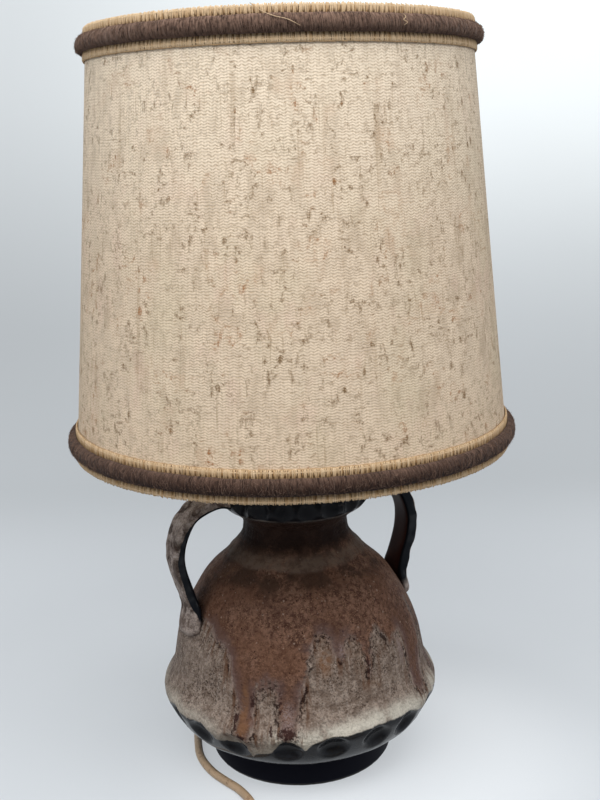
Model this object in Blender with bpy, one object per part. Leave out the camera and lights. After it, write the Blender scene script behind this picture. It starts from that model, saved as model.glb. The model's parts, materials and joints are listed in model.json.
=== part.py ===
"""Ceramic table lamp: a thumb-pressed stoneware body under a tapered drum shade.

Metres, +Z up. The origin is under the middle of the foot. The handles lie along X, and the lead
leaves the foot at the back, toward +Y. Every length is a named value, and shares are plain numbers.
"""
import math

import bmesh
import bpy
from mathutils import Matrix, Vector

# General
GAP = 0.0003
OVERRUN = 0.004
BODY_SEGMENTS = 60
CAVITY_SEGMENTS = 30
SHADE_SEGMENTS = 48
RIM_SEGMENTS = 32
ROUND_SEGMENTS = 24
SMALL_SEGMENTS = 14
PIN_SIDES = 7

# Felt pad under the foot
PAD_THICKNESS = 0.0016
PAD_INSET = 0.0015

# Stoneware body
BODY_HEIGHT = 0.1985
BELLY_RADIUS = 0.0970
FOOT_RADIUS = 0.0642
FOOT_HEIGHT = 0.0180
FOOT_WALL = 0.0092
FOOT_FLARE = 0.0006
FOOT_BEVEL = 0.0012
BODY_WALL = 0.0070
FLOOR_THICKNESS = 0.0060
MOUTH_RADIUS = 0.0432
# Height above the foot and radius, as shares of the body above the foot and of the belly
BODY_OUTLINE_SHARES = (
    (0.066, 0.874),
    (0.152, 0.980),
    (0.205, 1.000),
    (0.285, 0.925),
    (0.443, 0.859),
    (0.615, 0.693),
    (0.704, 0.530),
    (0.781, 0.406),
    (0.826, 0.375),
    (0.870, 0.388),
    (0.925, 0.514),
    (0.958, 0.536),
    (1.000, 0.501),
)
OUTLINE_STEPS = 2
CAVITY_HEIGHT_SHARES = (0.94, 0.90, 0.83, 0.72, 0.60, 0.46, 0.28, 0.20, 0.12)

# Thumb presses round the lower band and the rim
PRESS_COUNT = 20
PRESS_TURN = math.radians(5)
BAND_PRESS_DEPTH = 0.0036
BAND_PRESS_SHARES = (0.095, 0.212)
RIM_PRESS_DEPTH = 0.0026
RIM_PRESS_SHARES = (0.90, 1.00)

# Strap handles: radius and height of the middle of the strap, in the shares of the body's outline
HANDLE_PATH_SHARES = (
    (0.454, 0.945),
    (0.598, 0.967),
    (0.753, 0.941),
    (0.848, 0.889),
    (0.901, 0.803),
    (0.897, 0.723),
    (0.840, 0.615),
    (0.825, 0.557),
    (0.859, 0.474),
    (0.840, 0.418),
)
HANDLE_WIDTH = 0.0220
HANDLE_THICKNESS = 0.0085
HANDLE_STEPS = 2
HANDLE_SECTION_POINTS = 12
HANDLE_SQUARENESS = 2.8
HANDLE_END_SHARE = 0.70

# Lead
LEAD_DIAMETER = 0.0057
LEAD_CLEARANCE = 0.0004
LEAD_STEP_SHARE = 2.0
ROUTE_STEPS = 12
LEAD_BEND = 0.0090
LEAD_BEND_STEPS = 6
LEAD_HOLE_HEIGHT = 0.0080

# Bush in the foot wall
GROMMET_WALL = 0.0013
GROMMET_FLANGE = 0.0017
GROMMET_FLANGE_WIDTH = 0.0020
GROMMET_TAIL = 0.0006

# Hollow rod and its fixings
ROD_RADIUS = 0.0050
ROD_WALL = 0.0014
ROD_STUB = 0.0014
ROD_CLEARANCE = 0.0004
WASHER_RADIUS = 0.0120
WASHER_THICKNESS = 0.0020
NUT_HEIGHT = 0.0050
NUT_ACROSS_FLATS = 0.0140

# Cap over the mouth
GASKET_THICKNESS = 0.0010
GASKET_INSET = 0.0005
CAP_OVERHANG = 0.0004
CAP_SHEET = 0.0012
CAP_RISE = 0.0050
CAP_FLAT_RADIUS = 0.0140
CAP_SKIRT_DEPTH = 0.0060
CAP_SKIRT_CLEARANCE = 0.0005

# Spacer tube
SPACER_RADIUS = 0.0070
SPACER_LENGTH = 0.0100

# Lampholder
HOLDER_RADIUS = 0.0195
HOLDER_WALL = 0.0022
HOLDER_NECK_RADIUS = 0.0095
HOLDER_NECK_HEIGHT = 0.0070
HOLDER_DOME_HEIGHT = 0.0085
HOLDER_SKIRT = 0.0040
HOLDER_DOME_STEPS = 3
HOLDER_ROD_DEPTH = 0.0090
HOLDER_LEDGE = 0.0020
HOLDER_SHELL_HEIGHT = 0.0330
HOLDER_LIP_WALL = 0.0020
HOLDER_LIP_WIDTH = 0.0024
INSERT_HEIGHT = 0.0100
SLEEVE_RADIUS = 0.0141
SLEEVE_WALL = 0.0006
SLEEVE_HEIGHT = 0.0200
TERMINAL_LENGTH = 0.0034
TERMINAL_WIDTH = 0.0054
TERMINAL_HEIGHT = 0.0050
CONTACT_WIDTH = 0.0050
CONTACT_SHEET = 0.0006
CONTACT_REACH = 0.0080
CONTACT_RISE = 0.0030

# Shade rings on the lampholder
RING_RADIUS = 0.0285
RING_FLANGE = 0.0022
RING_COLLAR_WALL = 0.0030
RING_HEIGHT = 0.0052
RING_SEAT = 0.0085

# Bulb
BULB_CAP_RADIUS = 0.0132
BULB_CAP_SHEET = 0.0005
BULB_CAP_HEIGHT = 0.0235
BULB_CAP_TAPER = 0.0035
BULB_CONTACT_RADIUS = 0.0048
BULB_CONTACT_HEIGHT = 0.0011
BULB_HEIGHT = 0.1050
BULB_RADIUS = 0.0300
BULB_NECK_DEPTH = 0.0160
BULB_GLASS = 0.0008
BULB_FLARE_SHARES = ((0.50, 0.29), (0.62, 0.42))
BULB_ARC_START = math.radians(-36)
BULB_ARC_STEPS = 6
BULB_SEGMENTS = 20

# Shade
SHADE_HEIGHT = 0.2685
SHADE_BOTTOM_RADIUS = 0.1453
SHADE_TOP_RADIUS = 0.1213
FABRIC_THICKNESS = 0.0009
LINER_THICKNESS = 0.0006
LINER_INSET = 0.0008
FRAME_WIRE_RADIUS = 0.0015
FRAME_WIRE_SIDES = 5
FRAME_WIRE_INSET = 0.0030
FITTER_PLAY = 0.0008
FITTER_RADIUS = 0.0290
FITTER_SHEET = 0.0015
FITTER_RECESS = 0.0267
SPOKE_RADIUS = 0.0013
SPOKE_COUNT = 3
SPOKE_TURN = math.radians(90)
SPOKE_LEVEL_SHARE = 0.25
TRIM_WIDTH = 0.0202
TRIM_THICKNESS = 0.0012
TRIM_OVERHANG = 0.0010
ROLL_WIDTH = 0.0100
ROLL_BULGE = 0.0042
ROLL_STEPS = 5

# Inline switch
SWITCH_LENGTH = 0.0650
SWITCH_WIDTH = 0.0260
SWITCH_HEIGHT = 0.0190
SWITCH_BASE_HEIGHT = 0.0090
SWITCH_EDGE = 0.0030
SWITCH_END_WALL = 0.0050
SWITCH_FLOOR = 0.0020
SWITCH_TOP_WALL = 0.0025
SWITCH_SQUARENESS = 3.2
SWITCH_OUTLINE_POINTS = 20
ROCKER_REACH = 0.0105
ROCKER_WIDTH = 0.0110
ROCKER_CLEARANCE = 0.0005
ROCKER_PIVOT_DEPTH = 0.0050
ROCKER_PIN_RADIUS = 0.0009
ROCKER_PIN_SEAT = 0.0022
ROCKER_DIP_SHARE = 0.57
ROCKER_TILT = math.radians(8)
ROCKER_TOP_ANGLE = math.radians(40)
ROCKER_BOTTOM_ANGLE = math.radians(-15)
ROCKER_END_STEPS = 4
BLOCK_LENGTH = 0.0070
BLOCK_WIDTH = 0.0060
BLOCK_HEIGHT = 0.0085

# Plug
PLUG_LENGTH = 0.0350
PLUG_WIDTH = 0.0353
PLUG_THICKNESS = 0.0137
PLUG_RELIEF_LENGTH = 0.0200
PLUG_RELIEF_WALL = 0.0010
PLUG_SQUARENESS = 3.0
PLUG_OUTLINE_POINTS = 16
# Distance along the plug's body, width and thickness, as shares of its length, width and thickness
PLUG_SECTION_SHARES = ((0.00, 0.34, 0.72), (0.22, 0.66, 0.92), (0.50, 1.00, 1.00), (1.00, 0.92, 0.92))
PIN_RADIUS = 0.0020
PIN_LENGTH = 0.0190
PIN_SPACING = 0.0186
PIN_SEAT = 0.0060

# Places on the floor, in a frame turned about the lamp's axis
LEAD_FRAME_TURN = math.radians(-22.5)
SWITCH_PLACE = (0.0425, -0.1250)
COIL_PLACE = (-0.0620, -0.1600)
PLUG_PLACE = (0.0120, -0.1600)

# Wound spare length: turns go in on the lower layer and out on the upper one
COIL_MEAN_RADIUS = 0.0330
COIL_TURNS = 5.625
COIL_PITCH = 0.0063
COIL_RISE = 0.0063
COIL_CLIMB_TURNS = 0.5
COIL_START_ANGLE = math.radians(-90)
COIL_POINTS_PER_LOOP = 24
TIE_WIDTH = 0.0040
TIE_SHEET = 0.0008
TIE_CLEARANCE = 0.0005
TIE_ANGLE = math.radians(180)

# Routes of the free lead in the turned frame, chosen by hand: x, y and height
ROUTE_TO_SWITCH = (
    (-0.0410, 0.0870, 0.0052),
    (-0.0535, 0.0905, 0.0032),
    (-0.0660, 0.0868, 0.0029),
    (-0.0748, 0.0770, 0.0029),
    (-0.0778, 0.0640, 0.0029),
    (-0.0782, 0.0460, 0.0029),
    (-0.0780, 0.0280, 0.0029),
    (-0.0770, 0.0100, 0.0029),
    (-0.0755, -0.0070, 0.0029),
    (-0.0733, -0.0221, 0.0029),
    (-0.0691, -0.0345, 0.0029),
    (-0.0619, -0.0476, 0.0029),
    (-0.0529, -0.0587, 0.0029),
    (-0.0441, -0.0686, 0.0029),
    (-0.0372, -0.0800, 0.0029),
    (-0.0305, -0.0950, 0.0030),
    (-0.0205, -0.1100, 0.0045),
    (-0.0070, -0.1205, 0.0075),
)
ROUTE_TO_COIL = (
    (0.0890, -0.1270, 0.0075),
    (0.1040, -0.1390, 0.0042),
    (0.1105, -0.1600, 0.0029),
    (0.1040, -0.1820, 0.0029),
    (0.0880, -0.1960, 0.0029),
    (0.0660, -0.2012, 0.0029),
    (0.0200, -0.2018, 0.0032),
)
ROUTE_TO_PLUG = (
    (-0.0180, -0.1440, 0.0097),
    (-0.0040, -0.1545, 0.0083),
)

# Heights and radii that follow from the sizes above
LEAD_RADIUS = LEAD_DIAMETER / 2
FOOT_BOTTOM = PAD_THICKNESS + GAP
RECESS_RADIUS = FOOT_RADIUS - FOOT_WALL
ROD_BORE_RADIUS = ROD_RADIUS - ROD_WALL
ROD_HOLE_RADIUS = ROD_RADIUS + ROD_CLEARANCE
ROD_BOTTOM = LEAD_HOLE_HEIGHT + LEAD_BEND
NUT_BOTTOM = ROD_BOTTOM + ROD_STUB
WASHER_BOTTOM = NUT_BOTTOM + NUT_HEIGHT + GAP
FLOOR_BOTTOM = WASHER_BOTTOM + WASHER_THICKNESS + GAP
FLOOR_TOP = FLOOR_BOTTOM + FLOOR_THICKNESS
GASKET_BOTTOM = BODY_HEIGHT + GAP
CAP_BOTTOM = GASKET_BOTTOM + GASKET_THICKNESS + GAP
CAP_NUT_BOTTOM = CAP_BOTTOM + CAP_RISE + CAP_SHEET + GAP
SPACER_BOTTOM = CAP_NUT_BOTTOM + NUT_HEIGHT + GAP
HOLDER_BOTTOM = SPACER_BOTTOM + SPACER_LENGTH + GAP
ROD_TOP = HOLDER_BOTTOM + HOLDER_ROD_DEPTH
HOLDER_INNER_RADIUS = HOLDER_RADIUS - HOLDER_WALL
HOLDER_CAP_HEIGHT = HOLDER_NECK_HEIGHT + HOLDER_DOME_HEIGHT + HOLDER_SKIRT
INSERT_BOTTOM = HOLDER_BOTTOM + HOLDER_NECK_HEIGHT + HOLDER_DOME_HEIGHT + GAP
SHELL_BOTTOM = HOLDER_BOTTOM + HOLDER_CAP_HEIGHT + GAP
INSERT_TOP = INSERT_BOTTOM + INSERT_HEIGHT
SLEEVE_BOTTOM = INSERT_TOP + GAP
BULB_BOTTOM = SLEEVE_BOTTOM + CONTACT_RISE + CONTACT_SHEET + GAP
LOWER_RING_BOTTOM = SHELL_BOTTOM + RING_SEAT
FITTER_BOTTOM = LOWER_RING_BOTTOM + RING_HEIGHT + GAP
UPPER_RING_BOTTOM = FITTER_BOTTOM + FITTER_SHEET + GAP
SHADE_BOTTOM = FITTER_BOTTOM - FITTER_RECESS
SHADE_TOP = SHADE_BOTTOM + SHADE_HEIGHT
COIL_BOTTOM = TIE_SHEET + GAP
COIL_HEIGHT = COIL_BOTTOM + LEAD_RADIUS
COIL_HALF_SPREAD = COIL_PITCH * COIL_TURNS / 4
PLUG_HEIGHT = PLUG_THICKNESS / 2


def material(name, colour, roughness, metallic=0.0):
    """A Principled material with one flat colour."""
    made = bpy.data.materials.new(name)
    made.use_nodes = True
    shader = made.node_tree.nodes["Principled BSDF"]
    shader.inputs["Base Color"].default_value = (*colour, 1)
    shader.inputs["Roughness"].default_value = roughness
    shader.inputs["Metallic"].default_value = metallic
    made.diffuse_color = (*colour, 1)
    return made


def clear_scene():
    """Remove whatever the scene holds."""
    for old in list(bpy.data.objects):
        bpy.data.objects.remove(old, do_unlink=True)


def link(name, data, finish=None, parent=None):
    """An object of that mesh or curve in the scene."""
    made = bpy.data.objects.new(name, data)
    bpy.context.scene.collection.objects.link(made)
    made.parent = parent
    if finish is not None:
        data.materials.append(finish)
    return made


def as_object(name, shape, finish=None, parent=None, smooth=True):
    """Turn a bmesh into an object whose faces point out."""
    bmesh.ops.recalc_face_normals(shape, faces=shape.faces)
    mesh = bpy.data.meshes.new(name)
    shape.to_mesh(mesh)
    shape.free()
    if smooth:
        mesh.shade_smooth()
        mesh.set_sharp_from_angle(angle=math.radians(35))
    return link(name, mesh, finish, parent)


def turned(name, profile, segments, finish=None, parent=None, turn=0.0):
    """Turn a profile of radius and height round the Z axis.

    A profile that ends on the axis at both ends stays open, and any other is closed.
    """
    shape = bmesh.new()
    start = Matrix.Rotation(turn, 3, "Z")
    points = [shape.verts.new(start @ Vector((r, 0, z))) for r, z in profile]
    edges = [shape.edges.new(pair) for pair in zip(points, points[1:])]
    if profile[0][0] > 0:
        edges.append(shape.edges.new((points[-1], points[0])))
    bmesh.ops.spin(
        shape,
        geom=points + edges,
        cent=(0, 0, 0),
        axis=(0, 0, 1),
        angle=math.tau,
        steps=segments,
        use_merge=True,
    )
    bmesh.ops.remove_doubles(shape, verts=shape.verts, dist=GAP / 100)
    return as_object(name, shape, finish, parent)


def lofted(name, rings, finish=None, parent=None, smooth=True):
    """Join rings of equally many points, one after the other, and close both ends."""
    shape = bmesh.new()
    loops = [[shape.verts.new(point) for point in ring] for ring in rings]
    for low, high in zip(loops, loops[1:]):
        for i, corner in enumerate(low):
            following = (i + 1) % len(low)
            shape.faces.new((corner, low[following], high[following], high[i]))
    shape.faces.new(list(reversed(loops[0])))
    shape.faces.new(loops[-1])
    return as_object(name, shape, finish, parent, smooth)


def circle(radius, count, centre=(0, 0, 0), along="Z"):
    """Points round a circle that is square to the named axis."""
    turns = {"X": Matrix.Rotation(math.pi / 2, 3, "Y"), "Y": Matrix.Rotation(-math.pi / 2, 3, "X")}
    to_axis = turns.get(along, Matrix.Identity(3))
    angles = [math.tau * i / count for i in range(count)]
    flat = [Vector((radius * math.cos(a), radius * math.sin(a), 0)) for a in angles]
    return [to_axis @ point + Vector(centre) for point in flat]


def rod_between(name, start, end, radius, count, along, finish=None, parent=None):
    """A round bar between two points on a line along the named axis."""
    rings = [circle(radius, count, start, along), circle(radius, count, end, along)]
    return lofted(name, rings, finish, parent)


def block(name, low, high, finish=None, parent=None):
    """A box between two corners."""
    (x0, y0, z0), (x1, y1, z1) = low, high
    outline = ((x0, y0), (x1, y0), (x1, y1), (x0, y1))
    rings = [[Vector((x, y, z)) for x, y in outline] for z in (z0, z1)]
    return lofted(name, rings, finish, parent, smooth=False)


def oval(length, width, squareness, count):
    """Points round a superellipse, from a plain ellipse at 2 to a box."""
    points = []
    for i in range(count):
        angle = math.tau * (i + 0.5) / count
        c, s = math.cos(angle), math.sin(angle)
        x = math.copysign(abs(c) ** (2 / squareness), c) * length / 2
        y = math.copysign(abs(s) ** (2 / squareness), s) * width / 2
        points.append((x, y))
    return points


def cut(target, cutter):
    """Cut one object out of another, and keep the cutter as a guide."""
    cutter.hide_render = True
    cutter.display_type = "WIRE"
    boolean = target.modifiers.new("cut_" + cutter.name, "BOOLEAN")
    boolean.operation = "DIFFERENCE"
    boolean.solver = "EXACT"
    boolean.object = cutter


def smooth_curve(points, steps):
    """Points on a smooth curve through the given ones, that many to a span."""
    known = [Vector(point) for point in points]
    ends = [2 * known[0] - known[1]] + known + [2 * known[-1] - known[-2]]
    curve = []
    for before, start, end, after in zip(ends, ends[1:], ends[2:], ends[3:]):
        for i in range(steps):
            t = i / steps
            bend = start * 2 + (end - before) * t
            bend += (before * 2 - start * 5 + end * 4 - after) * t**2
            bend += (start * 3 - before - end * 3 + after) * t**3
            curve.append(bend / 2)
    return curve + [known[-1]]


def evenly_spaced(points, step):
    """Points a steady distance apart on a line of many short runs, with both its ends."""
    lengths = [0.0]
    for near, far in zip(points, points[1:]):
        lengths.append(lengths[-1] + (far - near).length)
    count = max(2, round(lengths[-1] / step))
    spaced = []
    run = 0
    for i in range(count + 1):
        distance = lengths[-1] * i / count
        while run < len(lengths) - 2 and lengths[run + 1] < distance:
            run += 1
        share = (distance - lengths[run]) / (lengths[run + 1] - lengths[run])
        spaced.append(points[run].lerp(points[run + 1], share))
    return spaced


def lead_run(knots):
    """Points along a free run of lead through the knots, with a straight stretch at each end."""
    curve = smooth_curve(knots, ROUTE_STEPS)
    between = evenly_spaced(curve[ROUTE_STEPS:-ROUTE_STEPS], LEAD_DIAMETER * LEAD_STEP_SHARE)
    return [Vector(knots[0])] + between + [Vector(knots[-1])]


def tube(name, points, radius, resolution, finish, parent=None):
    """A round tube along the points, with closed ends."""
    curve = bpy.data.curves.new(name, "CURVE")
    curve.dimensions = "3D"
    curve.bevel_depth = radius
    curve.bevel_resolution = resolution
    curve.use_fill_caps = True
    spline = curve.splines.new("POLY")
    spline.points.add(len(points) - 1)
    for knot, point in zip(spline.points, points):
        knot.co = (*point, 1)
    return link(name, curve, finish, parent)


def body_point(radius_share, height_share):
    """Radius and height of a place that follows the body's outline."""
    rise = BODY_HEIGHT - FOOT_HEIGHT
    return BELLY_RADIUS * radius_share, FOOT_HEIGHT + rise * height_share


def body_outline():
    """Radius and height of the body's outside, from the top of the foot to the rim."""
    start = (FOOT_RADIUS + FOOT_FLARE) / BELLY_RADIUS
    knots = [(start, 0, 0)] + [(radius, height, 0) for height, radius in BODY_OUTLINE_SHARES]
    shares = smooth_curve(knots, OUTLINE_STEPS)
    return [body_point(share.x, share.y) for share in shares]


def body_radius(height):
    """Radius of the body's outside at one height."""
    outline = body_outline()
    for (near_radius, near), (far_radius, far) in zip(outline, outline[1:]):
        if near <= height <= far:
            share = (height - near) / (far - near)
            return near_radius + (far_radius - near_radius) * share
    return outline[-1][0]


def press_depth(angle, height):
    """How far the thumb presses draw the surface in at one place."""
    rise = BODY_HEIGHT - FOOT_HEIGHT
    share = (height - FOOT_HEIGHT) / rise
    across = math.cos(PRESS_COUNT / 2 * (angle - PRESS_TURN)) ** 2
    depth = 0.0
    bands = ((BAND_PRESS_SHARES, BAND_PRESS_DEPTH), (RIM_PRESS_SHARES, RIM_PRESS_DEPTH))
    for (low, high), deepest in bands:
        if low < share < high:
            depth += deepest * math.sin(math.pi * (share - low) / (high - low)) ** 2
    return depth * across


def body_solid(name, margin=0.0, finish=None):
    """The body without its hollow, pressed in by thumbs, and grown by a margin."""
    profile = [(0, FOOT_BOTTOM), (FOOT_RADIUS - FOOT_BEVEL, FOOT_BOTTOM)]
    profile += [(FOOT_RADIUS, FOOT_BOTTOM + FOOT_BEVEL), (FOOT_RADIUS, FOOT_HEIGHT)]
    profile += body_outline() + [(0, BODY_HEIGHT)]
    solid = turned(name, profile, BODY_SEGMENTS, finish, turn=PRESS_TURN)
    for vertex in solid.data.vertices:
        radius = math.hypot(vertex.co.x, vertex.co.y)
        if radius > FOOT_RADIUS + GAP or vertex.co.z > BODY_HEIGHT / 2:
            depth = press_depth(math.atan2(vertex.co.y, vertex.co.x), vertex.co.z)
            drawn_in = 1 - depth / max(radius, FOOT_BEVEL)
            vertex.co.x *= drawn_in
            vertex.co.y *= drawn_in
    faces = bmesh.new()
    faces.from_mesh(solid.data)
    bmesh.ops.triangulate(faces, faces=faces.faces)
    faces.to_mesh(solid.data)
    faces.free()
    grown = [vertex.co + vertex.normal * margin for vertex in solid.data.vertices]
    for vertex, place in zip(solid.data.vertices, grown):
        vertex.co = place
    return solid


def body_cavity():
    """What the hollow, the rod's hole and the recess under the floor take out of the body."""
    profile = [(0, BODY_HEIGHT + OVERRUN), (MOUTH_RADIUS, BODY_HEIGHT + OVERRUN)]
    profile.append((MOUTH_RADIUS, body_point(1, CAVITY_HEIGHT_SHARES[0])[1]))
    for share in CAVITY_HEIGHT_SHARES[1:]:
        height = body_point(1, share)[1]
        if height > FLOOR_TOP + GAP:
            profile.append((body_radius(height) - BODY_WALL, height))
    profile.append((body_radius(FLOOR_TOP) - BODY_WALL, FLOOR_TOP))
    profile.append((ROD_HOLE_RADIUS, FLOOR_TOP))
    profile.append((ROD_HOLE_RADIUS, FLOOR_BOTTOM))
    profile.append((RECESS_RADIUS, FLOOR_BOTTOM))
    profile.append((RECESS_RADIUS, FOOT_BOTTOM - OVERRUN))
    profile.append((0, FOOT_BOTTOM - OVERRUN))
    return turned("cutter_cavity", profile, CAVITY_SEGMENTS)


def handle(name, side, body_cutter, finish):
    """A strap handle, cut to the body that it is luted to."""
    knots = []
    for radius_share, height_share in HANDLE_PATH_SHARES:
        radius, height = body_point(radius_share, height_share)
        knots.append((side * radius, 0, height))
    path = smooth_curve(knots, HANDLE_STEPS)
    rings = []
    for i, centre in enumerate(path):
        ahead = path[min(i + 1, len(path) - 1)] - path[max(i - 1, 0)]
        outward = ahead.normalized().cross(Vector((0, 1, 0)))
        size = HANDLE_END_SHARE if i == len(path) - 1 else 1
        section = oval(
            HANDLE_THICKNESS * size, HANDLE_WIDTH * size, HANDLE_SQUARENESS, HANDLE_SECTION_POINTS
        )
        rings.append([centre + outward * x + Vector((0, y, 0)) for x, y in section])
    strap = lofted(name, rings, finish)
    cut(strap, body_cutter)
    return strap


def make_body(stoneware, black_glaze):
    """The stoneware body and its two handles."""
    body = body_solid("vase_body", finish=stoneware)
    cut(body, body_cavity())
    hole_radius = LEAD_RADIUS + LEAD_CLEARANCE + GROMMET_WALL + GAP
    start = (0, RECESS_RADIUS - OVERRUN, LEAD_HOLE_HEIGHT)
    end = (0, FOOT_RADIUS + OVERRUN, LEAD_HOLE_HEIGHT)
    cut(body, rod_between("cutter_lead_hole", start, end, hole_radius, SMALL_SEGMENTS, "Y"))
    body_cutter = body_solid("cutter_body", GAP)
    handle("handle_left", -1, body_cutter, black_glaze)
    handle("handle_right", 1, body_cutter, black_glaze)


def ring_profile(inner, outer, low, high):
    """The profile of a plain ring."""
    return ((outer, high), (outer, low), (inner, low), (inner, high))


def hex_nut(name, bottom, finish):
    """A hexagon nut on the rod."""
    corner_radius = NUT_ACROSS_FLATS / 2 / math.cos(math.pi / 6)
    rings = [circle(corner_radius, 6, (0, 0, z)) for z in (bottom, bottom + NUT_HEIGHT)]
    nut = lofted(name, rings, finish, smooth=False)
    start = (0, 0, bottom - OVERRUN)
    end = (0, 0, bottom + NUT_HEIGHT + OVERRUN)
    cut(nut, rod_between("cutter_" + name, start, end, ROD_HOLE_RADIUS, SMALL_SEGMENTS, "Z"))


def make_foot_pieces(felt, rubber, steel):
    """The felt pad, the bush for the lead and the fixings under the floor."""
    pad_radius = FOOT_RADIUS - PAD_INSET
    pad = ((0, PAD_THICKNESS), (pad_radius, PAD_THICKNESS), (pad_radius, 0), (0, 0))
    turned("felt_pad", pad, RIM_SEGMENTS, felt)
    bore = LEAD_RADIUS + LEAD_CLEARANCE
    barrel = bore + GROMMET_WALL
    flange = barrel + GROMMET_FLANGE_WIDTH
    face = FOOT_RADIUS + GAP
    tail = RECESS_RADIUS - GROMMET_TAIL
    profile = (
        (bore, tail),
        (bore, face + GROMMET_FLANGE),
        (flange, face + GROMMET_FLANGE),
        (flange, face),
        (barrel, face),
        (barrel, tail),
    )
    bush = turned("cord_grommet", profile, SMALL_SEGMENTS, rubber)
    bush.rotation_euler.x = -math.pi / 2
    bush.location.z = LEAD_HOLE_HEIGHT
    washer = ring_profile(ROD_HOLE_RADIUS, WASHER_RADIUS, WASHER_BOTTOM, WASHER_BOTTOM + WASHER_THICKNESS)
    turned("rod_washer", washer, ROUND_SEGMENTS, steel)
    hex_nut("rod_nut", NUT_BOTTOM, steel)
    rod = ring_profile(ROD_BORE_RADIUS, ROD_RADIUS, ROD_BOTTOM, ROD_TOP)
    turned("threaded_rod", rod, SMALL_SEGMENTS, steel)


def make_neck_pieces(brass, cork, steel):
    """The cap over the mouth, its gasket and nut, and the spacer above it."""
    rim_radius = body_outline()[-1][0]
    inner, outer = MOUTH_RADIUS + GASKET_INSET, rim_radius - GASKET_INSET
    gasket = ring_profile(inner, outer, GASKET_BOTTOM, GASKET_BOTTOM + GASKET_THICKNESS)
    turned("cap_gasket", gasket, RIM_SEGMENTS, cork)
    edge = rim_radius + CAP_OVERHANG
    skirt = MOUTH_RADIUS * math.cos(math.pi / CAVITY_SEGMENTS) - CAP_SKIRT_CLEARANCE
    profile = (
        (edge, 0),
        (edge, CAP_SHEET),
        (skirt, CAP_SHEET),
        (CAP_FLAT_RADIUS, CAP_SHEET + CAP_RISE),
        (ROD_HOLE_RADIUS, CAP_SHEET + CAP_RISE),
        (ROD_HOLE_RADIUS, CAP_RISE),
        (CAP_FLAT_RADIUS, CAP_RISE),
        (skirt - CAP_SHEET, 0),
        (skirt - CAP_SHEET, -CAP_SKIRT_DEPTH),
        (skirt, -CAP_SKIRT_DEPTH),
        (skirt, 0),
    )
    cap = turned("neck_cap", profile, RIM_SEGMENTS, brass)
    cap.location.z = CAP_BOTTOM
    hex_nut("cap_nut", CAP_NUT_BOTTOM, steel)
    spacer = ring_profile(ROD_HOLE_RADIUS, SPACER_RADIUS, SPACER_BOTTOM, SPACER_BOTTOM + SPACER_LENGTH)
    turned("spacer_tube", spacer, SMALL_SEGMENTS, brass)


def dome(neck_radius, rim_radius, bottom, height):
    """A bowl's quarter curve, from its neck out and up to its rim."""
    points = []
    for i in range(HOLDER_DOME_STEPS + 1):
        angle = math.pi / 2 * i / HOLDER_DOME_STEPS
        radius = neck_radius + (rim_radius - neck_radius) * math.sin(angle)
        points.append((radius, bottom + height * (1 - math.cos(angle))))
    return points


def make_holder_cap(plastic):
    """The domed lower half of the lampholder, with the ledge that its insert sits on."""
    seat = HOLDER_NECK_HEIGHT + HOLDER_DOME_HEIGHT
    ledge_radius = HOLDER_INNER_RADIUS - HOLDER_LEDGE
    inside_bottom = HOLDER_NECK_HEIGHT + HOLDER_WALL
    profile = [(HOLDER_NECK_RADIUS, 0)]
    profile += dome(HOLDER_NECK_RADIUS, HOLDER_RADIUS, HOLDER_NECK_HEIGHT, HOLDER_DOME_HEIGHT)
    profile += [(HOLDER_RADIUS, HOLDER_CAP_HEIGHT), (HOLDER_INNER_RADIUS, HOLDER_CAP_HEIGHT)]
    profile += [(HOLDER_INNER_RADIUS, seat), (ledge_radius, seat)]
    profile += list(reversed(dome(ROD_HOLE_RADIUS, ledge_radius, inside_bottom, seat - inside_bottom)[:-1]))
    profile.append((ROD_HOLE_RADIUS, 0))
    cap = turned("holder_cap", profile, ROUND_SEGMENTS, plastic)
    cap.location.z = HOLDER_BOTTOM


def make_holder(plastic, porcelain, brass):
    """The lampholder: its two shells, insert, contacts and terminals."""
    make_holder_cap(plastic)
    lip_radius = HOLDER_INNER_RADIUS - HOLDER_LIP_WIDTH
    lip = HOLDER_SHELL_HEIGHT - HOLDER_LIP_WALL
    profile = (
        (HOLDER_RADIUS, 0),
        (HOLDER_RADIUS, HOLDER_SHELL_HEIGHT),
        (lip_radius, HOLDER_SHELL_HEIGHT),
        (lip_radius, lip),
        (HOLDER_INNER_RADIUS, lip),
        (HOLDER_INNER_RADIUS, 0),
    )
    shell = turned("holder_shell", profile, ROUND_SEGMENTS, plastic)
    shell.location.z = SHELL_BOTTOM
    radius = HOLDER_INNER_RADIUS - GAP
    disc = ((0, INSERT_TOP), (radius, INSERT_TOP), (radius, INSERT_BOTTOM), (0, INSERT_BOTTOM))
    insert = turned("holder_insert", disc, ROUND_SEGMENTS, porcelain)
    top = INSERT_BOTTOM + (INSERT_HEIGHT + TERMINAL_HEIGHT) / 2
    outer = radius * math.cos(math.pi / ROUND_SEGMENTS) - GAP
    for name, side in (("terminal_left", -1), ("terminal_right", 1)):
        near, far = outer - TERMINAL_LENGTH, outer
        half = TERMINAL_WIDTH / 2
        xs = sorted((side * near, side * far))
        block(name, (xs[0], -half, top - TERMINAL_HEIGHT), (xs[1], half, top), brass)
        xs = sorted((side * (near - GAP), side * (far + OVERRUN)))
        low = (xs[0], -half - GAP, top - TERMINAL_HEIGHT - GAP)
        cut(insert, block("cutter_" + name, low, (xs[1], half + GAP, top + GAP)))
    inner, sleeve_top = SLEEVE_RADIUS - SLEEVE_WALL, SLEEVE_BOTTOM + SLEEVE_HEIGHT
    sleeve = ring_profile(inner, SLEEVE_RADIUS, SLEEVE_BOTTOM, sleeve_top)
    turned("screw_sleeve", sleeve, ROUND_SEGMENTS, brass)
    make_centre_contact(brass)


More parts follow.
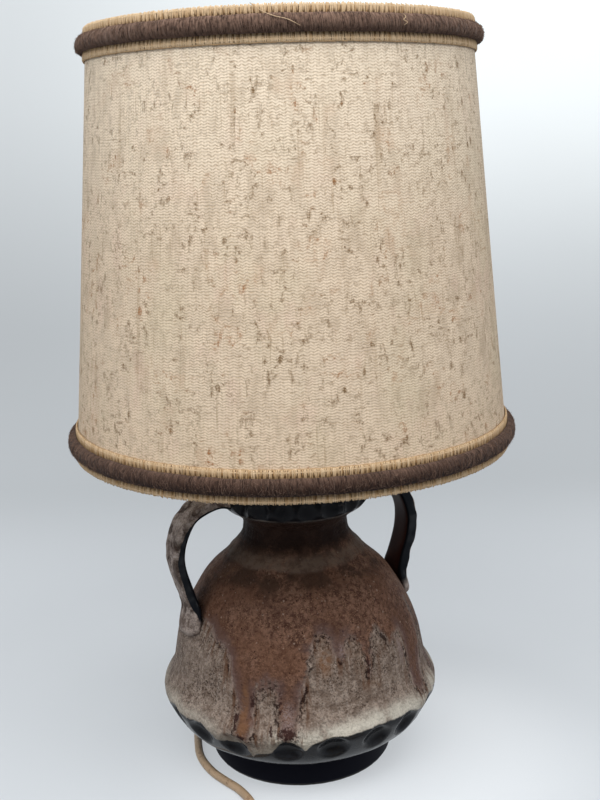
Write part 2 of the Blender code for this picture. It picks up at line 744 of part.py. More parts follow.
def make_centre_contact(brass):
    """The springy tongue under the bulb: a foot, a slope and a short tip."""
    foot = SLEEVE_BOTTOM
    tip = foot + CONTACT_RISE
    half = CONTACT_REACH / 2
    side = CONTACT_WIDTH / 2
    path = ((CONTACT_REACH, foot), (half, foot), (0, tip), (-half / 2, tip))
    rings = []
    for x, z in path:
        low = [Vector((x, y, z)) for y in (-side, side)]
        high = [Vector((x, y, z + CONTACT_SHEET)) for y in (side, -side)]
        rings.append(low + high)
    lofted("centre_contact", rings, brass, smooth=False)


def make_shade_rings(plastic):
    """The two threaded rings that clamp the shade's fitter."""
    bore = HOLDER_RADIUS + GAP
    collar = bore + RING_COLLAR_WALL
    profile = (
        (bore, 0),
        (bore, RING_HEIGHT),
        (collar, RING_HEIGHT),
        (collar, RING_FLANGE),
        (RING_RADIUS, RING_FLANGE),
        (RING_RADIUS, 0),
    )
    upper = turned("shade_ring_upper", profile, ROUND_SEGMENTS, plastic)
    upper.location.z = UPPER_RING_BOTTOM
    lower = turned("shade_ring_lower", profile, ROUND_SEGMENTS, plastic)
    lower.rotation_euler.x = math.pi
    lower.location.z = LOWER_RING_BOTTOM + RING_HEIGHT


def bulb_outline(inset):
    """Outline of the bulb's glass above its neck, drawn in by an inset."""
    neck_radius = BULB_CAP_RADIUS - BULB_CAP_SHEET - GAP
    points = [(neck_radius - inset, BULB_CAP_HEIGHT - BULB_NECK_DEPTH)]
    points.append((neck_radius - inset, BULB_CAP_HEIGHT + BULB_CONTACT_HEIGHT))
    for radius_share, height_share in BULB_FLARE_SHARES:
        points.append((BULB_RADIUS * radius_share - inset, BULB_HEIGHT * height_share))
    centre = BULB_HEIGHT - BULB_RADIUS
    for i in range(BULB_ARC_STEPS + 1):
        angle = BULB_ARC_START + (math.pi / 2 - BULB_ARC_START) * i / BULB_ARC_STEPS
        radius = 0 if i == BULB_ARC_STEPS else (BULB_RADIUS - inset) * math.cos(angle)
        points.append((radius, centre + (BULB_RADIUS - inset) * math.sin(angle)))
    return points


def make_bulb(glass, brass, steel):
    """A pear-shaped bulb: its glass, its screw cap and the contact at the foot."""
    profile = list(reversed(bulb_outline(0))) + bulb_outline(BULB_GLASS)
    envelope = turned("bulb_glass", profile, BULB_SEGMENTS, glass)
    envelope.location.z = BULB_BOTTOM
    disc = (
        (0, BULB_CONTACT_HEIGHT),
        (BULB_CONTACT_RADIUS, BULB_CONTACT_HEIGHT),
        (BULB_CONTACT_RADIUS, 0),
        (0, 0),
    )
    contact = turned("bulb_contact", disc, SMALL_SEGMENTS, steel)
    contact.location.z = BULB_BOTTOM
    outer, inner = BULB_CAP_RADIUS, BULB_CAP_RADIUS - BULB_CAP_SHEET
    low = BULB_CONTACT_HEIGHT + GAP
    profile = (
        (0, low + BULB_CAP_SHEET),
        (inner - BULB_CAP_TAPER, low + BULB_CAP_SHEET),
        (inner, low + BULB_CAP_TAPER + BULB_CAP_SHEET),
        (inner, BULB_CAP_HEIGHT),
        (outer, BULB_CAP_HEIGHT),
        (outer, low + BULB_CAP_TAPER),
        (outer - BULB_CAP_TAPER, low),
        (0, low),
    )
    cap = turned("bulb_cap", profile, ROUND_SEGMENTS, brass)
    cap.location.z = BULB_BOTTOM


def shade_radius(height):
    """Radius of the shade cloth's outside at one height."""
    share = (height - SHADE_BOTTOM) / SHADE_HEIGHT
    return SHADE_BOTTOM_RADIUS + (SHADE_TOP_RADIUS - SHADE_BOTTOM_RADIUS) * share


def cone_shell(name, bottom, top, inner, outer, finish):
    """A tapered sleeve that follows the shade, between two distances from its cloth."""
    profile = (
        (shade_radius(top) + outer, top),
        (shade_radius(bottom) + outer, bottom),
        (shade_radius(bottom) + inner, bottom),
        (shade_radius(top) + inner, top),
    )
    return turned(name, profile, SHADE_SEGMENTS, finish)


def make_trim(name, bottom, braid, wool):
    """A braid round the shade and the half-round wool roll along its middle."""
    inner, outer = GAP, GAP + TRIM_THICKNESS
    cone_shell(f"trim_{name}_band", bottom, bottom + TRIM_WIDTH, inner, outer, braid)
    middle = bottom + TRIM_WIDTH / 2
    profile = []
    for i in range(ROLL_STEPS + 1):
        angle = math.pi * i / ROLL_STEPS
        height = middle + ROLL_WIDTH / 2 * math.cos(angle)
        bulge = outer + GAP + ROLL_BULGE * math.sin(angle)
        profile.append((shade_radius(height) + bulge, height))
    turned(f"trim_{name}_roll", profile, SHADE_SEGMENTS, wool)


def frame_ring(name, height, finish):
    """A wire ring inside the liner."""
    centre = frame_ring_radius(height)
    profile = []
    for i in range(FRAME_WIRE_SIDES):
        angle = -math.tau * (i + 0.5) / FRAME_WIRE_SIDES
        radius = centre + FRAME_WIRE_RADIUS * math.cos(angle)
        profile.append((radius, height + FRAME_WIRE_RADIUS * math.sin(angle)))
    turned(name, profile, SHADE_SEGMENTS, finish)


def frame_ring_radius(height):
    """Radius of the middle of a wire ring that touches the liner."""
    return shade_radius(height) - FABRIC_THICKNESS - LINER_THICKNESS - 2 * GAP - FRAME_WIRE_RADIUS - GAP


def make_shade(cloth, liner, braid, wool, wire):
    """The shade: cloth on a stiff liner, two wire rings, the fitter and the trims."""
    cone_shell("shade_fabric", SHADE_BOTTOM, SHADE_TOP, -FABRIC_THICKNESS, 0, cloth)
    outer = -FABRIC_THICKNESS - GAP
    bottom, top = SHADE_BOTTOM + LINER_INSET, SHADE_TOP - LINER_INSET
    cone_shell("shade_liner", bottom, top, outer - LINER_THICKNESS, outer, liner)
    make_trim("bottom", SHADE_BOTTOM - TRIM_OVERHANG, braid, wool)
    make_trim("top", SHADE_TOP + TRIM_OVERHANG - TRIM_WIDTH, braid, wool)
    ring_height = SHADE_BOTTOM + FRAME_WIRE_INSET
    frame_ring("frame_bottom_ring", ring_height, wire)
    frame_ring("frame_top_ring", SHADE_TOP - FRAME_WIRE_INSET, wire)
    inner = HOLDER_RADIUS + FITTER_PLAY
    fitter = ring_profile(inner, FITTER_RADIUS, FITTER_BOTTOM, FITTER_BOTTOM + FITTER_SHEET)
    turned("fitter_ring", fitter, ROUND_SEGMENTS, wire)
    start = FITTER_RADIUS + GAP
    end = (frame_ring_radius(ring_height) - FRAME_WIRE_RADIUS) * math.cos(math.pi / SHADE_SEGMENTS) - GAP
    level = start + (end - start) * SPOKE_LEVEL_SHARE
    high = FITTER_BOTTOM + FITTER_SHEET / 2
    path = ((start, high), (level, high), (end - FRAME_WIRE_INSET, ring_height), (end, ring_height))
    for i in range(SPOKE_COUNT):
        turn = Matrix.Rotation(SPOKE_TURN + math.tau * i / SPOKE_COUNT, 3, "Z")
        points = [turn @ Vector((r, 0, z)) for r, z in path]
        tube(f"spoke_{i + 1}", points, SPOKE_RADIUS, 1, wire)


def make_inner_lead(finish):
    """The lead from the lampholder down the rod, round its bend and out through the bush."""
    points = [Vector((0, 0, INSERT_BOTTOM - GAP))]
    for i in range(LEAD_BEND_STEPS + 1):
        angle = math.pi / 2 * i / LEAD_BEND_STEPS
        y = LEAD_BEND * (1 - math.cos(angle))
        points.append(Vector((0, y, ROD_BOTTOM - LEAD_BEND * math.sin(angle))))
    points.append(Vector((0, lead_exit() - GAP, LEAD_HOLE_HEIGHT)))
    tube("inner_lead", points, LEAD_RADIUS, 2, finish)


def lead_exit():
    """How far behind the lamp's axis the free lead starts."""
    return FOOT_RADIUS + GAP + GROMMET_FLANGE + GAP


def coil_points():
    """Centre points of the wound length, in the coil's own frame, with a straight run at each end."""
    half = COIL_TURNS / 2
    start_radius = COIL_MEAN_RADIUS + COIL_HALF_SPREAD
    total = round(COIL_TURNS * COIL_POINTS_PER_LOOP)
    points = []
    for i in range(total + 1):
        turns = COIL_TURNS * i / total
        angle = COIL_START_ANGLE - math.tau * turns
        radius = start_radius - COIL_PITCH * (half - abs(turns - half))
        climb = min(1, max(0, (turns - half) / COIL_CLIMB_TURNS + 0.5))
        climb = climb * climb * (3 - 2 * climb)
        x, y = radius * math.cos(angle), radius * math.sin(angle)
        points.append(Vector((x, y, climb * COIL_RISE)))
    lead_in = (points[0] - points[1]).normalized()
    lead_out = (points[-1] - points[-2]).normalized()
    lead_in.z = lead_out.z = 0
    points.insert(0, points[0] + lead_in * LEAD_DIAMETER)
    points.append(points[-1] + lead_out * LEAD_DIAMETER)
    return points


def coil_least_gap(points):
    """The least gap between the wound turns, measured on the centre points."""
    least = BELLY_RADIUS
    apart = COIL_POINTS_PER_LOOP // 2
    for i, near in enumerate(points):
        for far in points[i + apart :]:
            least = min(least, (far - near).length)
    return least - LEAD_DIAMETER


def make_tie(place, finish, parent):
    """The band that holds the wound turns together."""
    start_radius = COIL_MEAN_RADIUS + COIL_HALF_SPREAD
    low = COIL_MEAN_RADIUS - COIL_HALF_SPREAD - LEAD_RADIUS - TIE_CLEARANCE
    high = start_radius + LEAD_RADIUS + TIE_CLEARANCE
    top = COIL_HEIGHT + COIL_RISE + LEAD_RADIUS + TIE_CLEARANCE
    half = TIE_WIDTH / 2
    corner = (high + TIE_SHEET, half, top + TIE_SHEET)
    band = block("coil_tie", (low - TIE_SHEET, -half, 0), corner, finish, parent)
    corner = (high, half + OVERRUN, top)
    hole = block("cutter_coil_tie", (low, -half - OVERRUN, TIE_SHEET), corner, None, parent)
    cut(band, hole)
    for piece in (band, hole):
        piece.location = place
        piece.rotation_euler.z = TIE_ANGLE


def make_lead(beige, finish_tie, frame):
    """The free lead in three runs, with its wound spare length and the tie."""
    back = frame.matrix_local.inverted()
    start = back @ Vector((0, lead_exit(), LEAD_HOLE_HEIGHT))
    straight = back @ Vector((0, lead_exit() + 2 * LEAD_DIAMETER, LEAD_HOLE_HEIGHT))
    inside = SWITCH_LENGTH / 2 - SWITCH_END_WALL - GAP
    before = Vector((SWITCH_PLACE[0] - inside, SWITCH_PLACE[1], SWITCH_BASE_HEIGHT))
    mouth = before - Vector((SWITCH_END_WALL + LEAD_DIAMETER, 0, 0))
    route = lead_run((start, straight, *ROUTE_TO_SWITCH, mouth, before))
    tube("lead_to_switch", route, LEAD_RADIUS, 2, beige, frame)

    place = Vector((*COIL_PLACE, COIL_HEIGHT))
    wound = coil_points()
    print(f"least gap between the wound turns: {coil_least_gap(wound) * 1000:.2f} mm")
    coil = tube("lead_coil", wound, LEAD_RADIUS, 1, beige, frame)
    coil.location = place

    after = Vector((SWITCH_PLACE[0] + inside, SWITCH_PLACE[1], SWITCH_BASE_HEIGHT))
    mouth = after + Vector((SWITCH_END_WALL + LEAD_DIAMETER, 0, 0))
    inward = (wound[1] - wound[0]).normalized()
    end = wound[0] + place - inward * GAP
    route = lead_run((after, mouth, *ROUTE_TO_COIL, end - inward * 2 * LEAD_DIAMETER, end))
    tube("lead_to_coil", route, LEAD_RADIUS, 2, beige, frame)

    outward = (wound[-1] - wound[-2]).normalized()
    start = wound[-1] + place + outward * GAP
    end = Vector((*PLUG_PLACE, PLUG_HEIGHT))
    straight = end - Vector((LEAD_DIAMETER, 0, 0))
    route = lead_run((start, start + outward * LEAD_DIAMETER, *ROUTE_TO_PLUG, straight, end))
    tube("lead_to_plug", route, LEAD_RADIUS, 2, beige, frame)
    make_tie((*COIL_PLACE, 0), finish_tie, frame)


def make_switch_shells(plastic, frame):
    """The two halves of the inline switch, cut for the works, the rocker and the lead."""
    split = SWITCH_BASE_HEIGHT
    full = oval(SWITCH_LENGTH, SWITCH_WIDTH, SWITCH_SQUARENESS, SWITCH_OUTLINE_POINTS)
    length, width = SWITCH_LENGTH - 2 * SWITCH_EDGE, SWITCH_WIDTH - 2 * SWITCH_EDGE
    drawn_in = oval(length, width, SWITCH_SQUARENESS, SWITCH_OUTLINE_POINTS)
    base_levels = ((drawn_in, 0), (full, SWITCH_EDGE), (full, split))
    cover_levels = ((full, split + GAP), (full, SWITCH_HEIGHT - SWITCH_EDGE), (drawn_in, SWITCH_HEIGHT))
    shells = []
    for name, levels in (("switch_base", base_levels), ("switch_cover", cover_levels)):
        rings = [[Vector((x, y, z)) for x, y in outline] for outline, z in levels]
        shells.append(lofted(name, rings, plastic, frame))
    half_length = SWITCH_LENGTH / 2 - SWITCH_END_WALL
    half_width = ROCKER_WIDTH / 2 + ROCKER_CLEARANCE
    low = (-half_length, -half_width, SWITCH_FLOOR)
    corner = (half_length, half_width, SWITCH_HEIGHT - SWITCH_TOP_WALL)
    works = block("cutter_switch_works", low, corner, None, frame)
    entry_radius = LEAD_RADIUS + LEAD_CLEARANCE
    reach = SWITCH_LENGTH / 2 + OVERRUN
    start, end = (-reach, 0, split), (reach, 0, split)
    entry = rod_between("cutter_switch_entry", start, end, entry_radius, SMALL_SEGMENTS, "X", None, frame)
    for shell in shells:
        cut(shell, works)
        cut(shell, entry)
    window_length = ROCKER_REACH + ROCKER_CLEARANCE
    low = (-window_length, -half_width, split + SWITCH_EDGE)
    corner = (window_length, half_width, SWITCH_HEIGHT + OVERRUN)
    cut(shells[1], block("cutter_switch_window", low, corner, None, frame))
    return shells


def rocker_section():
    """Side view of the rocker about its pin: two round ends and a shallow dip on top."""
    end = []
    for i in range(ROCKER_END_STEPS + 1):
        angle = ROCKER_BOTTOM_ANGLE + (ROCKER_TOP_ANGLE - ROCKER_BOTTOM_ANGLE) * i / ROCKER_END_STEPS
        end.append((ROCKER_REACH * math.cos(angle), ROCKER_REACH * math.sin(angle)))
    dip = (0, ROCKER_REACH * ROCKER_DIP_SHARE)
    return end + [dip] + [(-x, z) for x, z in reversed(end)]


def make_switch(plastic, steel, brass, lead_frame):
    """The inline rocker switch on the lead."""
    frame = link("switch_frame", None, parent=lead_frame)
    frame.location = (*SWITCH_PLACE, 0)
    shells = make_switch_shells(plastic, frame)
    pivot = SWITCH_HEIGHT - ROCKER_PIVOT_DEPTH
    half = ROCKER_WIDTH / 2
    rings = [[Vector((x, y, z)) for x, z in rocker_section()] for y in (half, -half)]
    rocker = lofted("switch_rocker", rings, plastic, frame, smooth=False)
    reach = half + ROCKER_CLEARANCE + ROCKER_PIN_SEAT
    hole_radius = ROCKER_PIN_RADIUS + GAP
    start, end = (0, -reach, 0), (0, reach, 0)
    hole = rod_between("cutter_rocker_pin", start, end, hole_radius, PIN_SIDES, "Y", None, frame)
    hole.location.z = pivot
    cut(rocker, hole)
    cut(shells[1], hole)
    rocker.location.z = pivot
    rocker.rotation_euler.y = ROCKER_TILT
    start, end = (0, GAP - reach, pivot), (0, reach - GAP, pivot)
    rod_between("switch_pin", start, end, ROCKER_PIN_RADIUS, PIN_SIDES, "Y", steel, frame)
    face = SWITCH_LENGTH / 2 - SWITCH_END_WALL - 2 * GAP
    low = SWITCH_FLOOR + GAP
    for name, side in (("switch_terminal_in", -1), ("switch_terminal_out", 1)):
        xs = sorted((side * face, side * (face - BLOCK_LENGTH)))
        corner = (xs[1], BLOCK_WIDTH / 2, low + BLOCK_HEIGHT)
        block(name, (xs[0], -BLOCK_WIDTH / 2, low), corner, brass, frame)


def make_plug(plastic, steel, lead_frame):
    """A flat two-pin plug with its tapered strain relief."""
    frame = link("plug_frame", None, parent=lead_frame)
    frame.location = (*PLUG_PLACE, PLUG_HEIGHT)
    relief = 2 * (LEAD_RADIUS + PLUG_RELIEF_WALL)
    sections = [(GAP, relief, relief)]
    for along, width, thickness in PLUG_SECTION_SHARES:
        x = PLUG_RELIEF_LENGTH + PLUG_LENGTH * along
        sections.append((x, PLUG_WIDTH * width, PLUG_THICKNESS * thickness))
    rings = []
    for x, width, thickness in sections:
        outline = oval(width, thickness, PLUG_SQUARENESS, PLUG_OUTLINE_POINTS)
        rings.append([Vector((x, y, z)) for y, z in outline])
    body = lofted("plug_body", rings, plastic, frame)
    face = PLUG_RELIEF_LENGTH + PLUG_LENGTH
    for name, side in (("plug_pin_left", 1), ("plug_pin_right", -1)):
        y = side * PIN_SPACING / 2
        seat = (face - PIN_SEAT - GAP, y, 0)
        past = (face + OVERRUN, y, 0)
        hole_radius = PIN_RADIUS + GAP
        cut(body, rod_between("cutter_" + name, seat, past, hole_radius, PIN_SIDES, "X", None, frame))
        start, end = (face - PIN_SEAT, y, 0), (face + PIN_LENGTH, y, 0)
        rod_between(name, start, end, PIN_RADIUS, PIN_SIDES, "X", steel, frame)


def main():
    """Build the lamp from the floor up."""
    clear_scene()
    stoneware = material("stoneware", (0.16, 0.11, 0.09), 0.45)
    black_glaze = material("black_glaze", (0.06, 0.05, 0.05), 0.25)
    felt = material("felt", (0.05, 0.05, 0.05), 0.95)
    rubber = material("bush_plastic", (0.45, 0.38, 0.28), 0.5)
    steel = material("zinc_steel", (0.55, 0.55, 0.53), 0.35, 1.0)
    brass = material("brass", (0.62, 0.45, 0.20), 0.3, 1.0)
    cork = material("gasket", (0.35, 0.24, 0.14), 0.9)
    bakelite = material("holder_plastic", (0.05, 0.045, 0.04), 0.4)
    porcelain = material("porcelain", (0.80, 0.78, 0.73), 0.3)
    glass = material("opal_glass", (0.92, 0.91, 0.88), 0.2)
    cloth = material("shade_cloth", (0.72, 0.60, 0.42), 0.9)
    liner = material("shade_liner", (0.85, 0.80, 0.70), 0.5)
    braid = material("braid", (0.66, 0.50, 0.28), 0.9)
    wool = material("wool_roll", (0.12, 0.08, 0.06), 1.0)
    wire = material("painted_wire", (0.75, 0.73, 0.68), 0.4)
    beige = material("lead_beige", (0.66, 0.56, 0.42), 0.5)
    switch_plastic = material("switch_plastic", (0.70, 0.62, 0.48), 0.4)
    tie = material("tie_plastic", (0.85, 0.85, 0.82), 0.5)

    make_body(stoneware, black_glaze)
    make_foot_pieces(felt, rubber, steel)
    make_neck_pieces(brass, cork, steel)
    make_holder(bakelite, porcelain, brass)
    make_shade_rings(bakelite)
    make_bulb(glass, brass, steel)
    make_shade(cloth, liner, braid, wool, wire)
    make_inner_lead(beige)
    lead_frame = link("lead_frame", None)
    lead_frame.rotation_euler.z = LEAD_FRAME_TURN
    bpy.context.view_layer.update()
    make_lead(beige, tie, lead_frame)
    make_switch(switch_plastic, steel, brass, lead_frame)
    make_plug(switch_plastic, steel, lead_frame)


main()
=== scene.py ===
"""A ceramic table lamp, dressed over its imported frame.

A thumb-pressed stoneware body with two strap handles carries a tapered drum shade with wool-rolled rims.
Each sub-assembly is a class that holds its sizes and builds its own pieces, and each finish is a frozen
dataclass that makes one material. Lengths are in metres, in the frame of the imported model.
"""

import json
import logging
import math
from collections.abc import Callable, Sequence
from dataclasses import dataclass, field
from enum import Enum
from functools import lru_cache, reduce

import bmesh
import bpy
import numpy as np
from mathutils import Matrix, Vector


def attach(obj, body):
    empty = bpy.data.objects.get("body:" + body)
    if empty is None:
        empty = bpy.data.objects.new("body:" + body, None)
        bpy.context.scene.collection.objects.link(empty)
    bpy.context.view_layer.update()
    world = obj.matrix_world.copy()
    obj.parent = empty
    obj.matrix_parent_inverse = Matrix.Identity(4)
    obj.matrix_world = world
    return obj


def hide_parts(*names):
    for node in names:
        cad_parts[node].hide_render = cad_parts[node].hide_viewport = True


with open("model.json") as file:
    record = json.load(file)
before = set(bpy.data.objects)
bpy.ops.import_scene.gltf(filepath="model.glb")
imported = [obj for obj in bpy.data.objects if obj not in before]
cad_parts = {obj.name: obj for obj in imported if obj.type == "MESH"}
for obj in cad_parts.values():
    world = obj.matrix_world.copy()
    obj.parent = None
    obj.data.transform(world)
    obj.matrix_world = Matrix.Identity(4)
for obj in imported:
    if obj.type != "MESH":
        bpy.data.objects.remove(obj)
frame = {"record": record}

LOG = logging.getLogger("lamp")

Socket = bpy.types.NodeSocket
Node = bpy.types.Node
Tree = bpy.types.NodeTree
Outputs = bpy.types.NodeOutputs
Object = bpy.types.Object
Material = bpy.types.Material
Feed = float | Sequence[float] | Socket
Profile = Sequence[tuple[float, float]]
Knots = Sequence[tuple[float, float]]
Blots = Sequence[tuple[float, float, float, float]]
Colour = tuple[float, float, float]
Body = tuple[np.ndarray, list, dict[str, float | np.ndarray]]

GAP = 0.0003
ON_AXIS = 1e-7
VIEW_TURN = math.radians(-22.5)
TO_VIEW = Matrix.Rotation(VIEW_TURN, 4, "Z")
SEED = 41


class Side(Enum):
    """Which side of the lamp a piece of a pair is on."""

    LEFT = -1
    RIGHT = 1


class Rim(Enum):
    """Which rim of the shade a trim goes round."""

    TOP = "top"
    BOTTOM = "bottom"


def socket_name(key: str) -> str:
    """A shader socket's own name, from lower case with underscores."""
    return key.replace("_", " ").title().replace("Ior", "IOR")


def shaded(colour: Colour, share: float) -> Colour:
    """A colour made darker or paler by a share, with no part over 1."""
    return tuple(min(1.0, part * share) for part in colour)


class Graph:
    """Adds nodes to one shader tree and wires them as they are made."""

    def __init__(self, tree: Tree) -> None:
        """Keep the tree that the nodes go into."""
        self.tree = tree

    def feed(self, socket: Socket, value: Feed) -> None:
        """Link a socket to an input, or set the input's value.

        Args:
            socket: The input to feed.
            value: A number, a colour, a vector or another node's output.
        """
        if isinstance(value, Socket):
            self.tree.links.new(value, socket)
        elif socket.type == "RGBA" and len(value) == 3:
            socket.default_value = (*value, 1.0)
        else:
            socket.default_value = value

    def dress(self, shader: Node, **results: Feed) -> None:
        """Feed a shader's inputs, each named in lower case with underscores."""
        for key, value in results.items():
            self.feed(shader.inputs[socket_name(key)], value)

    def add(self, kind: str, feeds: dict[int | str, Feed] | None = None, **settings: object) -> Node:
        """Add one node.

        Args:
            kind: The node's type, without its ShaderNode prefix.
            feeds: What goes into each input, by its name or number.
            settings: The node's own properties.

        Returns:
            The new node.
        """
        node = self.tree.nodes.new("ShaderNode" + kind)
        for key, value in settings.items():
            setattr(node, key, value)
        for key, value in (feeds or {}).items():
            self.feed(node.inputs[key], value)
        return node

    def calc(self, operation: str, *values: Feed) -> Socket:
        """One step of arithmetic on one to three values."""
        return self.add("Math", dict(enumerate(values)), operation=operation).outputs[0]

    def times(self, *values: Feed) -> Socket:
        """The product of all the values."""
        return reduce(lambda first, other: self.calc("MULTIPLY", first, other), values)

    def most(self, *values: Feed) -> Socket:
        """The greatest of all the values."""
        return reduce(lambda first, other: self.calc("MAXIMUM", first, other), values)

    def rest(self, share: Feed) -> Socket:
        """What a share leaves of 1."""
        return self.calc("SUBTRACT", 1.0, share)

    def stirred(self, value: Feed, pattern: Socket, strength: float) -> Socket:
        """A value moved up and down by a pattern that runs from 0 to 1."""
        return self.calc("MULTIPLY_ADD", self.calc("SUBTRACT", pattern, 0.5), strength, value)

    def remap(self, value: Feed, low: float, high: float, start: Feed = 0.0, end: Feed = 1.0) -> Socket:
        """Ease a value from the range low to high into start to end, and hold it at both ends."""
        feeds = {"Value": value, "From Min": low, "From Max": high, "To Min": start, "To Max": end}
        return self.add("MapRange", feeds, interpolation_type="SMOOTHSTEP").outputs[0]

    def mix(self, share: Feed, first: Feed, second: Feed) -> Socket:
        """Mix two colours, by the share of the second."""
        return self.add("Mix", {0: share, 6: first, 7: second}, data_type="RGBA").outputs[2]

    def layered(self, colour: Feed, *layers: tuple[Feed, Feed]) -> Socket:
        """Lay colours over a first one in turn, each with its own mask before it."""
        return reduce(lambda under, layer: self.mix(layer[0], under, layer[1]), layers, colour)

    def between(self, share: Feed, first: Feed, second: Feed) -> Socket:
        """Mix two numbers, by the share of the second."""
        return self.add("Mix", {0: share, 2: first, 3: second}, data_type="FLOAT").outputs[0]

    def noise(
        self, place: Socket, scale: Feed, detail: float = 3.0, rough: float = 0.55, warp: float = 0.0
    ) -> Socket:
        """Smooth random mottle from 0 to 1, with this many blotches to a metre and finer layers over them."""
        feeds = {"Vector": place, "Scale": scale, "Detail": detail, "Roughness": rough, "Distortion": warp}
        return self.add("TexNoise", feeds).outputs[0]

    def stretch(self, place: Socket, x: float, y: float, z: float = 1.0) -> Socket:
        """Scale a place along each axis by its own factor."""
        return self.add("VectorMath", {0: place, 1: (x, y, z)}, operation="MULTIPLY").outputs[0]

    def split(self, place: Socket) -> tuple[Socket, Socket, Socket]:
        """The three parts of a vector or colour."""
        node = self.add("SeparateXYZ", {0: place})
        return node.outputs[0], node.outputs[1], node.outputs[2]

    def join(self, x: Feed, y: Feed) -> Socket:
        """A flat vector of two parts."""
        return self.add("CombineXYZ", {0: x, 1: y, 2: 0.0}).outputs[0]

    def place(self) -> Socket:
        """Where a point of the piece is, in metres."""
        return self.add("TexCoord").outputs["Object"]

    def stored(self, name: str) -> Socket:
        """A number that the mesh carries at each point."""
        return self.add("Attribute", attribute_name=name, attribute_type="GEOMETRY").outputs["Fac"]

    def unrolled(self, radius: float) -> tuple[Socket, Socket, Socket]:
        """Unroll a piece that stands round the lamp's axis into a strip that meets itself behind the lamp.

        Args:
            radius: The radius at which lengths along the strip are true.

        Returns:
            The place on the strip, and its two parts: the distance along the strip and the height, in metres.
        """
        to_front = math.radians(90) - VIEW_TURN
        feeds = {"Vector": self.place(), "Angle": to_front}
        turned_place = self.add("VectorRotate", feeds, rotation_type="Z_AXIS")
        x, y, up = self.split(turned_place.outputs[0])
        along = self.times(self.calc("ARCTAN2", y, x), radius)
        return self.join(along, up), along, up

    def bump(self, height: Socket, depth: float, under: Socket | None = None) -> Socket:
        """Relief from a height.

        Args:
            height: The height from 0 to 1.
            depth: What a height of 1 stands up, in metres.
            under: Relief that this one lies on.

        Returns:
            The normal's socket.
        """
        feeds = {"Height": height, "Distance": depth}
        if under is not None:
            feeds["Normal"] = under
        return self.add("Bump", feeds).outputs[0]

    def use(self, tree: Tree, **feeds: Feed) -> Outputs:
        """Place a shared group.

        Args:
            tree: The group.
            feeds: What goes into each of its inputs, named in lower case.

        Returns:
            The group's outputs.
        """
        node = self.tree.nodes.new("ShaderNodeGroup")
        node.node_tree = tree
        self.dress(node, **feeds)
        return node.outputs

    def mottled(self, place: Socket, scale: float, dark: Feed, pale: Feed, speck: Feed) -> Outputs:
        """The shared mottle, for its Colour and Mask."""
        return self.use(mottle_group(), vector=place, scale=scale, dark=dark, pale=pale, speck=speck)

    def flecks(self, place: Socket, scale: float, share: float) -> Socket:
        """The mask of the shared flecks, of which a share of the cells holds one."""
        return self.use(fleck_group(), vector=place, scale=scale, share=share)["Mask"]

    def wear(self, place: Socket, scale: float) -> Socket:
        """The mask of the shared edge wear."""
        return self.use(wear_group(), vector=place, scale=scale)["Mask"]

    def grain(self, place: Socket, scale: float) -> Socket:
        """The height of the shared fine grain."""
        return self.use(grain_group(), vector=place, scale=scale)["Height"]


class SharedGroup:
    """A shader group with named inputs and outputs, filled in by its maker."""

    KINDS = {"value": "NodeSocketFloat", "colour": "NodeSocketColor", "vector": "NodeSocketVector"}

    def __init__(self, name: str, inputs: dict[str, str], outputs: dict[str, str]) -> None:
        """Make the empty group.

        Args:
            name: The group's name.
            inputs: Each input's name and kind.
            outputs: Each output's name and kind.
        """
        self.tree = bpy.data.node_groups.new(name, "ShaderNodeTree")
        for in_out, sockets in (("INPUT", inputs), ("OUTPUT", outputs)):
            for socket, kind in sockets.items():
                self.tree.interface.new_socket(name=socket, in_out=in_out, socket_type=self.KINDS[kind])
        self.graph = Graph(self.tree)
        self.given = self.tree.nodes.new("NodeGroupInput").outputs
        self.results = self.tree.nodes.new("NodeGroupOutput")

    def give(self, **results: Socket) -> Tree:
        """Wire the results to the outputs of the same names, and return the finished group."""
        self.graph.dress(self.results, **results)
        return self.tree


@lru_cache(maxsize=None)
def grain_group() -> Tree:
    """Fine surface grain: broad unevenness with a fine tooth on it.

    Returns:
        A group from Vector and Scale to Height.
    """
    made = SharedGroup("fine_grain", {"Vector": "vector", "Scale": "value"}, {"Height": "value"})
    graph, place, scale = made.graph, made.given["Vector"], made.given["Scale"]
    broad = graph.noise(place, graph.times(scale, 0.12), 3.0)
    return made.give(height=graph.between(0.45, broad, graph.noise(place, scale, 5.0, 0.65)))


@lru_cache(maxsize=None)
def mottle_group() -> Tree:
    """Mottled colour between two tones, with a third in fine specks.

    Returns:
        A group from Vector, Scale, Dark, Pale and Speck to Colour and Mask.
    """
    inputs = {"Vector": "vector", "Scale": "value", "Dark": "colour", "Pale": "colour", "Speck": "colour"}
    made = SharedGroup("mottle", inputs, {"Colour": "colour", "Mask": "value"})
    graph, given = made.graph, made.given
    place, scale = given["Vector"], given["Scale"]
    mask = graph.remap(graph.noise(place, scale, 6.0, 0.68, 0.3), 0.36, 0.64)
    fine = graph.noise(place, graph.times(scale, 4.0), 4.0, 0.7)
    specks = graph.times(graph.remap(fine, 0.55, 0.64), 0.85)
    colour = graph.layered(given["Dark"], (mask, given["Pale"]), (specks, given["Speck"]))
    return made.give(colour=colour, mask=mask)


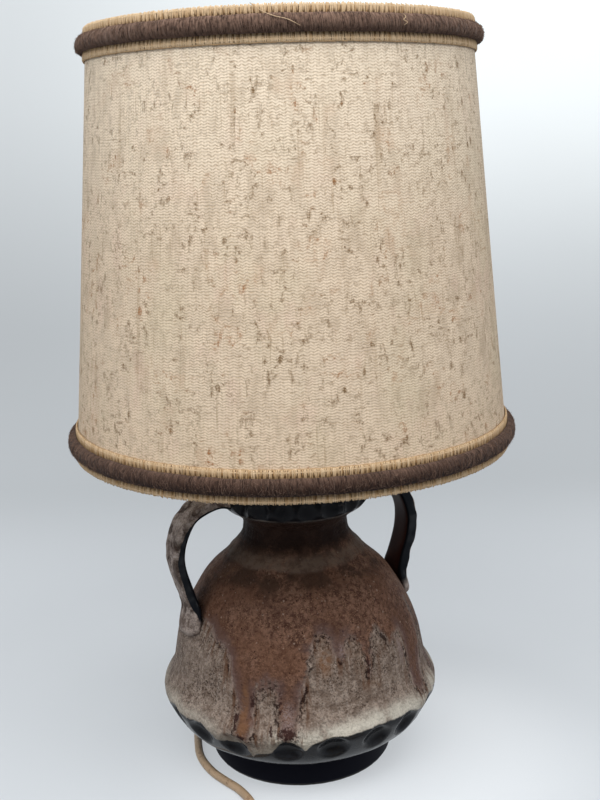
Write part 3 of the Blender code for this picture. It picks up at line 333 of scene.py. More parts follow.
@lru_cache(maxsize=None)
def fleck_group() -> Tree:
    """Scattered flecks of uneven size.

    Returns:
        A group from Vector, Scale and Share to Mask, where Share is how many of the cells hold a fleck.
    """
    inputs = {"Vector": "vector", "Scale": "value", "Share": "value"}
    made = SharedGroup("flecks", inputs, {"Mask": "value"})
    graph, place, scale = made.graph, made.given["Vector"], made.given["Scale"]
    ragged = graph.noise(place, graph.times(scale, 3.0), 2.0)
    cell = graph.add("TexVoronoi", {"Vector": place, "Scale": scale}, feature="F1").outputs
    chance, size, depth = graph.split(cell["Color"])
    present = graph.calc("LESS_THAN", chance, made.given["Share"])
    reach = graph.calc("MULTIPLY_ADD", size, 0.26, 0.10)
    distance = graph.stirred(cell["Distance"], ragged, 0.5)
    edge = graph.remap(graph.calc("SUBTRACT", reach, distance), -0.03, 0.12)
    return made.give(mask=graph.times(edge, present, graph.calc("MULTIPLY_ADD", depth, 0.7, 0.3)))


@lru_cache(maxsize=None)
def wear_group() -> Tree:
    """Where edges have been rubbed.

    Returns:
        A group from Vector and Scale to Mask.
    """
    made = SharedGroup("edge_wear", {"Vector": "vector", "Scale": "value"}, {"Mask": "value"})
    graph, given = made.graph, made.given
    edges = graph.remap(graph.add("NewGeometry").outputs["Pointiness"], 0.52, 0.60)
    broken = graph.remap(graph.noise(given["Vector"], given["Scale"], 5.0, 0.7), 0.42, 0.62)
    return made.give(mask=graph.times(edges, broken))


@lru_cache(maxsize=None)
def yarn_group() -> Tree:
    """Fine fibres that lie along one direction of a yarn or a braid.

    Returns:
        A group from Across, Along and Pitch to Height and Mask.
    """
    inputs = {"Across": "value", "Along": "value", "Pitch": "value"}
    made = SharedGroup("yarn_fibres", inputs, {"Height": "value", "Mask": "value"})
    graph, given = made.graph, made.given
    across = graph.calc("DIVIDE", given["Across"], given["Pitch"])
    along = graph.calc("DIVIDE", given["Along"], graph.times(given["Pitch"], 9.0))
    place = graph.join(across, along)
    height = graph.noise(place, 1.0, 3.0, 0.6, 0.5)
    stray = graph.noise(place, 0.31, 2.0, 0.6, 0.3)
    return made.give(height=height, mask=graph.remap(graph.between(0.5, height, stray), 0.42, 0.62))


@dataclass(frozen=True)
class Finish:
    """What one material is called, and how it starts."""

    name: str

    def start(self, **constants: float) -> tuple[Material, Graph, Node]:
        """Make the empty material.

        Args:
            constants: Values for the shader's own sockets, with their names in lower case and underscores.

        Returns:
            The material, its graph and its Principled shader.
        """
        material = bpy.data.materials.new(self.name)
        material.use_nodes = True
        graph, shader = Graph(material.node_tree), material.node_tree.nodes["Principled BSDF"]
        graph.dress(shader, **constants)
        return material, graph, shader

    def make(self) -> Material:
        """Make the material."""
        raise NotImplementedError


@lru_cache(maxsize=None)
def material_of(finish: Finish) -> Material:
    """The one material of a finish, made when it is first asked for."""
    return finish.make()


@dataclass(frozen=True)
class Moulded(Finish):
    """Moulded plastic, rubber, paint or porcelain, with a fine tooth, faint clouding and rubbed edges."""

    colour: Colour
    roughness: float = 0.4
    grain: float = 1500.0
    depth: float = 0.00004
    coat: float = 0.0
    rubbed: float = 1.25
    speck: Colour | None = None

    def make(self) -> Material:
        """Make the material.

        Returns:
            The material.
        """
        material, graph, shader = self.start(coat_weight=self.coat, coat_roughness=0.15)
        place = graph.place()
        pale = shaded(self.colour, 1.08)
        clouded = graph.mottled(place, 60.0, shaded(self.colour, 0.86), pale, self.speck or pale)["Colour"]
        grain = graph.grain(place, self.grain)
        graph.dress(
            shader,
            base_color=graph.mix(graph.wear(place, 400.0), clouded, shaded(self.colour, self.rubbed)),
            roughness=graph.remap(grain, 0.3, 0.7, self.roughness * 0.85, self.roughness * 1.2),
            normal=graph.bump(grain, self.depth),
        )
        return material


@dataclass(frozen=True)
class Metalwork(Finish):
    """Plated or spun metal, with turning marks, tarnish and brighter edges."""

    colour: Colour
    tarnish: Colour
    roughness: float = 0.3
    thread_pitch: float = 0.0

    def make(self) -> Material:
        """Make the material.

        Returns:
            The material.
        """
        material, graph, shader = self.start(metallic=1.0)
        place = graph.place()
        x, y, z = graph.split(place)
        radius = graph.calc("SQRT", graph.calc("ADD", graph.times(x, x), graph.times(y, y)))
        marks = graph.noise(graph.join(graph.times(radius, 5000.0), graph.times(z, 5000.0)), 1.0)
        mottle = graph.mottled(place, 110.0, self.tarnish, self.colour, self.tarnish)
        colour = graph.mix(graph.remap(mottle["Mask"], 0.0, 0.5), mottle["Colour"], self.colour)
        relief = graph.bump(marks, 0.00002)
        if self.thread_pitch > 0:
            turn = graph.calc("DIVIDE", graph.calc("ARCTAN2", y, x), math.tau)
            wound = graph.calc("FRACT", graph.calc("ADD", graph.calc("DIVIDE", z, self.thread_pitch), turn))
            relief = graph.bump(graph.calc("PINGPONG", wound, 0.5), self.thread_pitch, relief)
        uneven = graph.noise(place, 240.0, 4.0)
        graph.dress(
            shader,
            base_color=graph.mix(graph.wear(place, 500.0), colour, shaded(self.colour, 1.2)),
            roughness=graph.remap(uneven, 0.3, 0.7, self.roughness * 0.75, self.roughness * 1.5),
            normal=relief,
        )
        return material


@dataclass(frozen=True)
class Fibrous(Finish):
    """Pressed fibre such as felt or a gasket."""

    colour: Colour
    fleck: Colour
    scale: float = 1400.0
    depth: float = 0.0003

    def make(self) -> Material:
        """Make the material.

        Returns:
            The material.
        """
        material, graph, shader = self.start(roughness=0.95, sheen_weight=0.3, sheen_roughness=0.6)
        place = graph.place()
        hairs = graph.noise(graph.stretch(place, 1.0, 0.35), self.scale, 4.0, 0.6, 1.5)
        crossed = graph.noise(graph.stretch(place, 0.35, 1.0), self.scale, 4.0, 0.6, 1.5)
        felted = graph.between(0.5, hairs, crossed)
        flecks = graph.flecks(place, self.scale * 0.4, 0.22)
        colour = graph.mix(graph.remap(felted, 0.35, 0.62), shaded(self.colour, 0.6), self.colour)
        colour = graph.mix(flecks, colour, self.fleck)
        graph.dress(shader, base_color=colour, normal=graph.bump(felted, self.depth))
        return material


@dataclass(frozen=True)
class OpalGlass(Finish):
    """White inner-coated bulb glass, with a faint cloud in the coating."""

    colour: Colour

    def make(self) -> Material:
        """Make the material.

        Returns:
            The material.
        """
        material, graph, shader = self.start(roughness=0.12, coat_weight=0.6, coat_roughness=0.05)
        place = graph.place()
        cloud = graph.remap(graph.noise(place, 40.0, 4.0, 0.6, 0.4), 0.35, 0.65)
        colour = graph.mix(cloud, shaded(self.colour, 0.88), self.colour)
        graph.dress(shader, base_color=colour, normal=graph.bump(graph.grain(place, 900.0), 0.00002))
        return material


class GlazeField:
    """The mottles and distances that all the layers of the body's glaze share, in millimetres."""

    # The heights between which the glaze gives way to the matt foot
    FOOT_EDGE = (18.6, 17.4)

    def __init__(self, graph: Graph) -> None:
        """Make the shared nodes.

        Args:
            graph: The material's graph.
        """
        self.place = graph.place()
        self.height = graph.times(graph.split(self.place)[2], 1000.0)
        self.broad = graph.noise(self.place, 40.0, 4.0, 0.6)
        self.middle = graph.noise(self.place, 210.0, 5.0, 0.62, 0.3)
        self.fine = graph.noise(self.place, 1000.0, 4.0, 0.65)
        self.in_brown = graph.stirred(graph.stirred(graph.stored("brown"), self.middle, 8.0), self.fine, 3.0)
        self.in_pale = graph.stirred(graph.stored("cream"), self.middle, 3.0)
        self.strip = graph.unrolled(0.09)[0]
        self.foot = graph.remap(self.height, *self.FOOT_EDGE)


@dataclass(frozen=True)
class BodyGlaze(Finish):
    """Three glazes run over each other: reddish brown, a pitted grey-beige lava glaze and a glossy black."""

    black: Colour = (0.011, 0.011, 0.013)
    black_cloud: Colour = (0.018, 0.020, 0.025)
    black_worn: Colour = (0.10, 0.10, 0.10)
    rim_line: Colour = (0.120, 0.100, 0.088)
    foot: Colour = (0.0062, 0.0066, 0.0118)
    lava_dark: Colour = (0.162, 0.116, 0.090)
    lava_pale: Colour = (0.350, 0.275, 0.225)
    lava_speck: Colour = (0.30, 0.25, 0.215)
    lava_pit: Colour = (0.055, 0.038, 0.030)
    lava_streak: Colour = (0.36, 0.30, 0.26)
    lava_warm: Colour = (0.240, 0.130, 0.070)
    cream: Colour = (0.66, 0.61, 0.52)
    brown_dark: Colour = (0.064, 0.030, 0.020)
    brown_pale: Colour = (0.202, 0.110, 0.075)
    brown_red: Colour = (0.125, 0.058, 0.034)
    # The pale flecks of the brown glaze stand in for glints, as painted highlight
    brown_painted_glint: Colour = (0.400, 0.300, 0.240)
    rust: Colour = (0.300, 0.165, 0.100)
    ochre: Colour = (0.185, 0.092, 0.048)
    halo: Colour = (0.270, 0.190, 0.160)
    bloom: Colour = (0.105, 0.068, 0.064)
    run: Colour = (0.105, 0.050, 0.028)
    crack: Colour = (0.018, 0.008, 0.006)
    lilac: Colour = (0.235, 0.172, 0.158)
    plum: Colour = (0.034, 0.014, 0.012)
    neck: Colour = (0.012, 0.0058, 0.0045)
    neck_dust: Colour = (0.060, 0.036, 0.028)
    ash: Colour = (0.165, 0.118, 0.090)
    umber: Colour = (0.040, 0.023, 0.016)

    # Heights in millimetres: where the black of the rim starts, and from the lower band up to below the rim
    RIM_EDGE = (183.8, 185.0)
    BAND_TO_RIM = (60.0, 130.0)

    def make(self) -> Material:
        """Make the material.

        Returns:
            The material.
        """
        material, graph, shader = self.start(specular_ior_level=0.05, coat_roughness=0.10, coat_ior=1.5)
        field = GlazeField(graph)
        inside, broad, middle, fine = field.in_brown, field.broad, field.middle, field.fine
        browned = graph.remap(inside, -0.9, 1.3)
        halo = graph.times(graph.remap(inside, 2.6, 0.4), graph.remap(inside, -3.0, -1.0))
        bloom = graph.times(browned, graph.remap(inside, 9.0, 2.0, 0.0, 0.5), graph.remap(broad, 0.42, 0.56))
        spots = graph.stored("plum")
        plum = graph.stirred(spots, graph.noise(field.place, 240.0, 5.0, 0.7), 6.5)
        plum = graph.times(graph.remap(plum, 0.40, 0.95, 0.0, 0.92), graph.remap(spots, 0.0, 0.25))
        rim = graph.remap(graph.calc("MULTIPLY_ADD", middle, 3.0, field.height), *self.RIM_EDGE)
        blacked = graph.most(graph.rest(graph.remap(field.in_pale, -0.5, 0.5)), rim)
        colour = graph.layered(
            self._lava(graph, field),
            (browned, self._brown(graph, field)),
            (graph.times(halo, graph.remap(broad, 0.36, 0.56, 0.05, 0.60)), self.halo),
            (bloom, self.bloom),
            (self._runs(graph, field), self.run),
            (self._cracks(graph, field), self.crack),
            (graph.times(graph.stored("lilac"), graph.remap(fine, 0.38, 0.6)), self.lilac),
            (graph.times(graph.stored("ochre"), graph.remap(middle, 0.35, 0.60, 0.25, 0.85)), self.ochre),
            (plum, self.plum),
            (blacked, self._black(graph, field)),
        )
        matt, glossy = graph.remap(fine, 0.3, 0.7, 0.42, 0.70), graph.remap(middle, 0.35, 0.7, 0.18, 0.30)
        shine = graph.remap(field.height, *self.BAND_TO_RIM, 0.26, 0.05)
        glassy = graph.times(blacked, graph.rest(field.foot), shine)
        graph.dress(
            shader,
            base_color=colour,
            roughness=graph.between(field.foot, graph.between(blacked, matt, glossy), 0.55),
            coat_weight=graph.times(glassy, graph.remap(graph.stored("pressed"), 0.1, 0.8, 1.0, 0.30)),
            normal=self._relief(graph, field, blacked, browned),
        )
        return material

    def _lava(self, graph: Graph, field: GlazeField) -> Socket:
        """The grey-beige glaze, which pales towards its lower edge.

        Args:
            graph: The material's graph.
            field: The shared mottles and distances.

        Returns:
            The colour's socket.
        """
        place, broad = field.place, field.broad
        mottle = graph.mottled(place, 190.0, self.lava_dark, self.lava_pale, self.lava_speck)["Colour"]
        streak = graph.noise(graph.stretch(field.strip, 1.0, 0.14), 230.0, 3.0, 0.6)
        warm = graph.remap(graph.noise(place, 33.0, 3.0), 0.52, 0.66, 0.0, 0.45)
        crust = graph.remap(graph.noise(place, 700.0, 5.0, 0.8), 0.475, 0.585)
        clusters = graph.remap(graph.noise(place, 60.0, 3.0), 0.40, 0.62, 0.50, 0.90)
        lava = graph.layered(
            mottle,
            (graph.flecks(place, 620.0, 0.45), self.lava_pit),
            (graph.remap(streak, 0.50, 0.34, 0.0, 0.3), self.lava_dark),
            (graph.remap(streak, 0.55, 0.70, 0.0, 0.35), self.lava_streak),
            (graph.times(warm, graph.remap(field.in_pale, 12.0, 26.0)), self.lava_warm),
            (graph.times(crust, clusters), self.umber),
        )
        low = graph.times(graph.remap(field.in_pale, 14.0, 2.5), graph.stored("creamy"))
        patchy = graph.calc("MULTIPLY_ADD", low, 0.16, graph.between(0.25, broad, field.middle))
        cream = graph.mix(graph.remap(broad, 0.3, 0.7), shaded(self.cream, 0.78), self.cream)
        cream = graph.mix(graph.times(crust, 0.26), cream, self.umber)
        return graph.mix(graph.times(low, graph.remap(patchy, 0.42, 0.62)), lava, cream)

    def _brown(self, graph: Graph, field: GlazeField) -> Socket:
        """The reddish brown glaze, darker on the neck, with a paler ring above the shoulder.

        Args:
            graph: The material's graph.
            field: The shared mottles and distances.

        Returns:
            The colour's socket.
        """
        place, broad, middle = field.place, field.broad, field.middle
        level = graph.calc("MULTIPLY_ADD", broad, 8.0, field.height)
        ashen = graph.times(graph.remap(level, 151.5, 154.0), graph.remap(level, 163.5, 157.5))
        dusty = graph.times(graph.remap(level, 172.0, 182.0, 0.0, 0.55), graph.remap(middle, 0.35, 0.65))
        burnt = graph.times(graph.remap(level, 138.0, 147.0), graph.remap(broad, 0.42, 0.60, 0.1, 0.7))
        return graph.layered(
            graph.mottled(place, 290.0, self.brown_dark, self.brown_pale, self.rust)["Colour"],
            (graph.remap(broad, 0.42, 0.66, 0.0, 0.50), self.brown_dark),
            (graph.remap(graph.noise(place, 26.0, 2.0), 0.45, 0.62, 0.0, 0.5), self.brown_red),
            # Painted highlight: pale flecks as glints
            (graph.times(graph.flecks(place, 430.0, 0.16), 0.6), self.brown_painted_glint),
            (graph.flecks(place, 520.0, 0.4), self.crack),
            (burnt, self.umber),
            (graph.times(ashen, graph.remap(middle, 0.3, 0.6, 0.20, 0.68)), self.ash),
            (graph.remap(level, 158.5, 168.0, 0.0, 0.88), self.neck),
            (dusty, self.neck_dust),
        )

    def _runs(self, graph: Graph, field: GlazeField) -> Socket:
        """Upright brown streaks that run on below the brown glaze's edge.

        Args:
            graph: The material's graph.
            field: The shared mottles and distances.

        Returns:
            The mask's socket.
        """
        streak = graph.noise(graph.stretch(field.strip, 1.0, 0.12), 300.0, 4.0, 0.65)
        reach = graph.times(graph.remap(field.in_brown, -15.0, -3.0), graph.remap(field.in_brown, 1.0, -1.0))
        patches = graph.remap(field.broad, 0.38, 0.56, 0.15, 1.0)
        shown = graph.times(graph.remap(streak, 0.46, 0.60, 0.0, 0.9), patches)
        return graph.times(reach, shown)

    def _cracks(self, graph: Graph, field: GlazeField) -> Socket:
        """Thin broken dark lines where the brown glaze ends.

        Args:
            graph: The material's graph.
            field: The shared mottles and distances.

        Returns:
            The mask's socket.
        """
        place = field.place
        off_line = graph.calc("ABSOLUTE", graph.calc("ADD", field.in_brown, 2.3))
        off_pits = graph.calc("ABSOLUTE", graph.calc("ADD", field.in_brown, 1.6))
        swollen = graph.times(graph.calc("SUBTRACT", graph.noise(place, 85.0, 3.0), 0.5), 4.5)
        line = graph.remap(graph.calc("SUBTRACT", off_line, swollen), 1.1, 0.3)
        broken = graph.times(graph.remap(graph.noise(place, 150.0, 4.0, 0.7), 0.43, 0.53), 0.92)
        pitted = graph.times(
            graph.remap(off_pits, 4.0, 1.2),
            0.85,
            graph.remap(graph.noise(place, 470.0, 3.0, 0.7), 0.50, 0.57),
            graph.remap(graph.noise(place, 48.0, 2.0), 0.46, 0.57),
        )
        return graph.most(graph.times(line, broken), pitted)

    def _black(self, graph: Graph, field: GlazeField) -> Socket:
        """The glossy black, with a thin pale line along the ridge under the rim and a matt foot.

        Args:
            graph: The material's graph.
            field: The shared mottles and distances.

        Returns:
            The colour's socket.
        """
        place, height = field.place, field.height
        cloud = graph.noise(place, 90.0, 4.0)
        line = graph.remap(graph.calc("ABSOLUTE", graph.calc("SUBTRACT", height, 183.6)), 1.2, 0.3)
        worn = graph.times(graph.wear(place, 300.0), graph.remap(height, *self.BAND_TO_RIM, 0.12, 1.0))
        return graph.layered(
            self.black,
            (graph.remap(cloud, 0.4, 0.7, 0.0, graph.remap(height, 120.0, 60.0)), self.black_cloud),
            (worn, self.black_worn),
            (graph.times(line, graph.remap(cloud, 0.35, 0.60, 0.2, 0.9)), self.rim_line),
            (field.foot, self.foot),
        )

    def _relief(self, graph: Graph, field: GlazeField, blacked: Socket, browned: Socket) -> Socket:
        """The glaze's relief: the brown glaze's edge, the wheel's faint grooves and the crust.

        Args:
            graph: The material's graph.
            field: The shared mottles and distances.
            blacked: Where the black glaze shows.
            browned: Where the brown glaze shows.

        Returns:
            The normal's socket.
        """
        bubbles = graph.add("TexVoronoi", {"Vector": field.place, "Scale": 430.0}, feature="F1")
        crust = graph.between(0.45, field.fine, graph.remap(bubbles.outputs["Distance"], 0.0, 0.6))
        calm = graph.between(blacked, 1.0, 0.06)
        edge = graph.times(browned, graph.between(blacked, 1.0, 0.0))
        wheel = graph.calc("MULTIPLY_ADD", field.middle, 3.0, graph.times(field.height, 1.9))
        grooves = graph.calc("SINE", wheel)
        relief = graph.bump(graph.times(grooves, calm), 0.00004, graph.bump(edge, 0.00035))
        return graph.bump(graph.times(crust, calm), 0.00055, relief)


@dataclass(frozen=True)
class HandleGlaze(Finish):
    """Black glaze on the sides, brown inside, and mottled taupe over the outer face and the lower end."""

    black: Colour = (0.0075, 0.0090, 0.0125)
    inside: Colour = (0.0480, 0.0180, 0.0140)
    taupe_dark: Colour = (0.150, 0.108, 0.090)
    taupe_pale: Colour = (0.470, 0.390, 0.345)
    taupe_speck: Colour = (0.29, 0.23, 0.20)
    smoke: Colour = (0.040, 0.024, 0.018)
    crust: Colour = (0.036, 0.019, 0.013)

    def make(self) -> Material:
        """Make the material.

        Returns:
            The material.
        """
        material, graph, shader = self.start(specular_ior_level=0.03, coat_roughness=0.16, coat_ior=1.45)
        place = graph.place()
        outer, low = graph.stored("outer"), graph.stored("low")
        blotch = graph.noise(place, 62.0, 4.0, 0.6, 0.6)
        taupe = graph.layered(
            graph.mottled(place, 130.0, self.taupe_dark, self.taupe_pale, self.taupe_speck)["Colour"],
            (graph.times(graph.remap(blotch, 0.50, 0.60, 0.0, 0.80), graph.rest(low)), self.smoke),
            (graph.remap(graph.noise(place, 620.0, 4.0, 0.75), 0.50, 0.575, 0.0, 0.45), self.crust),
        )
        ragged = graph.stirred(graph.stored("cover"), graph.noise(place, 130.0, 3.0), 0.55)
        covered = graph.most(graph.remap(ragged, -0.05, 0.08), low)
        black = graph.mix(graph.remap(outer, -0.80, -0.95), self.black, self.inside)
        sides = graph.times(graph.remap(outer, -0.95, -0.70), graph.rest(covered))
        patches = graph.remap(graph.noise(place, 90.0, 3.0), 0.42, 0.58, 0.12, 0.45)
        tooth = graph.times(graph.grain(place, 1100.0), graph.between(covered, 0.1, 1.0))
        graph.dress(
            shader,
            base_color=graph.mix(covered, black, taupe),
            roughness=graph.between(covered, 0.34, graph.remap(blotch, 0.3, 0.7, 0.45, 0.65)),
            coat_weight=graph.times(sides, patches),
            normal=graph.bump(tooth, 0.0003),
        )
        return material


@dataclass(frozen=True)
class ShadeCloth(Finish):
    """Coarse cream cloth with wavy weft rows, upright slubs and scattered olive-brown flecks. The colour is
    paler and whiter towards the top as painted light, tanner towards the bottom as painted shade, and darker
    in the weave's valleys as painted shade.
    """

    base: Colour = (0.76, 0.615, 0.465)
    cloudy: Colour = (0.66, 0.56, 0.40)
    rosy: Colour = (0.70, 0.50, 0.40)
    # high is painted light on the upper cloth, and low is painted shade on the lower cloth
    high: Colour = (0.84, 0.72, 0.57)
    low: Colour = (0.72, 0.555, 0.395)
    # groove is painted shade in the weave's valleys
    groove: Colour = (0.43, 0.31, 0.20)
    slub: Colour = (0.40, 0.285, 0.18)
    fleck: Colour = (0.195, 0.120, 0.058)
    rusty: Colour = (0.330, 0.155, 0.065)
    mean_radius: float = 0.1333
    row: float = 0.00168
    wave: float = 0.0042
    sway: float = 0.00115
    warp_pitch: float = 0.0021
    wander: float = 0.0022
    depth: float = 0.00032

    def make(self) -> Material:
        """Make the material.

        Returns:
            The material.
        """
        material, graph, shader = self.start(roughness=0.95, specular_ior_level=0.15)
        strip, along, up = graph.unrolled(self.mean_radius)
        uneven = graph.noise(strip, 90.0, 4.0)
        ridge, warp = self._threads(graph, strip, along, up, uneven)
        fibre = graph.noise(graph.stretch(strip, 1.0, 1.6), 1900.0, 3.0, 0.7)
        height = graph.between(0.46, graph.between(0.22, ridge, warp), fibre)
        dashes = graph.noise(graph.stretch(strip, 1.0, 2.4), 280.0, 3.0, 0.6)
        dashes = graph.remap(dashes, 0.36, 0.60, 0.35, 1.0)
        stitched = graph.remap(graph.between(0.4, ridge, warp), 0.20, 0.65, 0.35, 1.0)
        cloudy = graph.noise(graph.stretch(strip, 1.0, 0.5), 22.0, 3.0)
        rosy = graph.noise(graph.stretch(strip, 1.0, 0.6), 47.0, 3.0)
        dirt = graph.mix(graph.remap(graph.noise(strip, 38.0, 2.0), 0.52, 0.62), self.fleck, self.rusty)
        colour = graph.layered(
            shaded(self.base, 0.90),
            (graph.remap(uneven, 0.35, 0.65), self.base),
            (graph.remap(cloudy, 0.45, 0.7, 0.0, 0.6), self.cloudy),
            (graph.remap(rosy, 0.52, 0.72, 0.0, 0.4), self.rosy),
            # Painted light towards the top of the cloth and painted shade towards the bottom
            (graph.remap(up, 0.34, 0.49, 0.0, 0.85), self.high),
            (graph.remap(up, 0.30, 0.22, 0.0, 0.60), self.low),
            # Painted shade where the weave's relief is low
            (graph.times(graph.remap(height, 0.64, 0.26, 0.0, 0.78), dashes), self.groove),
            (self._slubs(graph, strip), self.slub),
            (graph.times(self._flecks(graph, strip), stitched), dirt),
        )
        graph.dress(shader, base_color=colour, normal=graph.bump(height, self.depth))
        return material

    def _threads(
        self, graph: Graph, strip: Socket, along: Socket, up: Socket, uneven: Socket
    ) -> tuple[Socket, Socket]:
        """The wavy weft rows and the upright warp.

        Args:
            graph: The material's graph.
            strip: The place on the unrolled cloth.
            along: The distance round the shade.
            up: The height.
            uneven: Slow unevenness.

        Returns:
            The two reliefs' sockets, each from 0 to 1.
        """
        half = self.wave / 2
        crossing = graph.calc("MULTIPLY_ADD", uneven, self.wander, along)
        zigzag = graph.calc("DIVIDE", graph.calc("PINGPONG", crossing, half), half)
        fuller = graph.remap(graph.noise(strip, 120.0, 2.0), 0.30, 0.60, 0.5, 1.0)
        sway = graph.times(zigzag, self.sway, fuller)
        slow = graph.times(graph.calc("SUBTRACT", graph.noise(strip, 60.0, 2.0), 0.5), self.wander)
        level = graph.calc("ADD", graph.calc("ADD", up, sway), slow)
        once, twice = (graph.calc("SINE", graph.times(level, math.tau * k / self.row)) for k in (1, 2))
        ridge = graph.calc("MULTIPLY_ADD", twice, 0.08, graph.calc("MULTIPLY_ADD", once, 0.36, 0.5))
        drift = graph.times(graph.noise(graph.stretch(strip, 1.0, 0.25), 160.0, 2.0), 9.0)
        warp = graph.calc("SINE", graph.calc("MULTIPLY_ADD", along, math.tau / self.warp_pitch, drift))
        return ridge, graph.calc("MULTIPLY_ADD", warp, 0.5, 0.5)

    def _slubs(self, graph: Graph, strip: Socket) -> Socket:
        """The mask of upright darker streaks where the yarn is thick.

        Args:
            graph: The material's graph.
            strip: The place on the unrolled cloth.

        Returns:
            The mask's socket.
        """
        broad = graph.noise(graph.stretch(strip, 1.0, 0.05), 150.0, 3.0, 0.6)
        thin = graph.noise(graph.stretch(strip, 1.0, 0.06), 430.0, 3.0, 0.6)
        marks = graph.most(graph.remap(broad, 0.55, 0.75, 0.0, 0.5), graph.remap(thin, 0.57, 0.72, 0.0, 0.6))
        return graph.times(marks, graph.remap(graph.noise(strip, 30.0, 3.0), 0.35, 0.6, 0.25, 1.0))

    def _flecks(self, graph: Graph, strip: Socket) -> Socket:
        """The mask of flecks of dark fibre, in ragged clusters, most of them taller than wide.

        Args:
            graph: The material's graph.
            strip: The place on the unrolled cloth.

        Returns:
            The mask's socket.
        """
        upright = graph.noise(graph.stretch(strip, 1.0, 0.42), 195.0, 4.0, 0.68)
        ragged = graph.noise(strip, 205.0, 4.0, 0.68, 0.3)
        level = graph.noise(graph.stretch(strip, 0.5, 1.2), 210.0, 4.0, 0.68)
        masks = graph.most(
            graph.remap(upright, 0.540, 0.68, 0.0, 0.92),
            graph.remap(ragged, 0.535, 0.670, 0.0, 0.92),
            graph.remap(level, 0.560, 0.68, 0.0, 0.75),
            graph.flecks(graph.stretch(strip, 1.0, 0.7), 175.0, 0.20),
        )
        patchy = graph.noise(graph.stretch(strip, 1.0, 0.5), 60.0, 4.0, 0.6)
        smudges = graph.noise(graph.stretch(strip, 1.0, 0.4), 85.0, 3.0, 0.6)
        masks = graph.times(masks, graph.remap(patchy, 0.38, 0.57, 0.30, 1.0))
        return graph.most(masks, graph.remap(smudges, 0.50, 0.68, 0.0, 0.30))


@dataclass(frozen=True)
class ShadeLiner(Finish):
    """Pale laminated liner inside the shade, with a satin film and a faint weave behind it."""

    colour: Colour = (0.80, 0.74, 0.63)
    yellowed: Colour = (0.70, 0.60, 0.44)
    weave: Colour = (0.5, 0.42, 0.3)
    mean_radius: float = 0.1320

    def make(self) -> Material:
        """Make the material.

        Returns:
            The material.
        """
        material, graph, shader = self.start(roughness=0.42)
        strip = graph.unrolled(self.mean_radius)[0]
        weave = graph.noise(strip, 900.0, 3.0, 0.7)
        colour = graph.layered(
            self.colour,
            (graph.remap(graph.noise(strip, 18.0, 4.0), 0.4, 0.7, 0.0, 0.5), self.yellowed),
            (graph.remap(weave, 0.3, 0.6, 0.14, 0.0), self.weave),
        )
        graph.dress(shader, base_color=colour, normal=graph.bump(weave, 0.00008))
        return material


@dataclass(frozen=True)
class BraidYarn(Finish):
    """Tan and straw cotton stitches, each a little different, darkened towards near black where they run
    under the roll and between the stitches as painted shade.
    """

    tan: Colour = (0.400, 0.225, 0.090)
    straw: Colour = (0.715, 0.535, 0.345)
    stitch_gap_shade: Colour = (0.070, 0.036, 0.020)

    def make(self) -> Material:
        """Make the material.

        Returns:
            The material.
        """
        material, graph, shader = self.start(roughness=0.9, specular_ior_level=0.2)
        fibre = graph.noise(graph.stretch(graph.place(), 1.0, 1.0, 0.3), 2600.0, 4.0, 0.65, 0.8)
        colour = graph.mix(graph.stirred(graph.stored("tone"), fibre, 0.7), self.tan, self.straw)
        # The stored deep is painted shade, where stitches run under the roll and between them
        colour = graph.mix(graph.stored("deep"), colour, self.stitch_gap_shade)
        graph.dress(shader, base_color=colour, normal=graph.bump(fibre, 0.0004))
        return material


@dataclass(frozen=True)
class WoolRoll(Finish):
    """Dark brown wool, wound upright over its core, with paler stray fibres. The upper side of each roll and
    the whole top roll are painted greyer and paler as painted light, and the wool darkens where its fibres
    lie deep as painted shade.
    """

    dark: Colour = (0.011, 0.006, 0.005)
    brown: Colour = (0.034, 0.016, 0.011)
    painted_light_grey: Colour = (0.220, 0.136, 0.099)
    stray: Colour = (0.275, 0.178, 0.134)
    mean_radius: float = 0.1450
    fibre_pitch: float = 0.00062

    def make(self) -> Material:
        """Make the material.

        Returns:
            The material.
        """
        material, graph, shader = self.start(roughness=1.0, specular_ior_level=0.1, sheen_weight=0.08)
        strip, along, up = graph.unrolled(self.mean_radius)
        leaning = graph.calc("MULTIPLY_ADD", up, 0.12, along)
        fibres = graph.use(yarn_group(), across=leaning, along=up, pitch=self.fibre_pitch)
        depth = graph.between(0.40, fibres["Height"], graph.noise(strip, 420.0, 4.0, 0.65))
        # The stored tone is painted light: higher on the upper side of each roll and on the top roll, where
        # it also brings out the paler stray fibres
        tone = graph.stored("tone")
        wool = graph.mix(tone, self.brown, self.painted_light_grey)
        stray = graph.times(fibres["Mask"], graph.times(tone, 0.70))
        # The near-black under the wool, where the fibres' relief is low, is painted shade
        colour = graph.layered(self.dark, (graph.remap(depth, 0.30, 0.60), wool), (stray, self.stray))
        graph.dress(shader, base_color=colour, normal=graph.bump(depth, 0.0009))
        return material


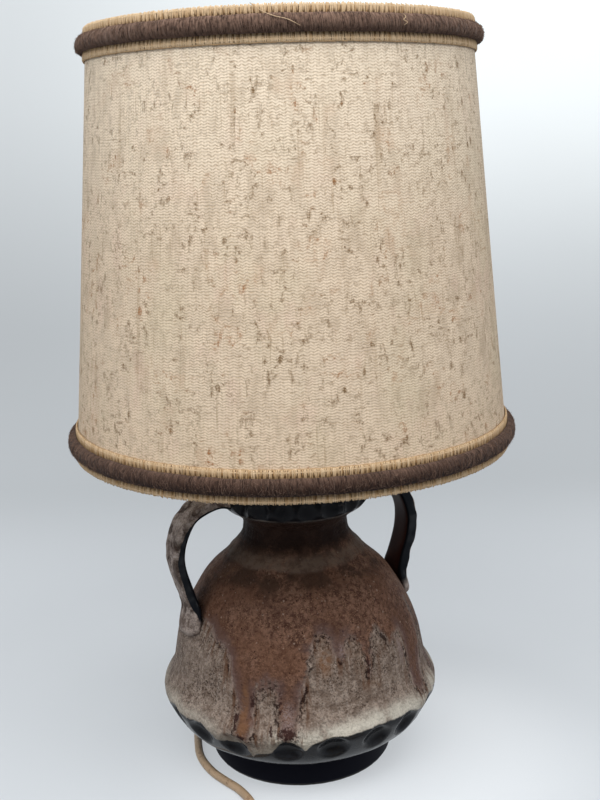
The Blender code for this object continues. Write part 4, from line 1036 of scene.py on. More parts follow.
@dataclass(frozen=True)
class StudioPaper(Finish):
    """Seamless studio paper that glows a little where it is seen and is clear from its back. Its colour is
    painted lighter round the lamp's foot and up the wall as painted light, and darker at the wall's foot and
    to the left as painted shade.
    """

    floor: Colour = (0.69, 0.725, 0.76)
    # near is painted light on the floor round the foot, which lightens the lamp's shadow there
    near: Colour = (0.85, 0.885, 0.92)
    # The wall is painted darker at its foot and lighter higher up, as painted shade and light
    painted_shade_low_wall: Colour = (0.55, 0.58, 0.605)
    painted_light_high_wall: Colour = (0.94, 0.985, 1.0)
    cloud: Colour = (0.5, 0.53, 0.56)
    unseen_share: float = 0.40
    seen_share: float = 0.45
    floor_glow: float = 0.51
    wall_glow: float = 0.77

    def make(self) -> Material:
        """Make the material, which throws less light back than the camera sees in it.

        Returns:
            The material.
        """
        material, graph, shader = self.start(roughness=0.8, specular_ior_level=0.2)
        place = graph.place()
        x, y, height = graph.split(place)
        beside, before = graph.calc("SUBTRACT", x, 0.040), graph.calc("ADD", y, 0.045)
        squares = graph.calc("ADD", graph.times(beside, beside), graph.times(before, before))
        reach = graph.calc("SQRT", squares)
        cos, sin = math.cos(VIEW_TURN), math.sin(VIEW_TURN)
        leftward = graph.calc("SUBTRACT", graph.times(y, -sin), graph.times(x, cos))
        # Painted shade over the left of the wall
        painted_shade_left = graph.times(graph.remap(leftward, -0.3, 0.5, 0.0, 0.60), graph.remap(height, 0.04, 0.20))
        tone = graph.layered(
            self.floor,
            # Painted light round the foot
            (graph.remap(reach, 0.19, 0.07), self.near),
            # Painted shade low on the wall and painted light higher up
            (graph.remap(height, 0.0, 0.05), self.painted_shade_low_wall),
            (graph.remap(height, 0.08, 0.54), self.painted_light_high_wall),
            (graph.remap(graph.noise(place, 3.0, 3.0), 0.3, 0.7, 0.0, 0.06), self.cloud),
            (painted_shade_left, shaded(self.painted_shade_low_wall, 0.8)),
        )
        path = graph.add("LightPath").outputs
        mirrored = graph.most(path["Is Glossy Ray"], path["Is Transmission Ray"])
        seen = graph.most(path["Is Camera Ray"], mirrored)
        shares = (self.unseen_share, self.seen_share)
        unlit, lit = (graph.mix(share, (0.0, 0.0, 0.0), tone) for share in shares)
        glow = graph.remap(height, 0.10, 0.80, self.floor_glow, self.wall_glow)
        behind = graph.times(graph.add("NewGeometry").outputs["Backfacing"], path["Is Camera Ray"])
        graph.dress(
            shader,
            base_color=graph.mix(seen, unlit, lit),
            emission_color=tone,
            emission_strength=graph.times(seen, glow),
            alpha=graph.rest(behind),
            normal=graph.bump(graph.noise(place, 700.0, 3.0), 0.00006),
        )
        return material


class Finishes:
    """Every finish of the lamp."""

    STONEWARE = BodyGlaze("stoneware_glazes")
    HANDLE = HandleGlaze("handle_glazes")
    FELT = Fibrous("black_felt", (0.035, 0.035, 0.035), (0.10, 0.10, 0.10))
    GASKET = Fibrous("cork_gasket", (0.33, 0.21, 0.11), (0.08, 0.045, 0.02), 800.0, 0.0002)
    BUSH = Moulded("bush_rubber", (0.42, 0.34, 0.24), 0.5)
    ZINC = Metalwork("zinc_plate", (0.56, 0.56, 0.53), (0.30, 0.29, 0.26), 0.36)
    ZINC_THREAD = Metalwork("zinc_thread", (0.56, 0.56, 0.53), (0.30, 0.29, 0.26), 0.36, 0.001)
    BRASS = Metalwork("brass_plate", (0.66, 0.47, 0.20), (0.30, 0.19, 0.08), 0.26)
    NICKEL = Metalwork("nickel_plate", (0.62, 0.60, 0.56), (0.34, 0.31, 0.27), 0.22)
    HOLDER = Moulded("holder_bakelite", (0.028, 0.020, 0.016), 0.28, 900.0, 0.00003, 0.4, 2.6)
    PORCELAIN = Moulded("glazed_porcelain", (0.78, 0.75, 0.69), 0.18, 500.0, 0.00003, 0.6)
    OPAL = OpalGlass("opal_glass", (0.84, 0.83, 0.79))
    CLOTH = ShadeCloth("shade_cloth_flecked")
    LINER = ShadeLiner("shade_liner_film")
    BRAID = BraidYarn("braid_yarn")
    WOOL = WoolRoll("wool_roll_brown")
    WIRE = Moulded("wire_enamel", (0.74, 0.71, 0.65), 0.38, 700.0, 0.00005, 0.2, 0.55)
    LEAD = Moulded("lead_sheath", (0.455, 0.315, 0.195), 0.45, 700.0, 0.00006, 0.0, 1.15, (0.24, 0.14, 0.08))
    SWITCH = Moulded("switch_moulding", (0.60, 0.50, 0.36), 0.34, 1300.0, 0.00005, 0.1, 1.2)
    ROCKER = Moulded("rocker_moulding", (0.66, 0.56, 0.41), 0.26, 1300.0, 0.00003, 0.2, 1.2)
    TIE = Moulded("tie_moulding", (0.78, 0.77, 0.72), 0.45)
    PAPER = StudioPaper("studio_paper")


def smooth_curve(points: Sequence[Sequence[float]], steps: int) -> np.ndarray:
    """Points on a smooth curve through the given ones.

    Args:
        points: The points that the curve goes through.
        steps: How many points each span gets.

    Returns:
        The curve's points, one to a row.
    """
    known = [np.asarray(point, float) for point in points]
    ends = [2 * known[0] - known[1], *known, 2 * known[-1] - known[-2]]
    curve = []
    for before, start, end, after in zip(ends, ends[1:], ends[2:], ends[3:]):
        for t in np.arange(steps) / steps:
            bend = 2 * start + (end - before) * t + (2 * before - 5 * start + 4 * end - after) * t**2
            curve.append((bend + (3 * start - before - 3 * end + after) * t**3) / 2)
    return np.array([*curve, known[-1]])


def evenly_spaced(points: np.ndarray, step: float) -> np.ndarray:
    """Points a steady distance apart on a line of many short runs.

    Args:
        points: The line's points.
        step: About how far apart the new points are.

    Returns:
        The new points, with both ends of the line.
    """
    lengths = np.concatenate([[0.0], np.cumsum(np.linalg.norm(np.diff(points, axis=0), axis=1))])
    wanted = np.linspace(0, lengths[-1], max(3, round(lengths[-1] / step)) + 1)
    return np.stack([np.interp(wanted, lengths, points[:, i]) for i in range(points.shape[1])], axis=1)

def round_angles(count: int) -> np.ndarray:
    """Evenly spaced angles of a full turn, in radians, from 0."""
    return np.arange(count) * math.tau / count


def swell(share: np.ndarray) -> np.ndarray:
    """A share held between 0 and 1 and eased at both ends."""
    held = np.clip(share, 0, 1)
    return held * held * (3 - 2 * held)


def hump(off: np.ndarray, reach: float) -> np.ndarray:
    """A smooth hump that is 1 where the distance off is 0."""
    return np.exp(-((off / reach) ** 2))


def thread_wave(heights: np.ndarray, angles: np.ndarray, pitch: float) -> np.ndarray:
    """How deep a screw thread is cut at each point, from 0 to 1."""
    return (1 + np.cos(math.tau * (heights / pitch - angles[None] / math.tau))) / 2


def eased(profile: Profile, radius: float, steps: int = 3) -> list[tuple[float, float]]:
    """Round the corners of a closed profile.

    Args:
        profile: The profile's corners, as radius and height.
        radius: How far from each corner its rounding starts, at most.
        steps: How many short runs each rounding has.

    Returns:
        The rounded profile. A point on the axis stays where it is.
    """
    corners = [np.array(point, float) for point in profile]
    rounded: list[tuple[float, float]] = []
    for i, corner in enumerate(corners):
        before, after = corners[i - 1] - corner, corners[(i + 1) % len(corners)] - corner
        near, far = float(np.linalg.norm(before)), float(np.linalg.norm(after))
        turn = abs(before[0] * after[1] - before[1] * after[0])
        if corner[0] < ON_AXIS or min(near, far) < 1e-9 or turn < 0.12 * near * far:
            rounded.append((float(corner[0]), float(corner[1])))
            continue
        start = corner + before / near * min(radius, near * 0.45)
        end = corner + after / far * min(radius, far * 0.45)
        for t in np.arange(steps + 1) / steps:
            x, z = (1 - t) ** 2 * start + 2 * t * (1 - t) * corner + t**2 * end
            rounded.append((float(x), float(z)))
    return rounded


def grid_faces(rows: int, columns: int, rows_wrap: bool, columns_wrap: bool) -> np.ndarray:
    """The quads of a grid of points that are counted row by row.

    Args:
        rows: How many rows the grid has.
        columns: How many points each row has.
        rows_wrap: Whether the last row meets the first.
        columns_wrap: Whether each row closes on itself.

    Returns:
        Four point numbers to a face.
    """
    i = np.arange(rows if rows_wrap else rows - 1)[:, None]
    j = np.arange(columns if columns_wrap else columns - 1)[None, :]
    down, across = (i + 1) % rows, (j + 1) % columns
    quads = [i * columns + j, i * columns + across, down * columns + across, down * columns + j]
    return np.stack([np.broadcast_to(q, (i.size, j.size)) for q in quads], axis=-1).reshape(-1, 4)


def linked(name: str, data: bpy.types.ID) -> Object:
    """Put a new object into the scene.

    Args:
        name: The object's name.
        data: What it shows, such as a mesh or a light.

    Returns:
        The object.
    """
    thing = bpy.data.objects.new(name, data)
    bpy.context.scene.collection.objects.link(thing)
    return thing

def solid(name: str, points: np.ndarray, faces: list, finish: Finish, sharp: float = 42.0) -> Object:
    """Make a piece from its points and faces, with its faces turned out.

    Args:
        name: The piece's name.
        points: Its points.
        faces: Point numbers of each face.
        finish: Its finish.
        sharp: Edges that turn by more degrees than this stay sharp.

    Returns:
        The piece.
    """
    mesh = bpy.data.meshes.new(name)
    mesh.from_pydata(np.asarray(points, float).reshape(-1, 3).tolist(), [], faces)
    shape = bmesh.new()
    shape.from_mesh(mesh)
    bmesh.ops.recalc_face_normals(shape, faces=shape.faces)
    shape.to_mesh(mesh)
    shape.free()
    mesh.shade_smooth()
    mesh.set_sharp_from_angle(angle=math.radians(sharp))
    mesh.materials.append(material_of(finish))
    return linked(name, mesh)


def turned(
    name: str,
    profile: Profile,
    segments: int,
    finish: Finish,
    warp: Callable[[np.ndarray, np.ndarray], np.ndarray] | None = None,
    sharp: float = 42.0,
) -> Object:
    """Turn a profile round the upright axis into a closed piece.

    Args:
        name: The piece's name.
        profile: Radius and height of each point. It closes on itself, or starts and ends on the axis.
        segments: How many columns of faces go round.
        finish: The piece's finish.
        warp: Moves the points, given their grid and their angles.
        sharp: Edges that turn by more degrees than this stay sharp.

    Returns:
        The piece.
    """
    outline = np.array(profile, float)
    on_axis = outline[0, 0] < ON_AXIS
    body = outline[1:-1] if on_axis else outline
    angles = round_angles(segments)
    points = np.empty((len(body), segments, 3))
    points[..., 0] = body[:, :1] * np.cos(angles)
    points[..., 1] = body[:, :1] * np.sin(angles)
    points[..., 2] = body[:, 1:]
    if warp is not None:
        points = warp(points, angles)
    faces = grid_faces(len(body), segments, not on_axis, True).tolist()
    flat = points.reshape(-1, 3)
    if on_axis:
        count = len(flat)
        flat = np.vstack([flat, [0, 0, outline[0, 1]], [0, 0, outline[-1, 1]]])
        last = count - segments
        for j in range(segments):
            following = (j + 1) % segments
            faces.append([count, following, j])
            faces.append([count + 1, last + j, last + following])
    return solid(name, flat, faces, finish, sharp)


def lofted(name: str, rings: Sequence, finish: Finish, sharp: float = 42.0) -> Object:
    """Join rings of equally many points, and close both ends.

    Args:
        name: The piece's name.
        rings: The rings, one after the other.
        finish: The piece's finish.
        sharp: Edges that turn by more degrees than this stay sharp.

    Returns:
        The piece.
    """
    points = np.array(rings, float)
    rows, columns = points.shape[:2]
    faces = grid_faces(rows, columns, False, True).tolist()
    faces.append(list(range(columns)))
    faces.append(list(range((rows - 1) * columns, rows * columns)))
    return solid(name, points, faces, finish, sharp)


def strands(
    paths: np.ndarray, radii: np.ndarray, across: np.ndarray, sides: int, flat: float = 1.0
) -> tuple[np.ndarray, np.ndarray, list]:
    """Many short closed tubes at once.

    Args:
        paths: For each tube, its points.
        radii: For each tube, the radius at each point.
        across: For each tube, a direction that is square to it.
        sides: How many sides each tube has.
        flat: The thickness along the square direction, as a share of the width.

    Returns:
        The points, the quads and the end faces.
    """
    count, length = paths.shape[:2]
    along = np.gradient(paths, axis=1)
    along /= np.linalg.norm(along, axis=2, keepdims=True) + 1e-12
    beside = np.cross(along, across[:, None, :])
    beside /= np.linalg.norm(beside, axis=2, keepdims=True) + 1e-12
    above = np.cross(beside, along)
    turn = round_angles(sides)
    ring = np.cos(turn)[:, None] * above[:, :, None, :] * flat + np.sin(turn)[:, None] * beside[:, :, None, :]
    points = paths[:, :, None, :] + ring * radii[:, :, None, None]
    quads = grid_faces(length, sides, False, True)
    starts = np.arange(count)[:, None, None] * (length * sides)
    quads = (quads[None] + starts).reshape(-1, 4)
    first = np.arange(sides)[None, :] + starts[:, :, 0]
    ends = np.concatenate([first, first + (length - 1) * sides]).tolist()
    return points.reshape(-1, 3), quads, ends


def rod(name: str, path: Sequence[Sequence[float]], radius: float, sides: int, finish: Finish) -> Object:
    """A round rod or wire along a path, with eased ends.

    Args:
        name: The piece's name.
        path: The points that it follows.
        radius: Its radius.
        sides: How many sides it has.
        finish: Its finish.

    Returns:
        The piece.
    """
    line = np.array(path, float)
    first = line[0] + (line[1] - line[0]) / np.linalg.norm(line[1] - line[0]) * radius * 0.35
    last = line[-1] + (line[-2] - line[-1]) / np.linalg.norm(line[-2] - line[-1]) * radius * 0.35
    line = np.vstack([line[:1], first, line[1:-1], last, line[-1:]])
    radii = np.full(len(line), radius)
    radii[[0, -1]] *= 0.62
    direction = line[-1] - line[0]
    upright = abs(direction[2]) >= np.linalg.norm(direction) * 0.9
    guess = np.array((0.0, 1.0, 0.0)) if upright else np.cross(direction, (0, 0, 1))
    points, quads, ends = strands(line[None], radii[None], guess[None] / np.linalg.norm(guess), sides)
    return solid(name, points, quads.tolist() + ends, finish, 50.0)


def oval(length: float, width: float, squareness: float, count: int) -> np.ndarray:
    """Points round a superellipse.

    Args:
        length: Its size along the first axis.
        width: Its size along the second axis.
        squareness: From 2, a plain ellipse, to a box.
        count: How many points it has.

    Returns:
        The points, two numbers each.
    """
    angle = math.tau * (np.arange(count) + 0.5) / count
    c, s = np.cos(angle), np.sin(angle)
    x = np.copysign(np.abs(c) ** (2 / squareness), c) * length / 2
    y = np.copysign(np.abs(s) ** (2 / squareness), s) * width / 2
    return np.stack([x, y], axis=1)


def store(piece: Object, name: str, values: np.ndarray) -> None:
    """Keep a number of this name at each point of a piece's mesh."""
    attribute = piece.data.attributes.new(name, "FLOAT", "POINT")
    attribute.data.foreach_set("value", np.asarray(values, np.float32).ravel())


def carve(piece: Object, cutter: Object) -> None:
    """Cut one piece out of another for good, and remove the cutter.

    Args:
        piece: The piece to cut.
        cutter: What is taken out of it.
    """
    boolean = piece.modifiers.new("carve", "BOOLEAN")
    boolean.operation, boolean.solver, boolean.object = "DIFFERENCE", "EXACT", cutter
    bpy.context.view_layer.update()
    mesh = bpy.data.meshes.new_from_object(piece.evaluated_get(bpy.context.evaluated_depsgraph_get()))
    piece.modifiers.clear()
    piece.data = mesh
    bpy.data.objects.remove(cutter, do_unlink=True)


def wavy(angles: np.ndarray, seed: int, turns: Sequence[int]) -> np.ndarray:
    """A smooth random wave that closes on itself.

    Args:
        angles: Where the wave is wanted, in radians.
        seed: Chooses the wave.
        turns: How many times each part of it goes up and down in a turn.

    Returns:
        The wave, mostly from -1 to 1.
    """
    random = np.random.default_rng(seed)
    parts = [np.sin(angles * k + random.uniform(0, math.tau)) * random.uniform(0.5, 1.0) for k in turns]
    return np.sum(parts, axis=0) / math.sqrt(len(parts))


def at(piece: Object, x: float = 0.0, y: float = 0.0, z: float = 0.0) -> Object:
    """Shift a piece's mesh, so that its object stays at the origin."""
    piece.data.transform(Matrix.Translation((x, y, z)))
    return piece


class Register:
    """Hands each finished piece to the frame."""

    BODIES = frame["record"]["behaviour"]["bodies"]
    SLOTS = {row["node"]: row["material_slot"] for row in frame["record"]["subparts"]}

    @classmethod
    def hand_in(cls, piece: Object, *nodes: str) -> Object:
        """Let a piece stand for its CAD nodes and ride on their body.

        Args:
            piece: The finished piece.
            nodes: The CAD nodes that it stands for, all on one body.

        Returns:
            The piece.
        """
        body = next(name for name, members in cls.BODIES.items() if nodes[0] in members)
        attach(piece, body)
        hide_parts(*nodes)
        LOG.info("%s stands for %s on %s", piece.name, ", ".join(nodes), body)
        return piece


def combined(name: str, parts: Sequence[Body], finish: Finish) -> Object:
    """Make one piece of several closed bodies, with the numbers that each of them carries.

    Args:
        name: The piece's name.
        parts: For each body its points, its faces and its numbers by name.
        finish: The piece's finish.

    Returns:
        The piece.
    """
    faces, start = [], 0
    for points, part_faces, _ in parts:
        faces += [[start + corner for corner in face] for face in part_faces]
        start += len(points)
    piece = solid(name, np.vstack([points for points, _, _ in parts]), faces, finish, 60.0)
    for key in parts[0][2]:
        values = [np.broadcast_to(numbers[key], len(points)) for points, _, numbers in parts]
        store(piece, key, np.concatenate(values))
    return piece


def ring(inner: float, outer: float, low: float, high: float) -> Profile:
    """The profile of a plain ring between two radii and two heights."""
    return ((outer, high), (outer, low), (inner, low), (inner, high))


def slab(name: str, low: Sequence[float], high: Sequence[float], ease: float, finish: Finish) -> Object:
    """A block between two corners, with every edge eased.

    Args:
        name: The piece's name.
        low: Its lowest corner.
        high: Its highest corner.
        ease: How far the edges are eased.
        finish: Its finish.

    Returns:
        The piece.
    """
    shape = bmesh.new()
    size = Vector(high) - Vector(low)
    middle = (Vector(high) + Vector(low)) / 2
    bmesh.ops.create_cube(shape, size=1.0, matrix=Matrix.Translation(middle) @ Matrix.Diagonal((*size, 1.0)))
    bmesh.ops.bevel(shape, geom=shape.edges[:], offset=ease, segments=3, affect="EDGES", profile=0.6)
    points = np.array([vertex.co for vertex in shape.verts])
    faces = [[vertex.index for vertex in face.verts] for face in shape.faces]
    shape.free()
    return solid(name, points, faces, finish, 60.0)


def hexagon_nut(name: str, across: float, bore: float, low: float, high: float, finish: Finish) -> Object:
    """A hexagon nut whose corners are chamfered at both faces.

    Args:
        name: The piece's name.
        across: Its size across the flats.
        bore: The radius of its hole.
        low: Its lower face.
        high: Its upper face.
        finish: Its finish.

    Returns:
        The piece.
    """
    face, ease = across / 2 * 0.97, across * 0.05

    def to_hexagon(points: np.ndarray, angles: np.ndarray) -> np.ndarray:
        """Pull the round outside out to the six flats.

        Args:
            points: The grid of points.
            angles: The angle of each column.

        Returns:
            The moved points.
        """
        reach = across / 2 / np.cos((angles + math.pi / 6) % (math.pi / 3) - math.pi / 6)
        for row in (3, 4):
            points[row, :, 0], points[row, :, 1] = reach * np.cos(angles), reach * np.sin(angles)
        return points

    top, foot = high - ease * 1.2, low + ease * 1.2
    profile = ((bore, high - ease), (bore + ease, high), (face, high), (across, top), (across, foot))
    profile += ((face, low), (bore + ease, low), (bore, low + ease))
    return turned(name, profile, 72, finish, to_hexagon, 20.0)


@dataclass
class GlazedBody:
    """The hollow stoneware body, pressed in by thumbs round its lower band and its rim."""

    height: float = 0.1985
    belly_radius: float = 0.0970
    foot_radius: float = 0.0642
    foot_bottom: float = 0.0019
    foot_height: float = 0.0180
    wall: float = 0.0070
    mouth_radius: float = 0.0432
    recess_radius: float = 0.0550
    floor_bottom: float = 0.0260
    floor_top: float = 0.0320
    rod_hole: float = 0.0054
    press_count: int = 20
    press_turn: float = 5.0
    columns: int = 720
    steps: int = 10
    full_press: float = 0.004
    drawn_in: np.ndarray | None = field(init=False, default=None)

    OUTLINE = (
        (0.000, 0.668), (0.066, 0.874), (0.152, 0.980), (0.205, 1.000), (0.285, 0.925), (0.443, 0.859),
        (0.615, 0.693), (0.704, 0.530), (0.781, 0.406), (0.826, 0.375), (0.870, 0.388), (0.925, 0.514),
        (0.958, 0.536), (1.000, 0.501),
    )  # fmt: skip
    # The lower edge of the brown glaze over the front, as degrees round the body and millimetres up
    BROWN_EDGE = (
        (-181.1, 114.9), (-167.1, 115.2), (-161.3, 113.1), (-155.3, 106.7), (-148.6, 105.3), (-145.6, 99.0),
        (-143.6, 89.7), (-141.7, 81.2), (-140.0, 74.0), (-138.8, 65.7), (-138.6, 54.4), (-136.6, 50.9),
        (-134.0, 51.4), (-132.3, 61.7), (-133.0, 70.5), (-132.6, 80.0), (-131.3, 85.5), (-130.1, 77.5),
        (-128.8, 88.0), (-127.2, 81.5), (-125.6, 91.0), (-124.4, 83.0), (-123.2, 88.0), (-122.0, 78.6),
        (-121.6, 68.7), (-120.6, 61.0), (-120.4, 56.2), (-118.0, 53.4), (-115.4, 54.9), (-114.5, 62.2),
        (-113.6, 72.4), (-112.1, 82.5), (-110.2, 91.1), (-108.5, 101.6), (-106.7, 109.4), (-103.8, 115.3),
        (-99.7, 115.9), (-97.3, 111.6), (-95.5, 103.2), (-93.8, 99.1), (-91.5, 103.5), (-89.0, 111.6),
        (-84.4, 110.3), (-82.9, 104.6), (-81.3, 96.8), (-80.8, 86.4), (-79.0, 95.9), (-75.6, 106.9),
        (-70.9, 113.5), (-67.9, 108.7), (-65.8, 99.0), (-60.5, 104.1), (-56.0, 105.3), (-54.3, 99.6),
        (-55.3, 90.7), (-54.8, 74.6), (-53.8, 64.8), (-52.0, 59.7), (-47.5, 62.0), (-44.5, 74.0),
        (-40.3, 86.7),
    )  # fmt: skip
    # The lower edge of the pale glaze over the front, in the same way
    PALE_EDGE = (
        (-184.0, 50.5), (-176.7, 52.3), (-164.9, 51.8), (-156.2, 53.9), (-151.5, 50.0), (-149.1, 44.7),
        (-143.8, 43.6), (-138.0, 43.6), (-135.2, 44.0), (-133.5, 35.5), (-131.2, 39.5), (-124.9, 41.5),
        (-119.7, 52.2), (-115.6, 50.9), (-111.4, 44.7), (-107.7, 50.9), (-100.6, 54.2), (-95.0, 52.9),
        (-88.9, 53.8), (-82.5, 54.7), (-75.4, 54.4), (-64.2, 53.9), (-55.0, 48.5), (-47.3, 43.4),
    )  # fmt: skip
    # The middles of the thumb presses that the photograph shows in the lower band, in degrees
    SEEN_PRESSES = (-158.0, -141.0, -118.5, -100.0, -81.0, -64.5)
    # Blots: degrees, millimetres up, half width in degrees and half height in millimetres
    LILAC = ((-117.9, 66.5, 2.9, 8.5), (-92.6, 104.0, 1.6, 5.0), (-59.5, 92.0, 2.0, 9.0))
    PLUM = (
        (-118.0, 57.0, 3.4, 4.4), (-121.0, 74.0, 0.9, 7.0), (-80.8, 93.0, 0.7, 7.0), (-133.2, 74.0, 1.0, 8.0),
        (-137.0, 51.5, 2.4, 2.6), (-139.6, 62.0, 0.8, 9.0), (-124.5, 58.0, 0.7, 3.0),
    )  # fmt: skip
    OCHRE = ((-136.6, 72.0, 1.7, 14.0), (-136.0, 58.0, 2.1, 6.0), (-101.0, 100.0, 3.5, 9.0))
    # How much of the cream shows: degrees round the body, and the share at each
    CREAMY = (
        (-180, -150, -128, -112, -70, -45, 0, 60, 120, 180),
        (0.5, 0.42, 0.45, 1.0, 1.0, 0.75, 0.6, 1.0, 0.6, 0.5),
    )

    def build(self) -> Object:
        """Build the body.

        Returns:
            The piece.
        """
        outside = self._outside()
        profile = outside + self._inside()
        press = self._press(len(outside))
        body = turned("glazed_body", profile, self.columns, Finishes.STONEWARE, press, 60.0)
        degrees = np.degrees(round_angles(self.columns))
        around = (degrees + 180.0) % 360.0 - 180.0
        heights = np.array([z for _, z in outside]) * 1000
        random = np.random.default_rng(SEED)
        brown_edge = [*self.BROWN_EDGE, *self._more_drips(random)]
        pale_edge = [*self.PALE_EDGE, *self._more_scallops(random)]
        fields = {
            "brown": (self._above(brown_edge, degrees, heights), -50.0),
            "cream": (self._above(pale_edge, degrees, heights), -50.0),
            "lilac": (self._blots(self.LILAC, degrees, heights), 0.0),
            "plum": (self._blots(self.PLUM, degrees, heights), 0.0),
            "ochre": (self._blots(self.OCHRE, degrees, heights), 0.0),
            "pressed": (self.drawn_in / self.full_press, 0.0),
            "creamy": (np.interp(around, *self.CREAMY), 0.0),
        }
        for name, (values, elsewhere) in fields.items():
            numbers = np.full((len(profile), self.columns), elsewhere)
            numbers[: len(outside)] = values
            store(body, name, numbers)
        return Register.hand_in(body, "vase_body")

    def _outside(self) -> list[tuple[float, float]]:
        """The profile of the outside, from under the foot to the rim.

        Returns:
            Radius and height of each point.
        """
        rise = self.height - self.foot_height
        outline = smooth_curve(self.OUTLINE, self.steps)
        points = [(self.belly_radius * r, self.foot_height + rise * h) for h, r in outline]
        inner, wide, low, high = self.recess_radius, self.foot_radius, self.foot_bottom, self.foot_height
        foot = eased(((inner, low), (wide, low), (wide, high), (inner + 0.001, high)), 0.0012)
        side = [(r, z) for r, z in foot if r > inner + 0.002 and z < high - 0.0001]
        side += [(wide, z) for z in np.linspace(side[-1][1] + 0.001, high - 0.0006, 8)]
        return side + points[:-1] + [(points[-1][0] - 0.0002, self.height - 0.0006)]

    def _inside(self) -> list[tuple[float, float]]:
        """The profile of the inside, from the rim down to the foot's recess.

        Returns:
            Radius and height of each point.
        """
        shares = (0.90, 0.83, 0.72, 0.60, 0.46, 0.28, 0.20, 0.12)
        heights = [self.foot_height + (self.height - self.foot_height) * share for share in shares]
        hollow = [(self._radius(z) - self.wall, z) for z in heights]
        lip = [(self.mouth_radius + 0.0040, self.height), (self.mouth_radius + 0.0010, self.height)]
        lip += [(self.mouth_radius, self.height - 0.0012), (self.mouth_radius, self.height - 0.0105)]
        low = [(self._radius(self.floor_top) - self.wall, self.floor_top), (self.rod_hole, self.floor_top)]
        low += [(self.rod_hole, self.floor_bottom), (self.recess_radius, self.floor_bottom)]
        return lip + hollow + low + [(self.recess_radius, self.foot_bottom)]

    def _radius(self, height: float) -> float:
        """The radius of the outside at one height.

        Args:
            height: The height, in metres.

        Returns:
            The radius.
        """
        share = (height - self.foot_height) / (self.height - self.foot_height)
        outline = smooth_curve(self.OUTLINE, 4)
        return float(np.interp(share, outline[:, 0], outline[:, 1])) * self.belly_radius

    def _rows_of_presses(self, random: np.random.Generator) -> list[tuple]:
        """The thumb presses of the lower band and of the rim.

        Args:
            random: The source of chance.

        Returns:
            Each row's presses in degrees, height, half height, depth and half width, which is in degrees too.
        """
        step = 360 / self.press_count
        even = [self.press_turn + step * k + random.uniform(-1.1, 1.1) for k in range(self.press_count)]
        last, unseen = self.SEEN_PRESSES[-1], self.press_count - len(self.SEEN_PRESSES)
        step = (self.SEEN_PRESSES[0] + 360 - last) / (unseen + 1)
        more = [last + step * (k + 1) + random.uniform(-1.1, 1.1) for k in range(unseen)]
        lower = ([*self.SEEN_PRESSES, *more], 0.0446, 0.0094, 0.0050, 6.9)
        return [lower, (even, 0.1902, 0.0068, 0.0027, 7.4)]

    def _press(self, outside: int) -> Callable[[np.ndarray, np.ndarray], np.ndarray]:
        """What the thumbs and the wheel did to the outside.

        Args:
            outside: How many rows of the profile are outside.

        Returns:
            A function that moves the grid of points.
        """

        def press(points: np.ndarray, angles: np.ndarray) -> np.ndarray:
            """Draw the outside in where it was pressed, and let it wander a little.

            Args:
                points: The grid of points.
                angles: The angle of each column.

            Returns:
                The moved points.
            """
            random = np.random.default_rng(SEED + 1)
            height = points[:outside, :1, 2]
            drawn_in = np.zeros((outside, len(angles)))
            for centres, middle, half, depth, reach in self._rows_of_presses(random):
                for centre in centres:
                    level = middle + random.uniform(-0.08, 0.08) * half
                    off = (angles - math.radians(centre) + math.pi) % math.tau - math.pi
                    near = (off / math.radians(reach)) ** 2 + ((height - level) / half) ** 2
                    drawn_in += depth * random.uniform(0.85, 1.1) * np.clip(1 - near**1.3, 0, 1) ** 1.35
            self.drawn_in = drawn_in
            wander = wavy(angles, SEED, (2, 3, 5, 7))[None] * np.sin(height * 60) * 0.0003
            wander = wander + 0.00025 * wavy(angles, SEED + 3, (9, 14, 23))[None] * np.sin(height * 210 + 1)
            above_foot = np.clip((height - self.foot_height) * 300, 0, 1)
            line = 0.0005 * hump(height - 0.1832 - 0.0007 * wavy(angles, SEED + 5, (5, 11, 20))[None], 0.0009)
            ridge = 0.0005 * hump(height - 0.1505, 0.0016) - 0.0003 * hump(height - 0.1478, 0.0010)
            radius = np.linalg.norm(points[:outside, :, :2], axis=2)
            scale = 1 + (line + ridge + (wander - drawn_in) * above_foot) / radius
            points[:outside, :, :2] *= scale[..., None]
            return points

        return press

    def _more_drips(self, random: np.random.Generator) -> list[tuple[float, float]]:
        """Drips of the brown glaze round the back, like those of the front.

        Args:
            random: The source of chance.

        Returns:
            Degrees and millimetres of each knot.
        """
        knots, angle = [], -35.0
        while angle < 168:
            peak, low = random.uniform(103, 116), random.choice((97.0, 91.0, 84.0, 70.0, 55.0))
            wide = random.uniform(2.0, 3.4)
            knots += [(angle, peak), (angle + wide, peak - random.uniform(0, 3))]
            knots += [(angle + wide * 1.4, (peak + low) / 2), (angle + wide * 1.7, low + 2)]
            knots += [(angle + wide * 2.2, low), (angle + wide * 2.7, low + 3)]
            knots.append((angle + wide * 3.1, (peak + low) / 2 + 4))
            angle += wide * 3.5 + random.uniform(1, 6)
        return knots

    def _more_scallops(self, random: np.random.Generator) -> list[tuple[float, float]]:
        """The pale glaze's lower edge round the back, which dips between the thumb presses.

        Args:
            random: The source of chance.

        Returns:
            Degrees and millimetres of each knot.
        """
        knots = []
        for angle in range(-40, 168, 18):
            for step, low, high in ((0, 52, 54.5), (5, 52, 54.5), (9, 43, 50)):
                knots.append((angle + step, random.uniform(low, high)))
        return knots

